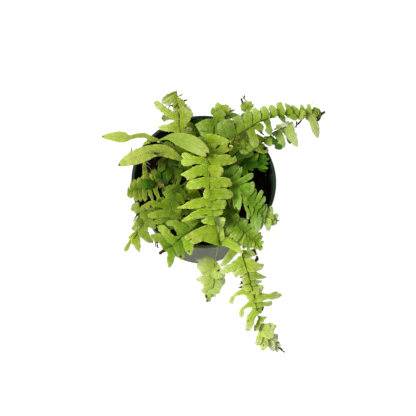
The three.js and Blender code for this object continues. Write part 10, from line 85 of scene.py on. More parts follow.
# leaf colour by tone: (body, tip, foot shade). Tones are partly the plant's own colour and partly painted light and
# shade, set leaflet by leaflet: the pale tones 7, 9, 13 and 14 lift leaflets that hang, face away from the key light or
# lie shaded, tone 11 paints shade on leaflets deep in the crown, and the third colour paints shade at each leaflet's
# foot.
TONE = {
    0: (lin(176, 196, 80), lin(204, 216, 118), lin(150, 176, 52)),
    1: (lin(162, 190, 34), lin(200, 216, 84), lin(120, 154, 12)),
    2: (lin(140, 168, 32), lin(178, 198, 76), lin(92, 126, 10)),
    3: (lin(112, 142, 24), lin(156, 178, 60), lin(64, 94, 6)),
    4: (lin(60, 104, 14), lin(108, 146, 36), lin(30, 66, 3)),
    5: (lin(38, 30, 20), lin(60, 44, 30), lin(20, 16, 12)),
    6: (lin(86, 58, 38), lin(60, 38, 26), lin(46, 26, 16)),
    7: (lin(196, 214, 106), lin(222, 234, 168), lin(160, 188, 60)),
    9: (lin(204, 222, 92), lin(222, 236, 128), lin(180, 204, 64)),
    12: (lin(160, 180, 70), lin(184, 204, 104), lin(134, 158, 44)),
    13: (lin(246, 240, 104), lin(252, 250, 140), lin(222, 222, 66)),
    14: (lin(190, 212, 62), lin(210, 226, 92), lin(164, 190, 44)),
    15: (lin(140, 160, 56), lin(156, 178, 76), lin(112, 138, 36)),
    10: (lin(126, 100, 62), lin(150, 124, 82), lin(78, 58, 34)),
    11: (lin(38, 78, 5), lin(56, 108, 10), lin(14, 38, 2)),
    8: (lin(150, 140, 112), lin(168, 158, 132), lin(120, 108, 84)),
}
WORLD = 0.36
FLOOR_GLOW = 0.92
FLOOR_ALBEDO = .28
LIGHTS = [
    ("key", (-0.70, -0.25, 1.10), (0, 0, 0.12), 0.50, 14.0),
]
THICK = .34
RIB = .05
VAR = .045
GROW = .42
WEB = .8
JAG = .85
SSS = 0.0
LEAF_SPEC = .05
VEIN = 1.0
STRIPE = 1.2
RIM_HIGHLIGHT = .5
# per-frond colour tints, partly the frond's own colour and partly painted light and shade: fronds shaded by others are
# lifted, fronds deep in the crown are darkened, and the twin strap, which faces the key light, is toned down
HUE = {
    "center_frond": (0.93, 0.98, 0.91),
    "front_right_frond": (1.25, 1.18, 3.1),
    "back_right_frond": (0.86, 0.91, 1.58),
    "right_shoulder_frond": (1.4, 1.35, 2.3),
    "back_left_frond": (1.08, 1.01, 2.42),
    "back_center_frond": (0.81, 0.86, 1.12),
    "back_curled_frond": (1.32, 1.38, 2.6),
    "front_left_frond": (0.73, 0.85, 0.73),
    "left_low_frond": (0.82, 0.81, 1.32),
    "left_small_frond": (1.05, 0.91, 0.88),
    "mid_left_frond": (0.51, 0.57, 0.15),
    "left_upper_frond": (0.42, 0.47, 0.12),
    "left_front_leaflets": (1.5, 1.5, 0.75),
    "right_frond": (0.6, 0.83, 0.93),
    "right_low_frond": (1.06, 1.14, 1.44),
    "right_inner_frond": (.80, 1.12, .2),
    "rosette_frond": (1.5, 1.5, 1.81),
    "dark_leaflets_left": (0.37, 0.59, 0.12),
    "dark_leaflets_center": (1.5, 1.5, 0.46),
    "center_low_frond": (1.37, 1.39, 0.93),
    "back_low_frond": (0.75, 0.81, 0.12),
    "right_mid_frond": (1.5, 1.5, 0.34),
    "back_small_frond": (0.31, 0.81, 0.12),
    "twin_strap_frond": (0.69, 0.71, 0.44),
    "strap_leaf": (0.96, 1.0, 0.82),
}
FOOT = .6
# painted shade at the foot of each leaflet, per frond: (amount, reach along the leaflet), strongest in crowded fronds;
# fronds not listed take (.45, .28)
FOOT_SHADE = {
    "mid_left_frond": (.75, .55), "left_front_leaflets": (.8, .6), "left_upper_frond": (.8, .6), "left_small_frond": (.5, .4),
    "center_low_frond": (.9, .7), "back_low_frond": (.8, .6), "right_mid_frond": (.9, .7), "back_small_frond": (.8, .6),
    "rosette_frond": (.6, .5), "right_inner_frond": (.8, .6), "right_frond": (.75, .5), "right_low_frond": (.75, .55),
    "back_center_frond": (.65, .5), "back_right_frond": (.25, .25), "dark_leaflets_center": (.8, .6), "right_shoulder_frond": (.2, .25), "front_right_frond": (.1, .15), "front_left_frond": (.7, .4),
}

LIFT = {"front_right_frond": 1.0, "back_right_frond": .9, "front_left_frond": 1.1, "right_shoulder_frond": .5, "right_frond": .5}
STEM = {"front_right_frond": 3, "back_right_frond": 3, "front_left_frond": 3}
SLIM = {"front_right_frond": .62, "back_right_frond": .8}
ROUGH = {"center_frond": .45, "back_right_frond": .6, "front_right_frond": .6}


# ------------------------------------------------------------------ mesh kit
class Build:
    """Collects islands of vertices, faces and per-vertex values for one piece."""

    def __init__(self):
        self.v, self.f, self.n = [], [], 0
        self.tint, self.lf, self.mm, self.mark, self.mat = [], [], [], [], []

    def add(self, verts, faces, tint, lf, mm, mark, mat=0):
        verts = np.asarray(verts, float)
        k = len(verts)
        self.v.append(verts)
        self.f += [tuple(i + self.n for i in q) for q in faces]
        self.mat += [mat] * len(faces)
        for store, value in ((self.tint, tint), (self.lf, lf), (self.mm, mm), (self.mark, mark)):
            value = np.asarray(value, float)
            if value.ndim == 1:
                value = np.tile(value, (k, 1))
            store.append(value)
        self.n += k

    def make(self, name, materials, smooth=True):
        me = bpy.data.meshes.new(name)
        v = np.concatenate(self.v) * MM
        me.from_pydata(v.tolist(), [], self.f)
        me.update()
        for key, kind, store in (("tint", "FLOAT_COLOR", self.tint), ("lf", "FLOAT_VECTOR", self.lf),
                                 ("mm", "FLOAT_VECTOR", self.mm), ("mark", "FLOAT_COLOR", self.mark)):
            a = me.attributes.new(key, kind, "POINT")
            d = np.concatenate(store)
            if kind == "FLOAT_COLOR":
                d = np.c_[d, np.ones(len(d))]
                a.data.foreach_set("color", d.astype(np.float32).ravel())
            else:
                a.data.foreach_set("vector", d.astype(np.float32).ravel())
        for m in materials:
            me.materials.append(m)
        me.polygons.foreach_set("material_index", self.mat)
        me.polygons.foreach_set("use_smooth", [smooth] * len(me.polygons))
        me.update()
        o = bpy.data.objects.new(name, me)
        bpy.context.scene.collection.objects.link(o)
        return o


def unit(a):
    a = np.asarray(a, float)
    return a / np.maximum(np.linalg.norm(a, axis=-1, keepdims=True), 1e-9)


def smoothstep(a, b, x):
    t = np.clip((x - a) / (b - a), 0, 1)
    return t * t * (3 - 2 * t)


def catmull(pts, n):
    P = [2 * pts[0] - pts[1]] + list(pts) + [2 * pts[-1] - pts[-2]]
    out = []
    for i in range(1, len(P) - 2):
        a, b, c, d = P[i - 1], P[i], P[i + 1], P[i + 2]
        for k in range(n):
            t = k / n
            out.append(.5 * (2 * b + (c - a) * t + (2 * a - 5 * b + 4 * c - d) * t * t + (3 * b - a - 3 * c + d) * t ** 3))
    out.append(np.array(P[-2], float))
    return np.array(out)


def resample(P, step):
    d = np.r_[0, np.cumsum(np.linalg.norm(np.diff(P, axis=0), axis=1))]
    n = max(4, int(round(d[-1] / step)))
    s = np.linspace(0, d[-1], n + 1)
    return np.stack([np.interp(s, d, P[:, k]) for k in range(3)], 1), s


# --------------------------------------------------------------- leaf shapes
def half_width(style, t):
    """Half width of a leaflet at t along its midrib, 1 at the widest."""
    t = np.asarray(t, float)
    if style == "b":
        body = np.where(t > .72, np.sqrt(np.clip(1 - ((t - .72) / .29) ** 2.3, 0, 1)), 1.0)
        foot = .30 + .70 * smoothstep(0.0, .16, t)
        return body * foot
    if style == "f":
        body = np.where(t > .80, np.sqrt(np.clip(1 - ((t - .80) / .22) ** 2.6, 0, 1)), 1.0)
        foot = .30 + .70 * smoothstep(0.0, .18, t)
        return body * foot * (.93 + .07 * t)
    if style == "l":
        return np.clip(np.sin(np.pi * np.clip(.06 + .94 * t, 0, 1) ** .86), 0, 1) ** .55
    if style == "t":
        return np.clip(1 - .75 * t, 0, 1) * smoothstep(1.001, .93, t)
    if style == "c":
        body = np.clip(1 - np.clip((t - .45) / .56, 0, 1) ** 2.0, 0, 1) ** .75
        return body * (.35 + .65 * smoothstep(0, .2, t))
    if style == "d":
        return np.sin(np.pi * np.clip(.1 + .86 * t, 0, 1)) ** .7
    body = np.clip(1 - np.clip((t - .30) / .71, 0, 1) ** 2.25, 0, 1) ** .82
    foot = .28 + .72 * smoothstep(0.0, .13, t)
    return body * foot


def tip_reach(style, v):
    """How far the outline reaches at v across: notched on a forked leaflet, rounded on a blunt one."""
    if style == "f":
        return 1 - .11 * np.exp(-(v / .16) ** 2) - .03 * v * v
    if style == "b":
        return 1 - .02 * v * v
    return np.ones_like(v)


def blade(b, line, faces_to, widths, style, tone, seed, rng, up_side=0.0, spots=(), nu=26, nv=12,
          fold=None, wave=None, droop=0.0, tones=None, twist=(0.0, 0.0), brown_tip=0.0, thick=0.32, mat=0):
    """One leaflet as a thin closed shell. line(t) gives midrib points, widths(t) half widths in mm."""
    s = 1 - (1 - np.linspace(0, 1, nu + 1)) ** 1.35 if style != "strap" else np.linspace(0, 1, nu + 1)
    v = np.sin(np.linspace(-1, 1, nv + 1) * math.pi / 2 * .92) / math.sin(math.pi / 2 * .92)
    S, V = np.meshgrid(s, v, indexing="ij")
    Tt = S * tip_reach(style, V)
    P0 = line(Tt.ravel()).reshape(Tt.shape + (3,))
    e = 1e-3
    D = unit(line(np.clip(Tt + e, 0, 1).ravel()) - line(np.clip(Tt - e, 0, 1).ravel())).reshape(P0.shape)
    N = faces_to(P0)
    W = unit(np.cross(D, N))
    Nn = unit(np.cross(W, D))
    L = float(np.linalg.norm(np.diff(line(np.linspace(0, 1, 30)), axis=0), axis=1).sum())
    h = widths(Tt)
    wmax = float(h.max())
    x = Tt * L
    # lobed foot on the side towards the frond's tip, scalloped margin
    side = np.sign(V) * (1 if up_side >= 0 else -1)
    if style in ("n", "b", "f") and abs(up_side) > 0:
        h = h * (1 + .16 * np.exp(-((Tt - .10) / .07) ** 2) * (side > 0) - .16 * np.exp(-((Tt - .05) / .06) ** 2) * (side < 0))
    pitch = 1.9 if wmax > 2.4 else 1.3
    ph = rng.uniform(0, 6.28)
    scallop = np.abs(np.sin(math.pi * x / pitch + ph + .6 * side))
    h = h * (1 - (.050 if style != "strap" else .028) * (1 - scallop) * np.abs(V) ** 3)
    y = V * h
    fold = fold if fold is not None else rng.uniform(.05, .24)
    wave = wave if wave is not None else rng.uniform(.15, .5)
    a = .45
    z = -fold * (np.sqrt(y * y + a * a) - a)
    lam = rng.uniform(6.5, 11.0)
    p1, p2 = rng.uniform(0, 6.28, 2)
    z += wave * np.sin(2 * math.pi * x / lam + p1 + 1.3 * side) * np.abs(V) ** 2.2 * smoothstep(0, .12, Tt) * (1 - .4 * Tt)
    z += .35 * wave * np.sin(2 * math.pi * x / (lam * .43) + p2) * np.abs(V) ** 3
    z -= droop * Tt ** 2.5
    # lateral ribs seen as faint quilting
    ribs = x - .62 * np.abs(y)
    z += .045 * np.sin(2 * math.pi * ribs / 1.55) * smoothstep(0, .5, np.abs(y)) * (1 - np.abs(V) ** 4)
    tw = twist[0] + (twist[1] - twist[0]) * Tt
    yy, zz = y * np.cos(tw) - z * np.sin(tw), y * np.sin(tw) + z * np.cos(tw)
    P = P0 + W * yy[..., None] + Nn * zz[..., None]
    du, dv = np.gradient(P, axis=0), np.gradient(P, axis=1)
    nn = unit(np.cross(dv, du))
    flip = np.sign(np.sum(nn * Nn, -1).mean()) or 1
    nn = nn * flip
    th = thick * (1 - .62 * np.abs(V) ** 3) * .5
    rib = .20 * np.exp(-(y / .38) ** 2) * (1 - .75 * Tt) * smoothstep(0, .03, wmax * .02)
    top = P + nn * (th + rib * .25)[..., None]
    bot = P - nn * (th + rib)[..., None]
    m, k = nu + 1, nv + 1
    verts = np.concatenate([top.reshape(-1, 3), bot.reshape(-1, 3)])
    idx = np.arange(m * k).reshape(m, k)
    low = idx + m * k
    q = []
    A, Bq, Cq, Dq = idx[:-1, :-1], idx[1:, :-1], idx[1:, 1:], idx[:-1, 1:]
    topq = np.stack([A, Bq, Cq, Dq], -1).reshape(-1, 4)
    A, Bq, Cq, Dq = low[:-1, :-1], low[:-1, 1:], low[1:, 1:], low[1:, :-1]
    botq = np.stack([A, Bq, Cq, Dq], -1).reshape(-1, 4)
    loop = list(idx[:, 0]) + list(idx[-1, 1:]) + list(idx[-2::-1, -1]) + list(idx[0, -2:0:-1])
    rim = [(loop[(i + 1) % len(loop)], loop[i], loop[i] + m * k, loop[(i + 1) % len(loop)] + m * k) for i in range(len(loop))]
    faces = topq.tolist() + botq.tolist() + rim
    # outward winding: test one middle top face against its normal
    c = topq[len(topq) // 2]
    fn = np.cross(verts[c[1]] - verts[c[0]], verts[c[2]] - verts[c[0]])
    if np.dot(fn, nn.reshape(-1, 3)[c[0]]) < 0:
        faces = [tuple(reversed(f)) for f in faces]
    body, tipc, foot_shade_col = tones if tones is not None else TONE[tone]
    j = rng.normal(0, 1, 3)
    gain = 1 + .07 * j[0]
    warm = np.array([1 + .045 * j[1], 1, 1 - .05 * j[1]])
    t1 = Tt.ravel()[:, None]
    av = np.abs(V).ravel()[:, None]
    col = body * (1 - smoothstep(.35, 1.0, t1)) + tipc * smoothstep(.35, 1.0, t1)
    # edges lightened towards the tip colour: partly a paler margin, partly a painted highlight along the edge
    col = col * (1 - .38 * smoothstep(.62, 1.0, av)) + tipc * .38 * smoothstep(.62, 1.0, av)
    # painted shade: the foot of the blade is darkened towards the tone's third colour
    col = col * (1 - .35 * (1 - smoothstep(0, .3, t1))) + foot_shade_col * .35 * (1 - smoothstep(0, .3, t1))
    col = col * gain * warm
    brown = np.zeros(len(col))
    if brown_tip > 0:
        brown = smoothstep(1 - brown_tip, 1 - brown_tip * .35, Tt.ravel())
    if tone in (5, 6):
        brown = np.ones(len(col))
    P3 = P.reshape(-1, 3)
    for sx, sy, sz, sr in spots:
        d = np.linalg.norm(P3 - np.array([sx, sy, sz]), axis=1)
        brown = np.maximum(brown, smoothstep(sr * 1.15, sr * .45, d))
    lf = np.c_[Tt.ravel(), V.ravel(), np.full(len(col), seed)]
    mm = np.c_[x.ravel() + seed * 37.0, y.ravel(), np.full(len(col), seed * 11.0)]
    r = rng.uniform()
    mark = np.c_[brown, np.full(len(col), r), np.full(len(col), 1.0)]
    two = lambda z_: np.concatenate([z_, z_])
    pale = np.concatenate([col, col * .86 + np.array([.05, .06, .04])])
    b.add(verts, faces, pale, two(lf), two(mm), two(mark), mat)


def smooth_outline(poly, step):
    """A rounded outline through the traced points, from one foot corner round the tip to the other, evenly stepped."""
    P = np.array(poly, float)
    ext = np.concatenate([[2 * P[0] - P[1]], P, [2 * P[-1] - P[-2]]])
    out = []
    for i in range(1, len(ext) - 2):
        a, b_, c, d = ext[i - 1], ext[i], ext[i + 1], ext[i + 2]
        ta = 0.0
        tb = ta + max(np.linalg.norm(b_ - a), 1e-3) ** .5
        tc = tb + max(np.linalg.norm(c - b_), 1e-3) ** .5
        td = tc + max(np.linalg.norm(d - c), 1e-3) ** .5
        for t in np.linspace(tb, tc, 12, endpoint=False):
            A1 = (tb - t) / (tb - ta) * a + (t - ta) / (tb - ta) * b_
            A2 = (tc - t) / (tc - tb) * b_ + (t - tb) / (tc - tb) * c
            A3 = (td - t) / (td - tc) * c + (t - tc) / (td - tc) * d
            B1 = (tc - t) / (tc - ta) * A1 + (t - ta) / (tc - ta) * A2
            B2 = (td - t) / (td - tb) * A2 + (t - tb) / (td - tb) * A3
            out.append((tc - t) / (tc - tb) * B1 + (t - tb) / (tc - tb) * B2)
    out.append(P[-1])
    out = np.array(out)
    d = np.r_[0, np.cumsum(np.linalg.norm(np.diff(out, axis=0), axis=1))]
    n = max(12, int(round(d[-1] / step)))
    s = np.linspace(0, d[-1], n + 1)
    return np.stack([np.interp(s, d, out[:, 0]), np.interp(s, d, out[:, 1])], 1), s


def leaflet(b, p, rod_dir, rng, seed, spots, fold=None, wave=None, tilt=None, tint=(1, 1, 1), foot_shade=(.45, .28), swell=1.0, rough=1.0):
    """One leaflet: an outline laid along its curved midrib, filled with a fine mesh, then folded, waved and given thickness."""
    mid, N0, poly, tone = [np.array(q, float) for q in p[0]], np.array(p[1], float), p[2], p[3]
    brown_tip = p[4] if len(p) > 4 else 0.0
    line = catmull(mid, 8) if len(mid) > 2 else np.array([mid[0] + (mid[-1] - mid[0]) * k / 8 for k in range(9)])
    sl = np.r_[0, np.cumsum(np.linalg.norm(np.diff(line, axis=0), axis=1))]
    L = sl[-1]
    T = unit(np.gradient(line, axis=0))
    W = unit(np.cross(T, N0))
    Nn = unit(np.cross(W, T))
    edge, se = smooth_outline(poly, .55)
    area = abs(np.sum(edge[:-1, 0] * edge[1:, 1] - edge[1:, 0] * edge[:-1, 1]) / 2)
    wide = area / max(L, 1)
    # scalloped margin
    tang = unit(np.gradient(edge, axis=0))
    nrm = np.stack([-tang[:, 1], tang[:, 0]], 1)
    if np.sum(edge[:-1, 0] * edge[1:, 1] - edge[1:, 0] * edge[:-1, 1]) > 0:
        inward = nrm
    else:
        inward = -nrm
    pitch = 2.2 if wide > 4 else 1.5
    ph = rng.uniform(0, 6.28)
    fade = smoothstep(0, 3.0, se) * smoothstep(0, 3.0, se[-1] - se)
    amp = (.52 if wide > 4 else .30) * fade * rough
    edge = edge + inward * (amp * (1 - np.abs(np.sin(math.pi * se / pitch + ph))) - GROW * swell * fade)[:, None]
    ends = np.minimum(se, se[-1] - se)
    edge = edge - inward * (WEB * swell * (1 - smoothstep(1.5, 6.5, ends)))[:, None]
    rag = np.array([noise.noise(Vector((q * .42, seed, 3.3))) + .5 * noise.noise(Vector((q * .95, seed, 7.1))) for q in se])
    edge = edge + inward * (JAG * rough * min(1.0, wide / 6.0) * fade * rag)[:, None]
    edge[:, 0] -= FOOT * swell * (1 - smoothstep(0, 3.0, ends))
    # foot edge back across the stalk
    k = max(2, int(np.linalg.norm(edge[0] - edge[-1]) / .8))
    foot = np.array([edge[-1] + (edge[0] - edge[-1]) * i / k for i in range(1, k)])
    loop = np.concatenate([edge, foot]) if len(foot) else edge
    # inner points on a triangular lattice
    h = 1.0 if area > 60 else .8
    lo, hi = loop.min(0), loop.max(0)
    xs = np.arange(lo[0], hi[0], h)
    ys = np.arange(lo[1], hi[1], h * .866)
    G = np.array([(x + (h / 2 if j % 2 else 0), y) for j, y in enumerate(ys) for x in xs])
    inside = np.zeros(len(G), bool)
    x1, y1 = loop[:, 0], loop[:, 1]
    x2, y2 = np.roll(x1, -1), np.roll(y1, -1)
    for i in range(len(loop)):
        cond = (y1[i] > G[:, 1]) != (y2[i] > G[:, 1])
        xx = x1[i] + (G[:, 1] - y1[i]) / ((y2[i] - y1[i]) if abs(y2[i] - y1[i]) > 1e-9 else 1e-9) * (x2[i] - x1[i])
        inside ^= cond & (G[:, 0] < xx)
    G = G[inside]
    if len(G):
        dist = np.sqrt(((G[:, None] - loop[None]) ** 2).sum(-1)).min(1)
        G = G[dist > .48 * h]
    pts = [Vector((float(q[0]), float(q[1]))) for q in loop] + [Vector((float(q[0]), float(q[1]))) for q in G]
    m = len(loop)
    vo, eo, fo, _, _, _ = delaunay_2d_cdt(pts, [(i, (i + 1) % m) for i in range(m)], [], 1, 1e-5, True)
    Q = np.array([(v[0], v[1]) for v in vo])
    tri = np.array([f for f in fo if len(f) == 3])
    if len(tri) < 4:
        return
    e1, e2 = Q[tri[:, 1]] - Q[tri[:, 0]], Q[tri[:, 2]] - Q[tri[:, 0]]
    ar = e1[:, 0] * e2[:, 1] - e1[:, 1] * e2[:, 0]
    tri = tri[np.abs(ar) > 1e-4]
    ar = ar[np.abs(ar) > 1e-4]
    tri[ar < 0] = tri[ar < 0][:, ::-1]
    # nothing across a hollow of the margin
    mid3 = Q[tri].mean(1)
    inner = np.zeros(len(tri), bool)
    for i in range(len(loop)):
        cond = (y1[i] > mid3[:, 1]) != (y2[i] > mid3[:, 1])
        xx = x1[i] + (mid3[:, 1] - y1[i]) / ((y2[i] - y1[i]) if abs(y2[i] - y1[i]) > 1e-9 else 1e-9) * (x2[i] - x1[i])
        inner ^= cond & (mid3[:, 0] < xx)
    tri = tri[inner | (np.abs(ar) < .25 * h * h)]
    # every vertex used
    used = np.unique(tri)
    remap = -np.ones(len(Q), int)
    remap[used] = np.arange(len(used))
    Q, tri = Q[used], remap[tri]
    S, Y = Q[:, 0], Q[:, 1]
    Sc = np.clip(S, 0, L)
    P0 = np.stack([np.interp(Sc, sl, line[:, k]) for k in range(3)], 1)
    Tv = unit(np.stack([np.interp(Sc, sl, T[:, k]) for k in range(3)], 1))
    Wv = unit(np.stack([np.interp(Sc, sl, W[:, k]) for k in range(3)], 1))
    Nv = unit(np.stack([np.interp(Sc, sl, Nn[:, k]) for k in range(3)], 1))
    P0 = P0 + Tv * (S - Sc)[:, None]
    db = np.sqrt(((Q[:, None] - edge[None]) ** 2).sum(-1)).min(1)
    ay = np.abs(Y)
    V = ay / (ay + db + 1e-6)
    t = np.clip(S / L, 0, 1)
    side = np.sign(Y)
    W0 = np.cross(unit(mid[1] - mid[0]), N0)
    up = 1.0 if np.dot(W0, rod_dir) >= 0 else -1.0
    fold = rng.uniform(.05, .22) if fold is None else fold
    wave = rng.uniform(.25, .75) if wave is None else wave
    wave *= min(1.0, wide / 6.0)
    tilt = rng.uniform(.02, .08) if tilt is None else tilt
    a = .5
    z = -fold * (np.sqrt(Y * Y + a * a) - a)
    z = z - tilt * Y * up
    lam = rng.uniform(6.0, 10.0)
    p1, p2, p3 = rng.uniform(0, 6.28, 3)
    z = z + wave * np.sin(2 * math.pi * S / lam + p1 + 1.4 * side) * V ** 2.0 * smoothstep(0, .15, t)
    z = z + .35 * wave * np.sin(2 * math.pi * S / (lam * .41) + p2) * V ** 3
    z = z + .35 * math.sin(p3) * np.sin(math.pi * t) * wide * .12
    ribs = S - .62 * ay
    z = z + RIB * np.sin(2 * math.pi * ribs / 1.6) * smoothstep(0, .6, ay) * smoothstep(0, .8, db)
    P = P0 + Wv * Y[:, None] + Nv * z[:, None]
    fn = np.cross(P[tri[:, 1]] - P[tri[:, 0]], P[tri[:, 2]] - P[tri[:, 0]])
    nn = np.zeros_like(P)
    for c in range(3):
        np.add.at(nn, tri[:, c], fn)
    nn = unit(nn)
    if np.sum(nn * Nv) < 0:
        nn = -nn
        tri = tri[:, ::-1]
    th = THICK * (.42 + .58 * smoothstep(0, .9, db)) * .5
    rib = .22 * np.exp(-(Y / .36) ** 2) * (1 - .7 * t) * smoothstep(0, 1.2, db)
    top = P + nn * (th + rib * .2)[:, None]
    bot = P - nn * (th + rib)[:, None]
    n = len(P)
    faces = tri.tolist() + (tri[:, ::-1] + n).tolist()
    ed = {}
    for f in tri:
        for i in range(3):
            u, w = int(f[i]), int(f[(i + 1) % 3])
            if (w, u) in ed:
                del ed[(w, u)]
            else:
                ed[(u, w)] = 1
    faces += [(w, u, u + n, w + n) for u, w in ed]
    body, tipc, foot_shade_col = TONE[tone]
    j = rng.normal(0, 1, 3)
    gain = (1 + VAR * j[0]) * np.array(tint)
    warm = np.array([1 + .03 * j[1], 1, 1 - .05 * j[1]])
    t1 = t[:, None]
    # painted rim highlight, partly the leaflet's paler margin: colour lightened towards the tip colour near the edge
    rim = 1 - smoothstep(.0, 1.1, db)[:, None]
    col = body * (1 - smoothstep(.30, 1.0, t1)) + tipc * smoothstep(.30, 1.0, t1)
    col = col * (1 - RIM_HIGHLIGHT * rim) + tipc * RIM_HIGHLIGHT * rim
    # painted shade: the foot of the leaflet is darkened towards the tone's third colour
    k0 = foot_shade[0] * (1 - smoothstep(0, foot_shade[1], t1))
    col = (col * (1 - k0) + foot_shade_col * k0) * gain * warm
    brown = np.zeros(n)
    if brown_tip > 0:
        brown = smoothstep(1 - brown_tip, 1 - brown_tip * .35, t)
    if tone in (5, 6):
        brown = np.ones(n)
    for sx, sy, sz, sr in spots:
        dd = np.linalg.norm(P - np.array([sx, sy, sz]), axis=1)
        brown = np.maximum(brown, smoothstep(sr * 1.2, sr * .4, dd))
    lf = np.c_[t, V * side, np.full(n, seed)]
    mm = np.c_[S + seed * 37.0, Y, np.full(n, seed * 11.0)]
    mark = np.c_[brown, rim[:, 0], np.ones(n)]
    two = lambda q: np.concatenate([q, q])
    b.add(np.concatenate([top, bot]), faces, np.concatenate([col, col * .80 + np.array([.02, .03, .01])]), two(lf), two(mm), two(mark), 0)


def strap(b, pts, widths, eye, rng, seed, spots, tint=(1, 1, 1)):
    P = catmull([np.array(p, float) for p in pts], 12)
    d = np.r_[0, np.cumsum(np.linalg.norm(np.diff(P, axis=0), axis=1))]
    d /= d[-1]
    st = d[::12]
    w = np.array(widths) / 2

    def line(t):
        return np.stack([np.interp(t, d, P[:, k]) for k in range(3)], -1)

    def wid(t):
        # smooth interpolation of the stations
        f = np.interp(t, st, w)
        g = np.interp(np.clip(t - .012, 0, 1), st, w)
        h = np.interp(np.clip(t + .012, 0, 1), st, w)
        return (f + g + h) / 3 * np.sqrt(np.clip((1.004 - t) / .03, 0, 1))
    tones = [q * np.array(tint) for q in TONE[0]]
    blade(b, line, lambda Q: unit(eye - Q), wid, "strap", 0, seed, rng, spots=spots, nu=64, nv=16, tones=tones,
          fold=rng.uniform(.10, .2), wave=.55, brown_tip=.03, thick=.36)


def stalk(b, rod, nst, r0, r1, tone, rng, seed, spots=(), sides=8, mat=1):
    """A frond's stalk and midrib: tapered, grooved along the top, darker and scaly near its foot."""
    P, s = resample(catmull([np.array(p, float) for p in rod], 2), 2.2)
    n = len(P)
    T = unit(np.gradient(P, axis=0))
    ref = unit(np.cross(T[0], [0.3, 1, 0.1]))
    N = [ref]
    for i in range(1, n):
        q = N[-1] - T[i] * np.dot(N[-1], T[i])
        N.append(unit(q))
    N = np.array(N)
    Bn = np.cross(T, N)
    u = s / s[-1]
    r = r0 + (r1 - r0) * u ** .8
    r = r * (1 + .05 * np.sin(s * 1.7 + seed)) * (1 + .5 * np.exp(-s / 3.0))
    a = np.arange(sides) / sides * 2 * math.pi
    upv = np.array([0, 0, 1.0])
    ring = N[:, None] * np.cos(a)[None, :, None] + Bn[:, None] * np.sin(a)[None, :, None]
    upness = np.clip(np.sum(ring * upv, -1), -1, 1)
    rr = r[:, None] * (1 - .16 * np.clip(upness, 0, 1) ** 6)
    V = (P[:, None] + ring * rr[..., None]).reshape(-1, 3)
    faces = []
    for i in range(n - 1):
        for j in range(sides):
            k = (j + 1) % sides
            faces.append((i * sides + j, i * sides + k, (i + 1) * sides + k, (i + 1) * sides + j))
    c0, c1 = len(V), len(V) + 1
    V = np.concatenate([V, [P[0] - T[0] * .3, P[-1] + T[-1] * r[-1]]])
    for j in range(sides):
        k = (j + 1) % sides
        faces.append((c0, k, j))
        faces.append((c1, (n - 1) * sides + j, (n - 1) * sides + k))
    w = smoothstep(.0, .55, np.repeat(u, sides))[:, None]
    foot, head = lin(104, 84, 40), STALK.get(tone, lin(112, 132, 44))
    col = foot * (1 - w) + head * w
    col = np.concatenate([col, col[:1], col[-1:]])
    br = np.zeros(len(col))
    for sx, sy, sz, sr in spots:
        dd = np.linalg.norm(V - np.array([sx, sy, sz]), axis=1)
        br = np.maximum(br, smoothstep(sr * 1.1, sr * .4, dd))
    lf = np.c_[np.r_[np.repeat(u, sides), 0, 1], np.zeros(len(col)), np.full(len(col), seed)]
    mm = np.c_[np.r_[np.repeat(s, sides), 0, s[-1]], np.r_[np.tile(a, n), 0, 0], np.full(len(col), seed)]
    b.add(V, faces, col, lf, mm, np.c_[br, np.full(len(col), rng.uniform()), np.zeros(len(col))], mat)
    # papery brown scales, dense at the foot and few higher up
    for _ in range(int(10 + s[-1] * .22)):
        q = rng.beta(.8, 2.6)
        i = int(q * (n - 2))
        ang = rng.uniform(0, 6.283)
        out = N[i] * math.cos(ang) + Bn[i] * math.sin(ang)
        base = P[i] + out * r[i] * .85
        ln = rng.uniform(.7, 1.7) * (1.25 - q)
        dirn = unit(out * rng.uniform(.25, .9) + T[i] * rng.uniform(.2, .9) + rng.normal(0, .15, 3))
        sidev = unit(np.cross(dirn, out)) * rng.uniform(.10, .2)
        tip = base + dirn * ln
        mid = base + dirn * ln * .45 + out * .06
        vv = np.array([base - sidev * .5, base + sidev * .5, mid + sidev, tip, mid - sidev, mid + unit(np.cross(sidev, dirn)) * .07])
        b.add(vv, [(0, 1, 5), (1, 2, 5), (2, 3, 5), (3, 4, 5), (4, 0, 5), (1, 0, 4, 3, 2)],
              lin(126, 86, 46) * rng.uniform(.6, 1.25), [0, 0, seed], [0, 0, seed], [0, .5, 0], mat)


STALK = {1: lin(134, 150, 48), 2: lin(110, 126, 38), 3: lin(84, 94, 30), 4: lin(56, 78, 20), 0: lin(150, 168, 76)}

# ----------------------------------------------------------------- materials
def new_material(name):
    m = bpy.data.materials.new(name)
    m.use_nodes = True
    nt = m.node_tree
    return m, nt, nt.nodes["Principled BSDF"]


def N_(nt, kind, **kw):
    n = nt.nodes.new(kind)
    for k, v in kw.items():
        setattr(n, k, v)
    return n


def math_(nt, op, a, b=None, clamp=False):
    n = nt.nodes.new("ShaderNodeMath")
    n.operation = op
    n.use_clamp = clamp
    for i, x in enumerate((a, b)):
        if x is None:
            continue
        if isinstance(x, (int, float)):
            n.inputs[i].default_value = x
        else:
            nt.links.new(x, n.inputs[i])
    return n.outputs[0]


def ramp_(nt, x, lo, hi, a=0.0, b=1.0):
    n = nt.nodes.new("ShaderNodeMapRange")
    n.interpolation_type = "SMOOTHSTEP"
    n.inputs["From Min"].default_value = lo
    n.inputs["From Max"].default_value = hi
    n.inputs["To Min"].default_value = a
    n.inputs["To Max"].default_value = b
    nt.links.new(x, n.inputs["Value"])
    return n.outputs["Result"]


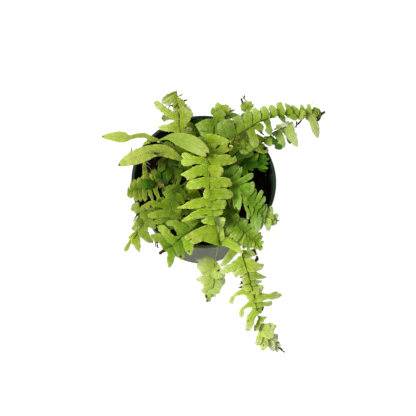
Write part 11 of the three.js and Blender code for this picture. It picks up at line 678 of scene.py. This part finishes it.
def mix_(nt, f, a, b, kind="MIX"):
    n = nt.nodes.new("ShaderNodeMix")
    n.data_type = "RGBA"
    n.blend_type = kind
    n.clamp_factor = True
    for key, x in (("Factor", f), ("A", a), ("B", b)):
        sock = [i for i in n.inputs if i.name == key and (i.type == "RGBA" if key != "Factor" else i.type == "VALUE")][0]
        if isinstance(x, (int, float)):
            sock.default_value = x
        elif isinstance(x, (tuple, list, np.ndarray)):
            sock.default_value = (float(x[0]), float(x[1]), float(x[2]), 1.0)
        else:
            nt.links.new(x, sock)
    return [o for o in n.outputs if o.type == "RGBA"][0]


def attr_(nt, name):
    n = nt.nodes.new("ShaderNodeAttribute")
    n.attribute_type = "GEOMETRY"
    n.attribute_name = name
    return n


def noise_(nt, vec, scale, detail=3.0, rough=.5):
    n = nt.nodes.new("ShaderNodeTexNoise")
    n.inputs["Scale"].default_value = scale
    n.inputs["Detail"].default_value = detail
    n.inputs["Roughness"].default_value = rough
    if vec is not None:
        nt.links.new(vec, n.inputs["Vector"])
    return n.outputs["Fac"]


def combine_(nt, x, y, z):
    n = nt.nodes.new("ShaderNodeCombineXYZ")
    for i, v in enumerate((x, y, z)):
        if isinstance(v, (int, float)):
            n.inputs[i].default_value = v
        else:
            nt.links.new(v, n.inputs[i])
    return n.outputs[0]


def gain_(nt, col, f):
    """Colour times a value."""
    n = nt.nodes.new("ShaderNodeVectorMath")
    n.operation = "SCALE"
    nt.links.new(col, n.inputs[0])
    if isinstance(f, (int, float)):
        n.inputs["Scale"].default_value = f
    else:
        nt.links.new(f, n.inputs["Scale"])
    return n.outputs[0]


def leaf_material(name, stripes, gloss):
    m, nt, bsdf = new_material(name)
    tint, mm, lf, mark = attr_(nt, "tint"), attr_(nt, "mm"), attr_(nt, "lf"), attr_(nt, "mark")
    sx = N_(nt, "ShaderNodeSeparateXYZ"); nt.links.new(mm.outputs["Vector"], sx.inputs[0])
    sl = N_(nt, "ShaderNodeSeparateXYZ"); nt.links.new(lf.outputs["Vector"], sl.inputs[0])
    sm = N_(nt, "ShaderNodeSeparateColor"); nt.links.new(mark.outputs["Color"], sm.inputs[0])
    x, y, seed = sx.outputs[0], sx.outputs[1], sx.outputs[2]
    ay = math_(nt, "ABSOLUTE", y)
    s = math_(nt, "SUBTRACT", x, math_(nt, "MULTIPLY", ay, 1.05))          # runs along the side veins
    fr = math_(nt, "ABSOLUTE", math_(nt, "SUBTRACT", math_(nt, "FRACT", math_(nt, "DIVIDE", s, 2.1)), .5))
    vein = ramp_(nt, fr, .30, .5)
    midrib = ramp_(nt, ay, .55, .12)
    # irregular stripes between the veins, the plant's own variegation
    band = noise_(nt, combine_(nt, math_(nt, "MULTIPLY", s, .46), math_(nt, "MULTIPLY", y, .09), seed), 1.0, 2.0, .55)
    stripe = ramp_(nt, band, .44, .62)
    blotch = ramp_(nt, noise_(nt, combine_(nt, math_(nt, "MULTIPLY", x, .10), math_(nt, "MULTIPLY", y, .16), seed), 1.0, 2.5, .6), .40, .66)
    geo = N_(nt, "ShaderNodeNewGeometry")
    fine = noise_(nt, geo.outputs["Position"], 900.0, 3.0, .6)
    edge = ramp_(nt, sm.outputs[1], .2, .9)
    base = tint.outputs["Color"]
    dark = gain_(nt, base, .58)
    darkg = mix_(nt, .35, dark, (.085, .17, .010))
    sc_ = N_(nt, "ShaderNodeSeparateColor"); nt.links.new(base, sc_.inputs[0])
    lite = mix_(nt, math_(nt, "MULTIPLY", sc_.outputs[1], .72, True), gain_(nt, base, 1.22), (.60, .68, .24))
    col = mix_(nt, math_(nt, "MULTIPLY", stripe, stripes * STRIPE), base, darkg)
    col = mix_(nt, math_(nt, "MULTIPLY", blotch, stripes * .8), col, lite)
    col = mix_(nt, math_(nt, "MULTIPLY", vein, VEIN), col, darkg)
    col = mix_(nt, math_(nt, "MULTIPLY", midrib, .45), col, darkg)
    # lightened towards the pale colour by the mark's second value: on leaflets their rim, a painted rim highlight and
    # partly the paler margin; on straps a random amount per blade
    col = mix_(nt, math_(nt, "MULTIPLY", edge, .42), col, lite)
    col = gain_(nt, col, ramp_(nt, fine, .25, .75, .93, 1.07))
    # dried patches with a ragged yellow border
    rag = math_(nt, "ADD", sm.outputs[0], math_(nt, "MULTIPLY", math_(nt, "SUBTRACT", noise_(nt, geo.outputs["Position"], 700.0, 3.0, .7), .5), .5))
    halo = ramp_(nt, rag, .12, .42)
    dead = ramp_(nt, rag, .38, .55)
    col = mix_(nt, math_(nt, "MULTIPLY", halo, .5), col, lin(150, 132, 52))
    deadc = mix_(nt, noise_(nt, geo.outputs["Position"], 1400.0, 2.0), lin(30, 17, 11), lin(84, 54, 34))
    col = mix_(nt, dead, col, deadc)
    nt.links.new(col, bsdf.inputs["Base Color"])
    rough = ramp_(nt, noise_(nt, geo.outputs["Position"], 420.0, 2.0), .3, .7, gloss - .05, gloss + .09)
    nt.links.new(math_(nt, "ADD", rough, math_(nt, "MULTIPLY", dead, .3), True), bsdf.inputs["Roughness"])
    bsdf.inputs["Specular IOR Level"].default_value = LEAF_SPEC
    h = math_(nt, "ADD", math_(nt, "MULTIPLY", vein, -.5), math_(nt, "MULTIPLY", fine, .22))
    h = math_(nt, "SUBTRACT", h, math_(nt, "MULTIPLY", midrib, .8))
    bump = N_(nt, "ShaderNodeBump")
    bump.inputs["Strength"].default_value = .55
    bump.inputs["Distance"].default_value = .00022
    nt.links.new(h, bump.inputs["Height"])
    nt.links.new(bump.outputs[0], bsdf.inputs["Normal"])
    bsdf.inputs["Subsurface Weight"].default_value = SSS
    bsdf.inputs["Subsurface Radius"].default_value = (1.0, 1.0, .35)
    bsdf.inputs["Subsurface Scale"].default_value = .0012
    return m




def stalk_material():
    m, nt, bsdf = new_material("stalk")
    tint, mm, mark = attr_(nt, "tint"), attr_(nt, "mm"), attr_(nt, "mark")
    sm = N_(nt, "ShaderNodeSeparateColor"); nt.links.new(mark.outputs["Color"], sm.inputs[0])
    geo = N_(nt, "ShaderNodeNewGeometry")
    sx = N_(nt, "ShaderNodeSeparateXYZ"); nt.links.new(mm.outputs["Vector"], sx.inputs[0])
    streak = noise_(nt, combine_(nt, math_(nt, "MULTIPLY", sx.outputs[0], .12), math_(nt, "MULTIPLY", sx.outputs[1], 1.6), sx.outputs[2]), 1.0, 3.0)
    col = gain_(nt, tint.outputs["Color"], ramp_(nt, streak, .3, .7, .78, 1.18))
    fleck = ramp_(nt, noise_(nt, geo.outputs["Position"], 1500.0, 2.0), .60, .72)
    col = mix_(nt, math_(nt, "MULTIPLY", fleck, .45), col, lin(70, 44, 22))
    col = mix_(nt, ramp_(nt, sm.outputs[0], .3, .6), col, lin(58, 34, 20))
    nt.links.new(col, bsdf.inputs["Base Color"])
    nt.links.new(ramp_(nt, streak, .3, .7, .42, .62), bsdf.inputs["Roughness"])
    bsdf.inputs["Specular IOR Level"].default_value = .14
    bump = N_(nt, "ShaderNodeBump")
    bump.inputs["Strength"].default_value = .5
    bump.inputs["Distance"].default_value = .0002
    nt.links.new(streak, bump.inputs["Height"])
    nt.links.new(bump.outputs[0], bsdf.inputs["Normal"])
    return m


def pot_material():
    m, nt, bsdf = new_material("nursery_pot_plastic")
    tc = N_(nt, "ShaderNodeTexCoord")
    sp = N_(nt, "ShaderNodeSeparateXYZ"); nt.links.new(tc.outputs["Object"], sp.inputs[0])
    ang = math_(nt, "ARCTAN2", sp.outputs[1], sp.outputs[0])
    # faint flow lines from moulding run up the wall
    flow = noise_(nt, combine_(nt, math_(nt, "MULTIPLY", ang, 34.0), math_(nt, "MULTIPLY", sp.outputs[2], 6.0), 0.0), 1.0, 3.0, .6)
    cloud = noise_(nt, tc.outputs["Object"], 55.0, 4.0, .55)
    grit = noise_(nt, tc.outputs["Object"], 1800.0, 2.0, .5)
    # painted sheen: the wall is painted a lighter grey-green than the lip, in place of the bright floor's reflection on
    # the dark green plastic; the lip keeps the plastic's darker green
    col = mix_(nt, cloud, lin(60, 71, 46), lin(85, 98, 63))
    lip = mix_(nt, cloud, lin(42, 57, 40), lin(54, 71, 51))
    # painted light: the front of the lip lies in the shade of the leaves above and is lifted towards the lighter wall
    # colour
    lip = mix_(nt, ramp_(nt, sp.outputs[1], -.058, -.072), lip, gain_(nt, col, 1.7))
    col = mix_(nt, ramp_(nt, sp.outputs[2], .102, .110), col, lip)
    col = gain_(nt, col, ramp_(nt, flow, .3, .7, .88, 1.12))
    # dust and dried water marks, thicker near the foot
    dust = math_(nt, "MULTIPLY", ramp_(nt, noise_(nt, tc.outputs["Object"], 140.0, 5.0, .65), .46, .74), ramp_(nt, sp.outputs[2], .12, .0, .10, .45))
    col = mix_(nt, dust, col, lin(106, 110, 90))
    # painted shade: inside the rim, the wall above the soil is painted near black where the leaves shade it
    rad = math_(nt, "SQRT", math_(nt, "ADD", math_(nt, "MULTIPLY", sp.outputs[0], sp.outputs[0]), math_(nt, "MULTIPLY", sp.outputs[1], sp.outputs[1])))
    inside_shade = math_(nt, "MULTIPLY", ramp_(nt, rad, .0727, .0717), ramp_(nt, sp.outputs[2], .104, .106))
    col = mix_(nt, inside_shade, col, lin(7, 11, 7))
    nt.links.new(col, bsdf.inputs["Base Color"])
    nt.links.new(math_(nt, "ADD", ramp_(nt, flow, .3, .7, .46, .58), math_(nt, "MULTIPLY", dust, .4), True), bsdf.inputs["Roughness"])
    bsdf.inputs["Specular IOR Level"].default_value = .12
    bump = N_(nt, "ShaderNodeBump")
    bump.inputs["Strength"].default_value = .35
    bump.inputs["Distance"].default_value = .0003
    nt.links.new(math_(nt, "ADD", flow, math_(nt, "MULTIPLY", grit, .35)), bump.inputs["Height"])
    nt.links.new(bump.outputs[0], bsdf.inputs["Normal"])
    return m


def soil_material():
    m, nt, bsdf = new_material("potting_mix")
    tint = attr_(nt, "tint")
    geo = N_(nt, "ShaderNodeNewGeometry")
    n1 = noise_(nt, geo.outputs["Position"], 260.0, 5.0, .65)
    n2 = noise_(nt, geo.outputs["Position"], 1300.0, 3.0, .6)
    col = gain_(nt, tint.outputs["Color"], ramp_(nt, n1, .3, .72, .55, 1.5))
    col = mix_(nt, ramp_(nt, n2, .70, .78, 0, .22), col, lin(70, 56, 38))
    nt.links.new(col, bsdf.inputs["Base Color"])
    nt.links.new(ramp_(nt, n1, .3, .7, .72, .95), bsdf.inputs["Roughness"])
    bsdf.inputs["Specular IOR Level"].default_value = .08
    bump = N_(nt, "ShaderNodeBump")
    bump.inputs["Strength"].default_value = .8
    bump.inputs["Distance"].default_value = .0006
    nt.links.new(math_(nt, "ADD", n1, math_(nt, "MULTIPLY", n2, .5)), bump.inputs["Height"])
    nt.links.new(bump.outputs[0], bsdf.inputs["Normal"])
    return m


LEAF = {
    "bright": leaf_material("leaf_bright", .42, .44),
    "mid": leaf_material("leaf_mid", .50, .46),
    "olive": leaf_material("leaf_olive", .55, .48),
    "pale": leaf_material("leaf_pale", .30, .46),
    "dark": leaf_material("leaf_dark", .30, .42),
}
STALK_MAT = stalk_material()
POT_MAT = pot_material()
SOIL_MAT = soil_material()

# --------------------------------------------------------------------- camera
CAM_AT = np.array([7.93257969, -213.04712516, 587.82942265])
FWD = np.array([-0.00180821, 0.359354, -0.93319957])
RIGHT = np.array([0.99557963, 0.08827821, 0.03206486])
UP = np.array([-0.09390382, 0.92901650, 0.35792515])
cam_data = bpy.data.cameras.new("camera")
cam_data.sensor_fit = "HORIZONTAL"
cam_data.sensor_width = 36.0
cam_data.lens = 490.0 / 416.0 * 36.0
cam_data.clip_start = .01
cam_data.clip_end = 20.0
cam = bpy.data.objects.new("camera", cam_data)
cam.matrix_world = Matrix(((RIGHT[0], UP[0], -FWD[0], CAM_AT[0] * MM), (RIGHT[1], UP[1], -FWD[1], CAM_AT[1] * MM),
                           (RIGHT[2], UP[2], -FWD[2], CAM_AT[2] * MM), (0, 0, 0, 1)))
bpy.context.scene.collection.objects.link(cam)
bpy.context.scene.camera = cam


def place(o, node):
    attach(o, "root")
    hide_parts(node)
    return o


# --------------------------------------------------------------------- fronds
EYE = CAM_AT
for fi, f in enumerate(FRONDS):
    rng = np.random.default_rng(1000 + fi * 17)
    b = Build()
    spots = SPOTS.get(f["name"], [])
    rod = [np.array(p, float) for p in f["rod"]]
    lift = LIFT.get(f["name"], 0.0)
    raised = [p + unit(EYE - p) * lift * min(1.0, max(0.0, (i - f["nst"]) / 5.0)) for i, p in enumerate(rod)]
    stalk(b, raised, f["nst"], f["r0"] * SLIM.get(f["name"], 1.0), f["r1"], STEM.get(f["name"], f["tone"]), rng, fi + .37, spots)
    R = np.array(rod)
    for k, p in enumerate(f["pin"]):
        Bp = np.array(p[0][0])
        i = int(np.argmin(np.linalg.norm(R - Bp, axis=1)))
        i = min(max(i, 1), len(R) - 1)
        leaflet(b, p, unit(R[i] - R[i - 1]), rng, fi * 3.1 + k * .73, spots, tint=HUE.get(f["name"], (1, 1, 1)),
                foot_shade=FOOT_SHADE.get(f["name"], (.45, .28)), rough=ROUGH.get(f["name"], 1.0))
    for k, s in enumerate(f["straps"]):
        strap(b, s[0], s[1], EYE, rng, fi * 3.1 + k * 1.9, spots, HUE.get(f["name"], (1, 1, 1)))
    for k, p in enumerate(DRIED.get(f["name"], [])):
        leaflet(b, p, np.array([0, 0, 1.0]), rng, fi + k * .31, (), fold=.8, wave=1.6, tilt=0, swell=0.0)
    o = b.make("leaf_" + f["name"], [LEAF[f["mat"]], STALK_MAT])
    place(o, f["name"])

# ------------------------------------------------------------------------ pot
def lathe(profile, sides, b, col, mat=0):
    prof = np.array(profile, float)
    k = len(prof)
    a = np.arange(sides) / sides * 2 * math.pi
    axis0, axis1 = prof[0, 0] < 1e-6, prof[-1, 0] < 1e-6
    ring = prof[1 if axis0 else 0:k - 1 if axis1 else k]
    V = np.stack([np.outer(np.cos(a), ring[:, 0]), np.outer(np.sin(a), ring[:, 0]), np.tile(ring[:, 1], (sides, 1))], -1)
    n = len(ring)
    V = V.reshape(-1, 3)
    F = []
    for i in range(sides):
        j = (i + 1) % sides
        for q in range(n - 1):
            F.append((i * n + q, j * n + q, j * n + q + 1, i * n + q + 1))
    extra = []
    if axis0:
        c = len(V) + len(extra); extra.append([0, 0, prof[0, 1]])
        F += [(c, ((i + 1) % sides) * n, i * n) for i in range(sides)]
    if axis1:
        c = len(V) + len(extra); extra.append([0, 0, prof[-1, 1]])
        F += [(c, i * n + n - 1, ((i + 1) % sides) * n + n - 1) for i in range(sides)]
    if extra:
        V = np.concatenate([V, extra])
    b.add(V, F, col, [0, 0, 0], [0, 0, 0], [0, 0, 0], mat)


def arc(cx, cz, r, a0, a1, n):
    return [(cx + r * math.cos(math.radians(a0 + (a1 - a0) * i / n)), cz + r * math.sin(math.radians(a0 + (a1 - a0) * i / n))) for i in range(n + 1)]


wall_top = POT_H - 5
outer = lambda z: FOOT_R + (74.4 - FOOT_R) * z / wall_top
inner = lambda z: outer(z) - 1.7
profile = [(0, 0.0), (20, 0.0), (40, 0.0), (54, 0.0), (FOOT_R - 2.6, 0.0)]
profile += arc(FOOT_R - 1.7, 1.7, 1.7, -80, 0, 5)
profile += [(outer(z), z) for z in (6, 14, 26, 40, 56, 72, 88, 100, 109, 113.6)]
profile += [(outer(114.4) + .12, 114.5), (LIP_R - .85, 115.1)]
profile += arc(LIP_R - .7, 116.0, .7, -70, 0, 3)
profile += arc(LIP_R - 1.0, POT_H - 1.0, 1.0, 0, 90, 6)
profile += arc(LIP_R - LIP_W + .9, POT_H - .9, .9, 90, 180, 5)
profile += [(LIP_R - LIP_W + .02, 117.5), (inner(114.6) + .25, 115.0), (inner(113), 113.2)]
profile += [(inner(z), z) for z in (106, 92, 70, 48, 26, 8)]
profile += arc(inner(4) - 1.6, FLOOR_T + 1.6, 1.6, 0, -90, 4)
profile += [(40, FLOOR_T), (20, FLOOR_T), (0, FLOOR_T)]
b = Build()
lathe(profile, 160, b, lin(44, 62, 44))
pot = b.make("nursery_pot", [POT_MAT])
cut = Build()
for i in range(8):
    a = 2 * math.pi * (i + .5) / 8
    V = []
    for z in (-4.0, 8.0):
        for j in range(28):
            t = 2 * math.pi * j / 28
            V.append((47 * math.cos(a) + 5 * math.cos(t), 47 * math.sin(a) + 5 * math.sin(t), z))
    F = [tuple(range(27, -1, -1)), tuple(range(28, 56))] + [(j, (j + 1) % 28, 28 + (j + 1) % 28, 28 + j) for j in range(28)]
    cut.add(V, F, [0, 0, 0], [0, 0, 0], [0, 0, 0], [0, 0, 0])
cutter = cut.make("drain_cutter", [])
mod = pot.modifiers.new("holes", "BOOLEAN")
mod.operation = "DIFFERENCE"
mod.solver = "EXACT"
mod.object = cutter
bpy.context.view_layer.update()
me = bpy.data.meshes.new_from_object(pot.evaluated_get(bpy.context.evaluated_depsgraph_get()))
pot.modifiers.clear()
pot.data = me
bpy.data.objects.remove(cutter)
me.materials.clear()
me.materials.append(POT_MAT)
me.polygons.foreach_set("material_index", [0] * len(me.polygons))
me.polygons.foreach_set("use_smooth", [True] * len(me.polygons))
me.set_sharp_from_angle(angle=math.radians(48))
place(pot, "pot")

# ----------------------------------------------------------------------- soil
rng = np.random.default_rng(77)
b = Build()
NR, NA = 62, 220
radii = np.r_[np.linspace(0, 1, NR + 1)[1:] ** .8 * (inner(SOIL_Z) - .45)]
a = np.arange(NA) / NA * 2 * math.pi
top = []
for r in radii:
    for t in a:
        x, y = r * math.cos(t), r * math.sin(t)
        q = Vector((x, y, 3.0))
        h = 1.1 * (1 - (r / 72) ** 2) + .9 * noise.noise(q * .05) + .9 * noise.noise(q * .17) + .75 * noise.noise(q * .45) + .4 * noise.noise(q * 1.1)
        edge = max(0.0, (r - 62) / 10)
        top.append((x, y, min(SOIL_Z - .35 + h * (1 - .5 * edge) - 1.0 * edge ** 2, SOIL_Z + 1.9)))
top = np.array(top)
side = []
for z, r in ((92, inner(92) - .45), (50, inner(50) - .45), (6, inner(6) - .45), (3.1, inner(4) - 2.2)):
    for t in a:
        side.append((r * math.cos(t), r * math.sin(t), z))
V = np.concatenate([top, side, [[0, 0, SOIL_Z + .6], [0, 0, 3.1]]])
F = []
for i in range(len(radii) + 4 - 1):
    for j in range(NA):
        k = (j + 1) % NA
        F.append((i * NA + j, (i + 1) * NA + j, (i + 1) * NA + k, i * NA + k))
ct, cb = len(V) - 2, len(V) - 1
F += [(ct, j, (j + 1) % NA) for j in range(NA)]
base = (len(radii) + 3) * NA
F += [(cb, base + (j + 1) % NA, base + j) for j in range(NA)]
# soil coloured near black: dark potting mix, darkened further as painted shade under the leaves
b.add(V, F, lin(8, 7, 6), [0, 0, 0], [0, 0, 0], [0, 0, 0])


def height(x, y):
    r = math.hypot(x, y)
    i = int(np.clip(np.searchsorted(radii, r), 0, NR - 1))
    j = int(round((math.atan2(y, x) % (2 * math.pi)) / (2 * math.pi) * NA)) % NA
    return top[i * NA + j][2]


ICO_V = []
g = (1 + 5 ** .5) / 2
for s1 in (-1, 1):
    for s2 in (-g, g):
        ICO_V += [(0, s1, s2), (s1, s2, 0), (s2, 0, s1)]
ICO_V = unit(np.array(ICO_V))
ICO_F = []
for i in range(12):
    for j in range(i + 1, 12):
        for k in range(j + 1, 12):
            A, Bv, Cv = ICO_V[i], ICO_V[j], ICO_V[k]
            if max(np.linalg.norm(A - Bv), np.linalg.norm(Bv - Cv), np.linalg.norm(A - Cv)) < 1.1:
                ICO_F.append((i, j, k) if np.dot(np.cross(Bv - A, Cv - A), A) > 0 else (i, k, j))


def grain(b, x, y, z, size, colour, stretch=(1, 1, 1)):
    q = ICO_V * np.array(stretch) * (1 + rng.normal(0, .17, (12, 1)))
    ax, ay, az = rng.uniform(0, 6.283, 3)
    ca, sa, cb2, sb = math.cos(ax), math.sin(ax), math.cos(ay), math.sin(ay)
    cc, sc = math.cos(az), math.sin(az)
    Rm = np.array([[cc, -sc, 0], [sc, cc, 0], [0, 0, 1]]) @ np.array([[1, 0, 0], [0, ca, -sa], [0, sa, ca]])
    if stretch[2] >= .8:
        Rm = Rm @ np.array([[cb2, 0, sb], [0, 1, 0], [-sb, 0, cb2]])
    q = (q @ Rm.T) * size + np.array([x, y, z])
    lift = SOIL_Z + 3.2 - q[:, 2].max()
    if lift < 0:
        q[:, 2] += lift
    b.add(q, ICO_F, colour, [0, 0, 0], [0, 0, 0], [0, 0, 0])


for i in range(2600):
    r = 69.5 * math.sqrt(rng.uniform(0.01, 1))
    t = rng.uniform(0, 2 * math.pi)
    x, y = r * math.cos(t), r * math.sin(t)
    kind = rng.uniform()
    z = height(x, y)
    if kind < .62:
        grain(b, x, y, z + .1, rng.uniform(.35, .95), lin(13, 11, 9) * rng.uniform(.6, 1.7))
    elif kind < .93:
        grain(b, x, y, z + .15, rng.uniform(.9, 2.1), lin(22, 17, 13) * rng.uniform(.5, 1.5), (1.5, .8, .45))
    elif kind < .972:
        grain(b, x, y, z + .2, rng.uniform(.9, 1.6), lin(86, 62, 40) * rng.uniform(.6, 1.2), (1.9, .5, .4))
    else:
        grain(b, x, y, z + .1, rng.uniform(.4, .8), lin(150, 146, 136) * rng.uniform(.6, 1.0))
soil = b.make("potting_mix", [SOIL_MAT])
soil.data.polygons.foreach_set("use_smooth", [len(p.vertices) == 4 for p in soil.data.polygons])
place(soil, "soil")

# ---------------------------------------------------------------------- crown
b = Build()
NU, NV = 40, 18
V = []
for i in range(NV + 1):
    e = i / NV
    prof_r = 13.0 * math.sin(math.pi * (.5 + .5 * e) * 1.0) if e > 0 else 13.0
    z = 99 + 11.0 * math.sin(e * math.pi / 2)
    r = 13.0 * math.cos(e * math.pi / 2) ** .55 if e < 1 else 0.02
    for j in range(NU):
        t = 2 * math.pi * j / NU
        q = Vector((math.cos(t) * 2.2, math.sin(t) * 2.2, e * 3))
        k = 1 + .10 * noise.noise(q * 1.4) + .06 * noise.noise(q * 4)
        V.append((r * k * math.cos(t), r * k * math.sin(t), z + .5 * noise.noise(q * 2.2) * math.cos(e * 1.5)))
V = np.array(V + [[0, 0, 99]])
F = []
for i in range(NV):
    for j in range(NU):
        k = (j + 1) % NU
        F.append((i * NU + j, i * NU + k, (i + 1) * NU + k, (i + 1) * NU + j))
F += [(len(V) - 1, (j + 1) % NU, j) for j in range(NU)]
F.append(tuple(NV * NU + j for j in range(NU)))
b.add(V, F, lin(70, 50, 30), [0, 0, 0], [0, 0, 0], [0, 0, 0])
for i in range(420):
    t, rr = rng.uniform(0, 6.283), 12.6 * math.sqrt(rng.uniform())
    e = math.acos(min(1, (rr / 13.0) ** (1 / .55))) / (math.pi / 2)
    z = 99 + 11.0 * math.sin(e * math.pi / 2)
    base = np.array([rr * math.cos(t), rr * math.sin(t), z - .2])
    out = unit(np.array([math.cos(t) * (rr / 13), math.sin(t) * (rr / 13), 1.2]))
    dirn = unit(out + rng.normal(0, .45, 3))
    if dirn[2] < .1:
        dirn[2] = .3
    sv = unit(np.cross(dirn, [0.2, .3, 1])) * rng.uniform(.18, .34)
    ln = rng.uniform(1.2, 2.8)
    tip, mid = base + dirn * ln, base + dirn * ln * .5
    nn = unit(np.cross(sv, dirn)) * .12
    b.add([base - sv * .6, base + sv * .6, mid + sv, tip, mid - sv, mid + nn],
          [(0, 1, 5), (1, 2, 5), (2, 3, 5), (3, 4, 5), (4, 0, 5), (1, 0, 4, 3, 2)],
          lin(120, 82, 44) * rng.uniform(.5, 1.3), [0, 0, 0], [0, 0, 0], [0, .5, 0])
crown = b.make("rootstock", [STALK_MAT])
place(crown, "crown")

# ---------------------------------------------------------------------- stage
me = bpy.data.meshes.new("floor")
me.from_pydata([(-4, -4, 0), (4, -4, 0), (4, 4, 0), (-4, 4, 0)], [], [(0, 1, 2, 3)])
floor = bpy.data.objects.new("floor", me)
bpy.context.scene.collection.objects.link(floor)
m, nt, bsdf = new_material("floor_paint")
tc = N_(nt, "ShaderNodeTexCoord")
fn = noise_(nt, tc.outputs["Object"], 6.0, 2.0)
nt.links.new(mix_(nt, fn, (FLOOR_ALBEDO - .01,) * 3, (FLOOR_ALBEDO + .01,) * 3), bsdf.inputs["Base Color"])
bsdf.inputs["Roughness"].default_value = .9
bsdf.inputs["Specular IOR Level"].default_value = .1
bsdf.inputs["Emission Color"].default_value = (1, 1, 1, 1)
bsdf.inputs["Emission Strength"].default_value = FLOOR_GLOW
me.materials.append(m)

world = bpy.data.worlds.new("studio")
bpy.context.scene.world = world
world.use_nodes = True
world.node_tree.nodes["Background"].inputs[0].default_value = (1, 1, 1, 1)
world.node_tree.nodes["Background"].inputs[1].default_value = WORLD


def area(name, at, to, size, watts, colour=(1, 1, 1)):
    d = bpy.data.lights.new(name, "AREA")
    d.shape = "DISK"
    d.size = size
    d.energy = watts
    d.color = colour
    o = bpy.data.objects.new(name, d)
    o.location = at
    o.rotation_euler = (Vector(to) - Vector(at)).to_track_quat("-Z", "Y").to_euler()
    bpy.context.scene.collection.objects.link(o)


for args in LIGHTS:
    area(*args)

bpy.context.scene.view_settings.view_transform = "Standard"
bpy.context.scene.view_settings.look = "None"
bpy.context.scene.view_settings.exposure = 0.0
bpy.context.scene.view_settings.gamma = 1.0
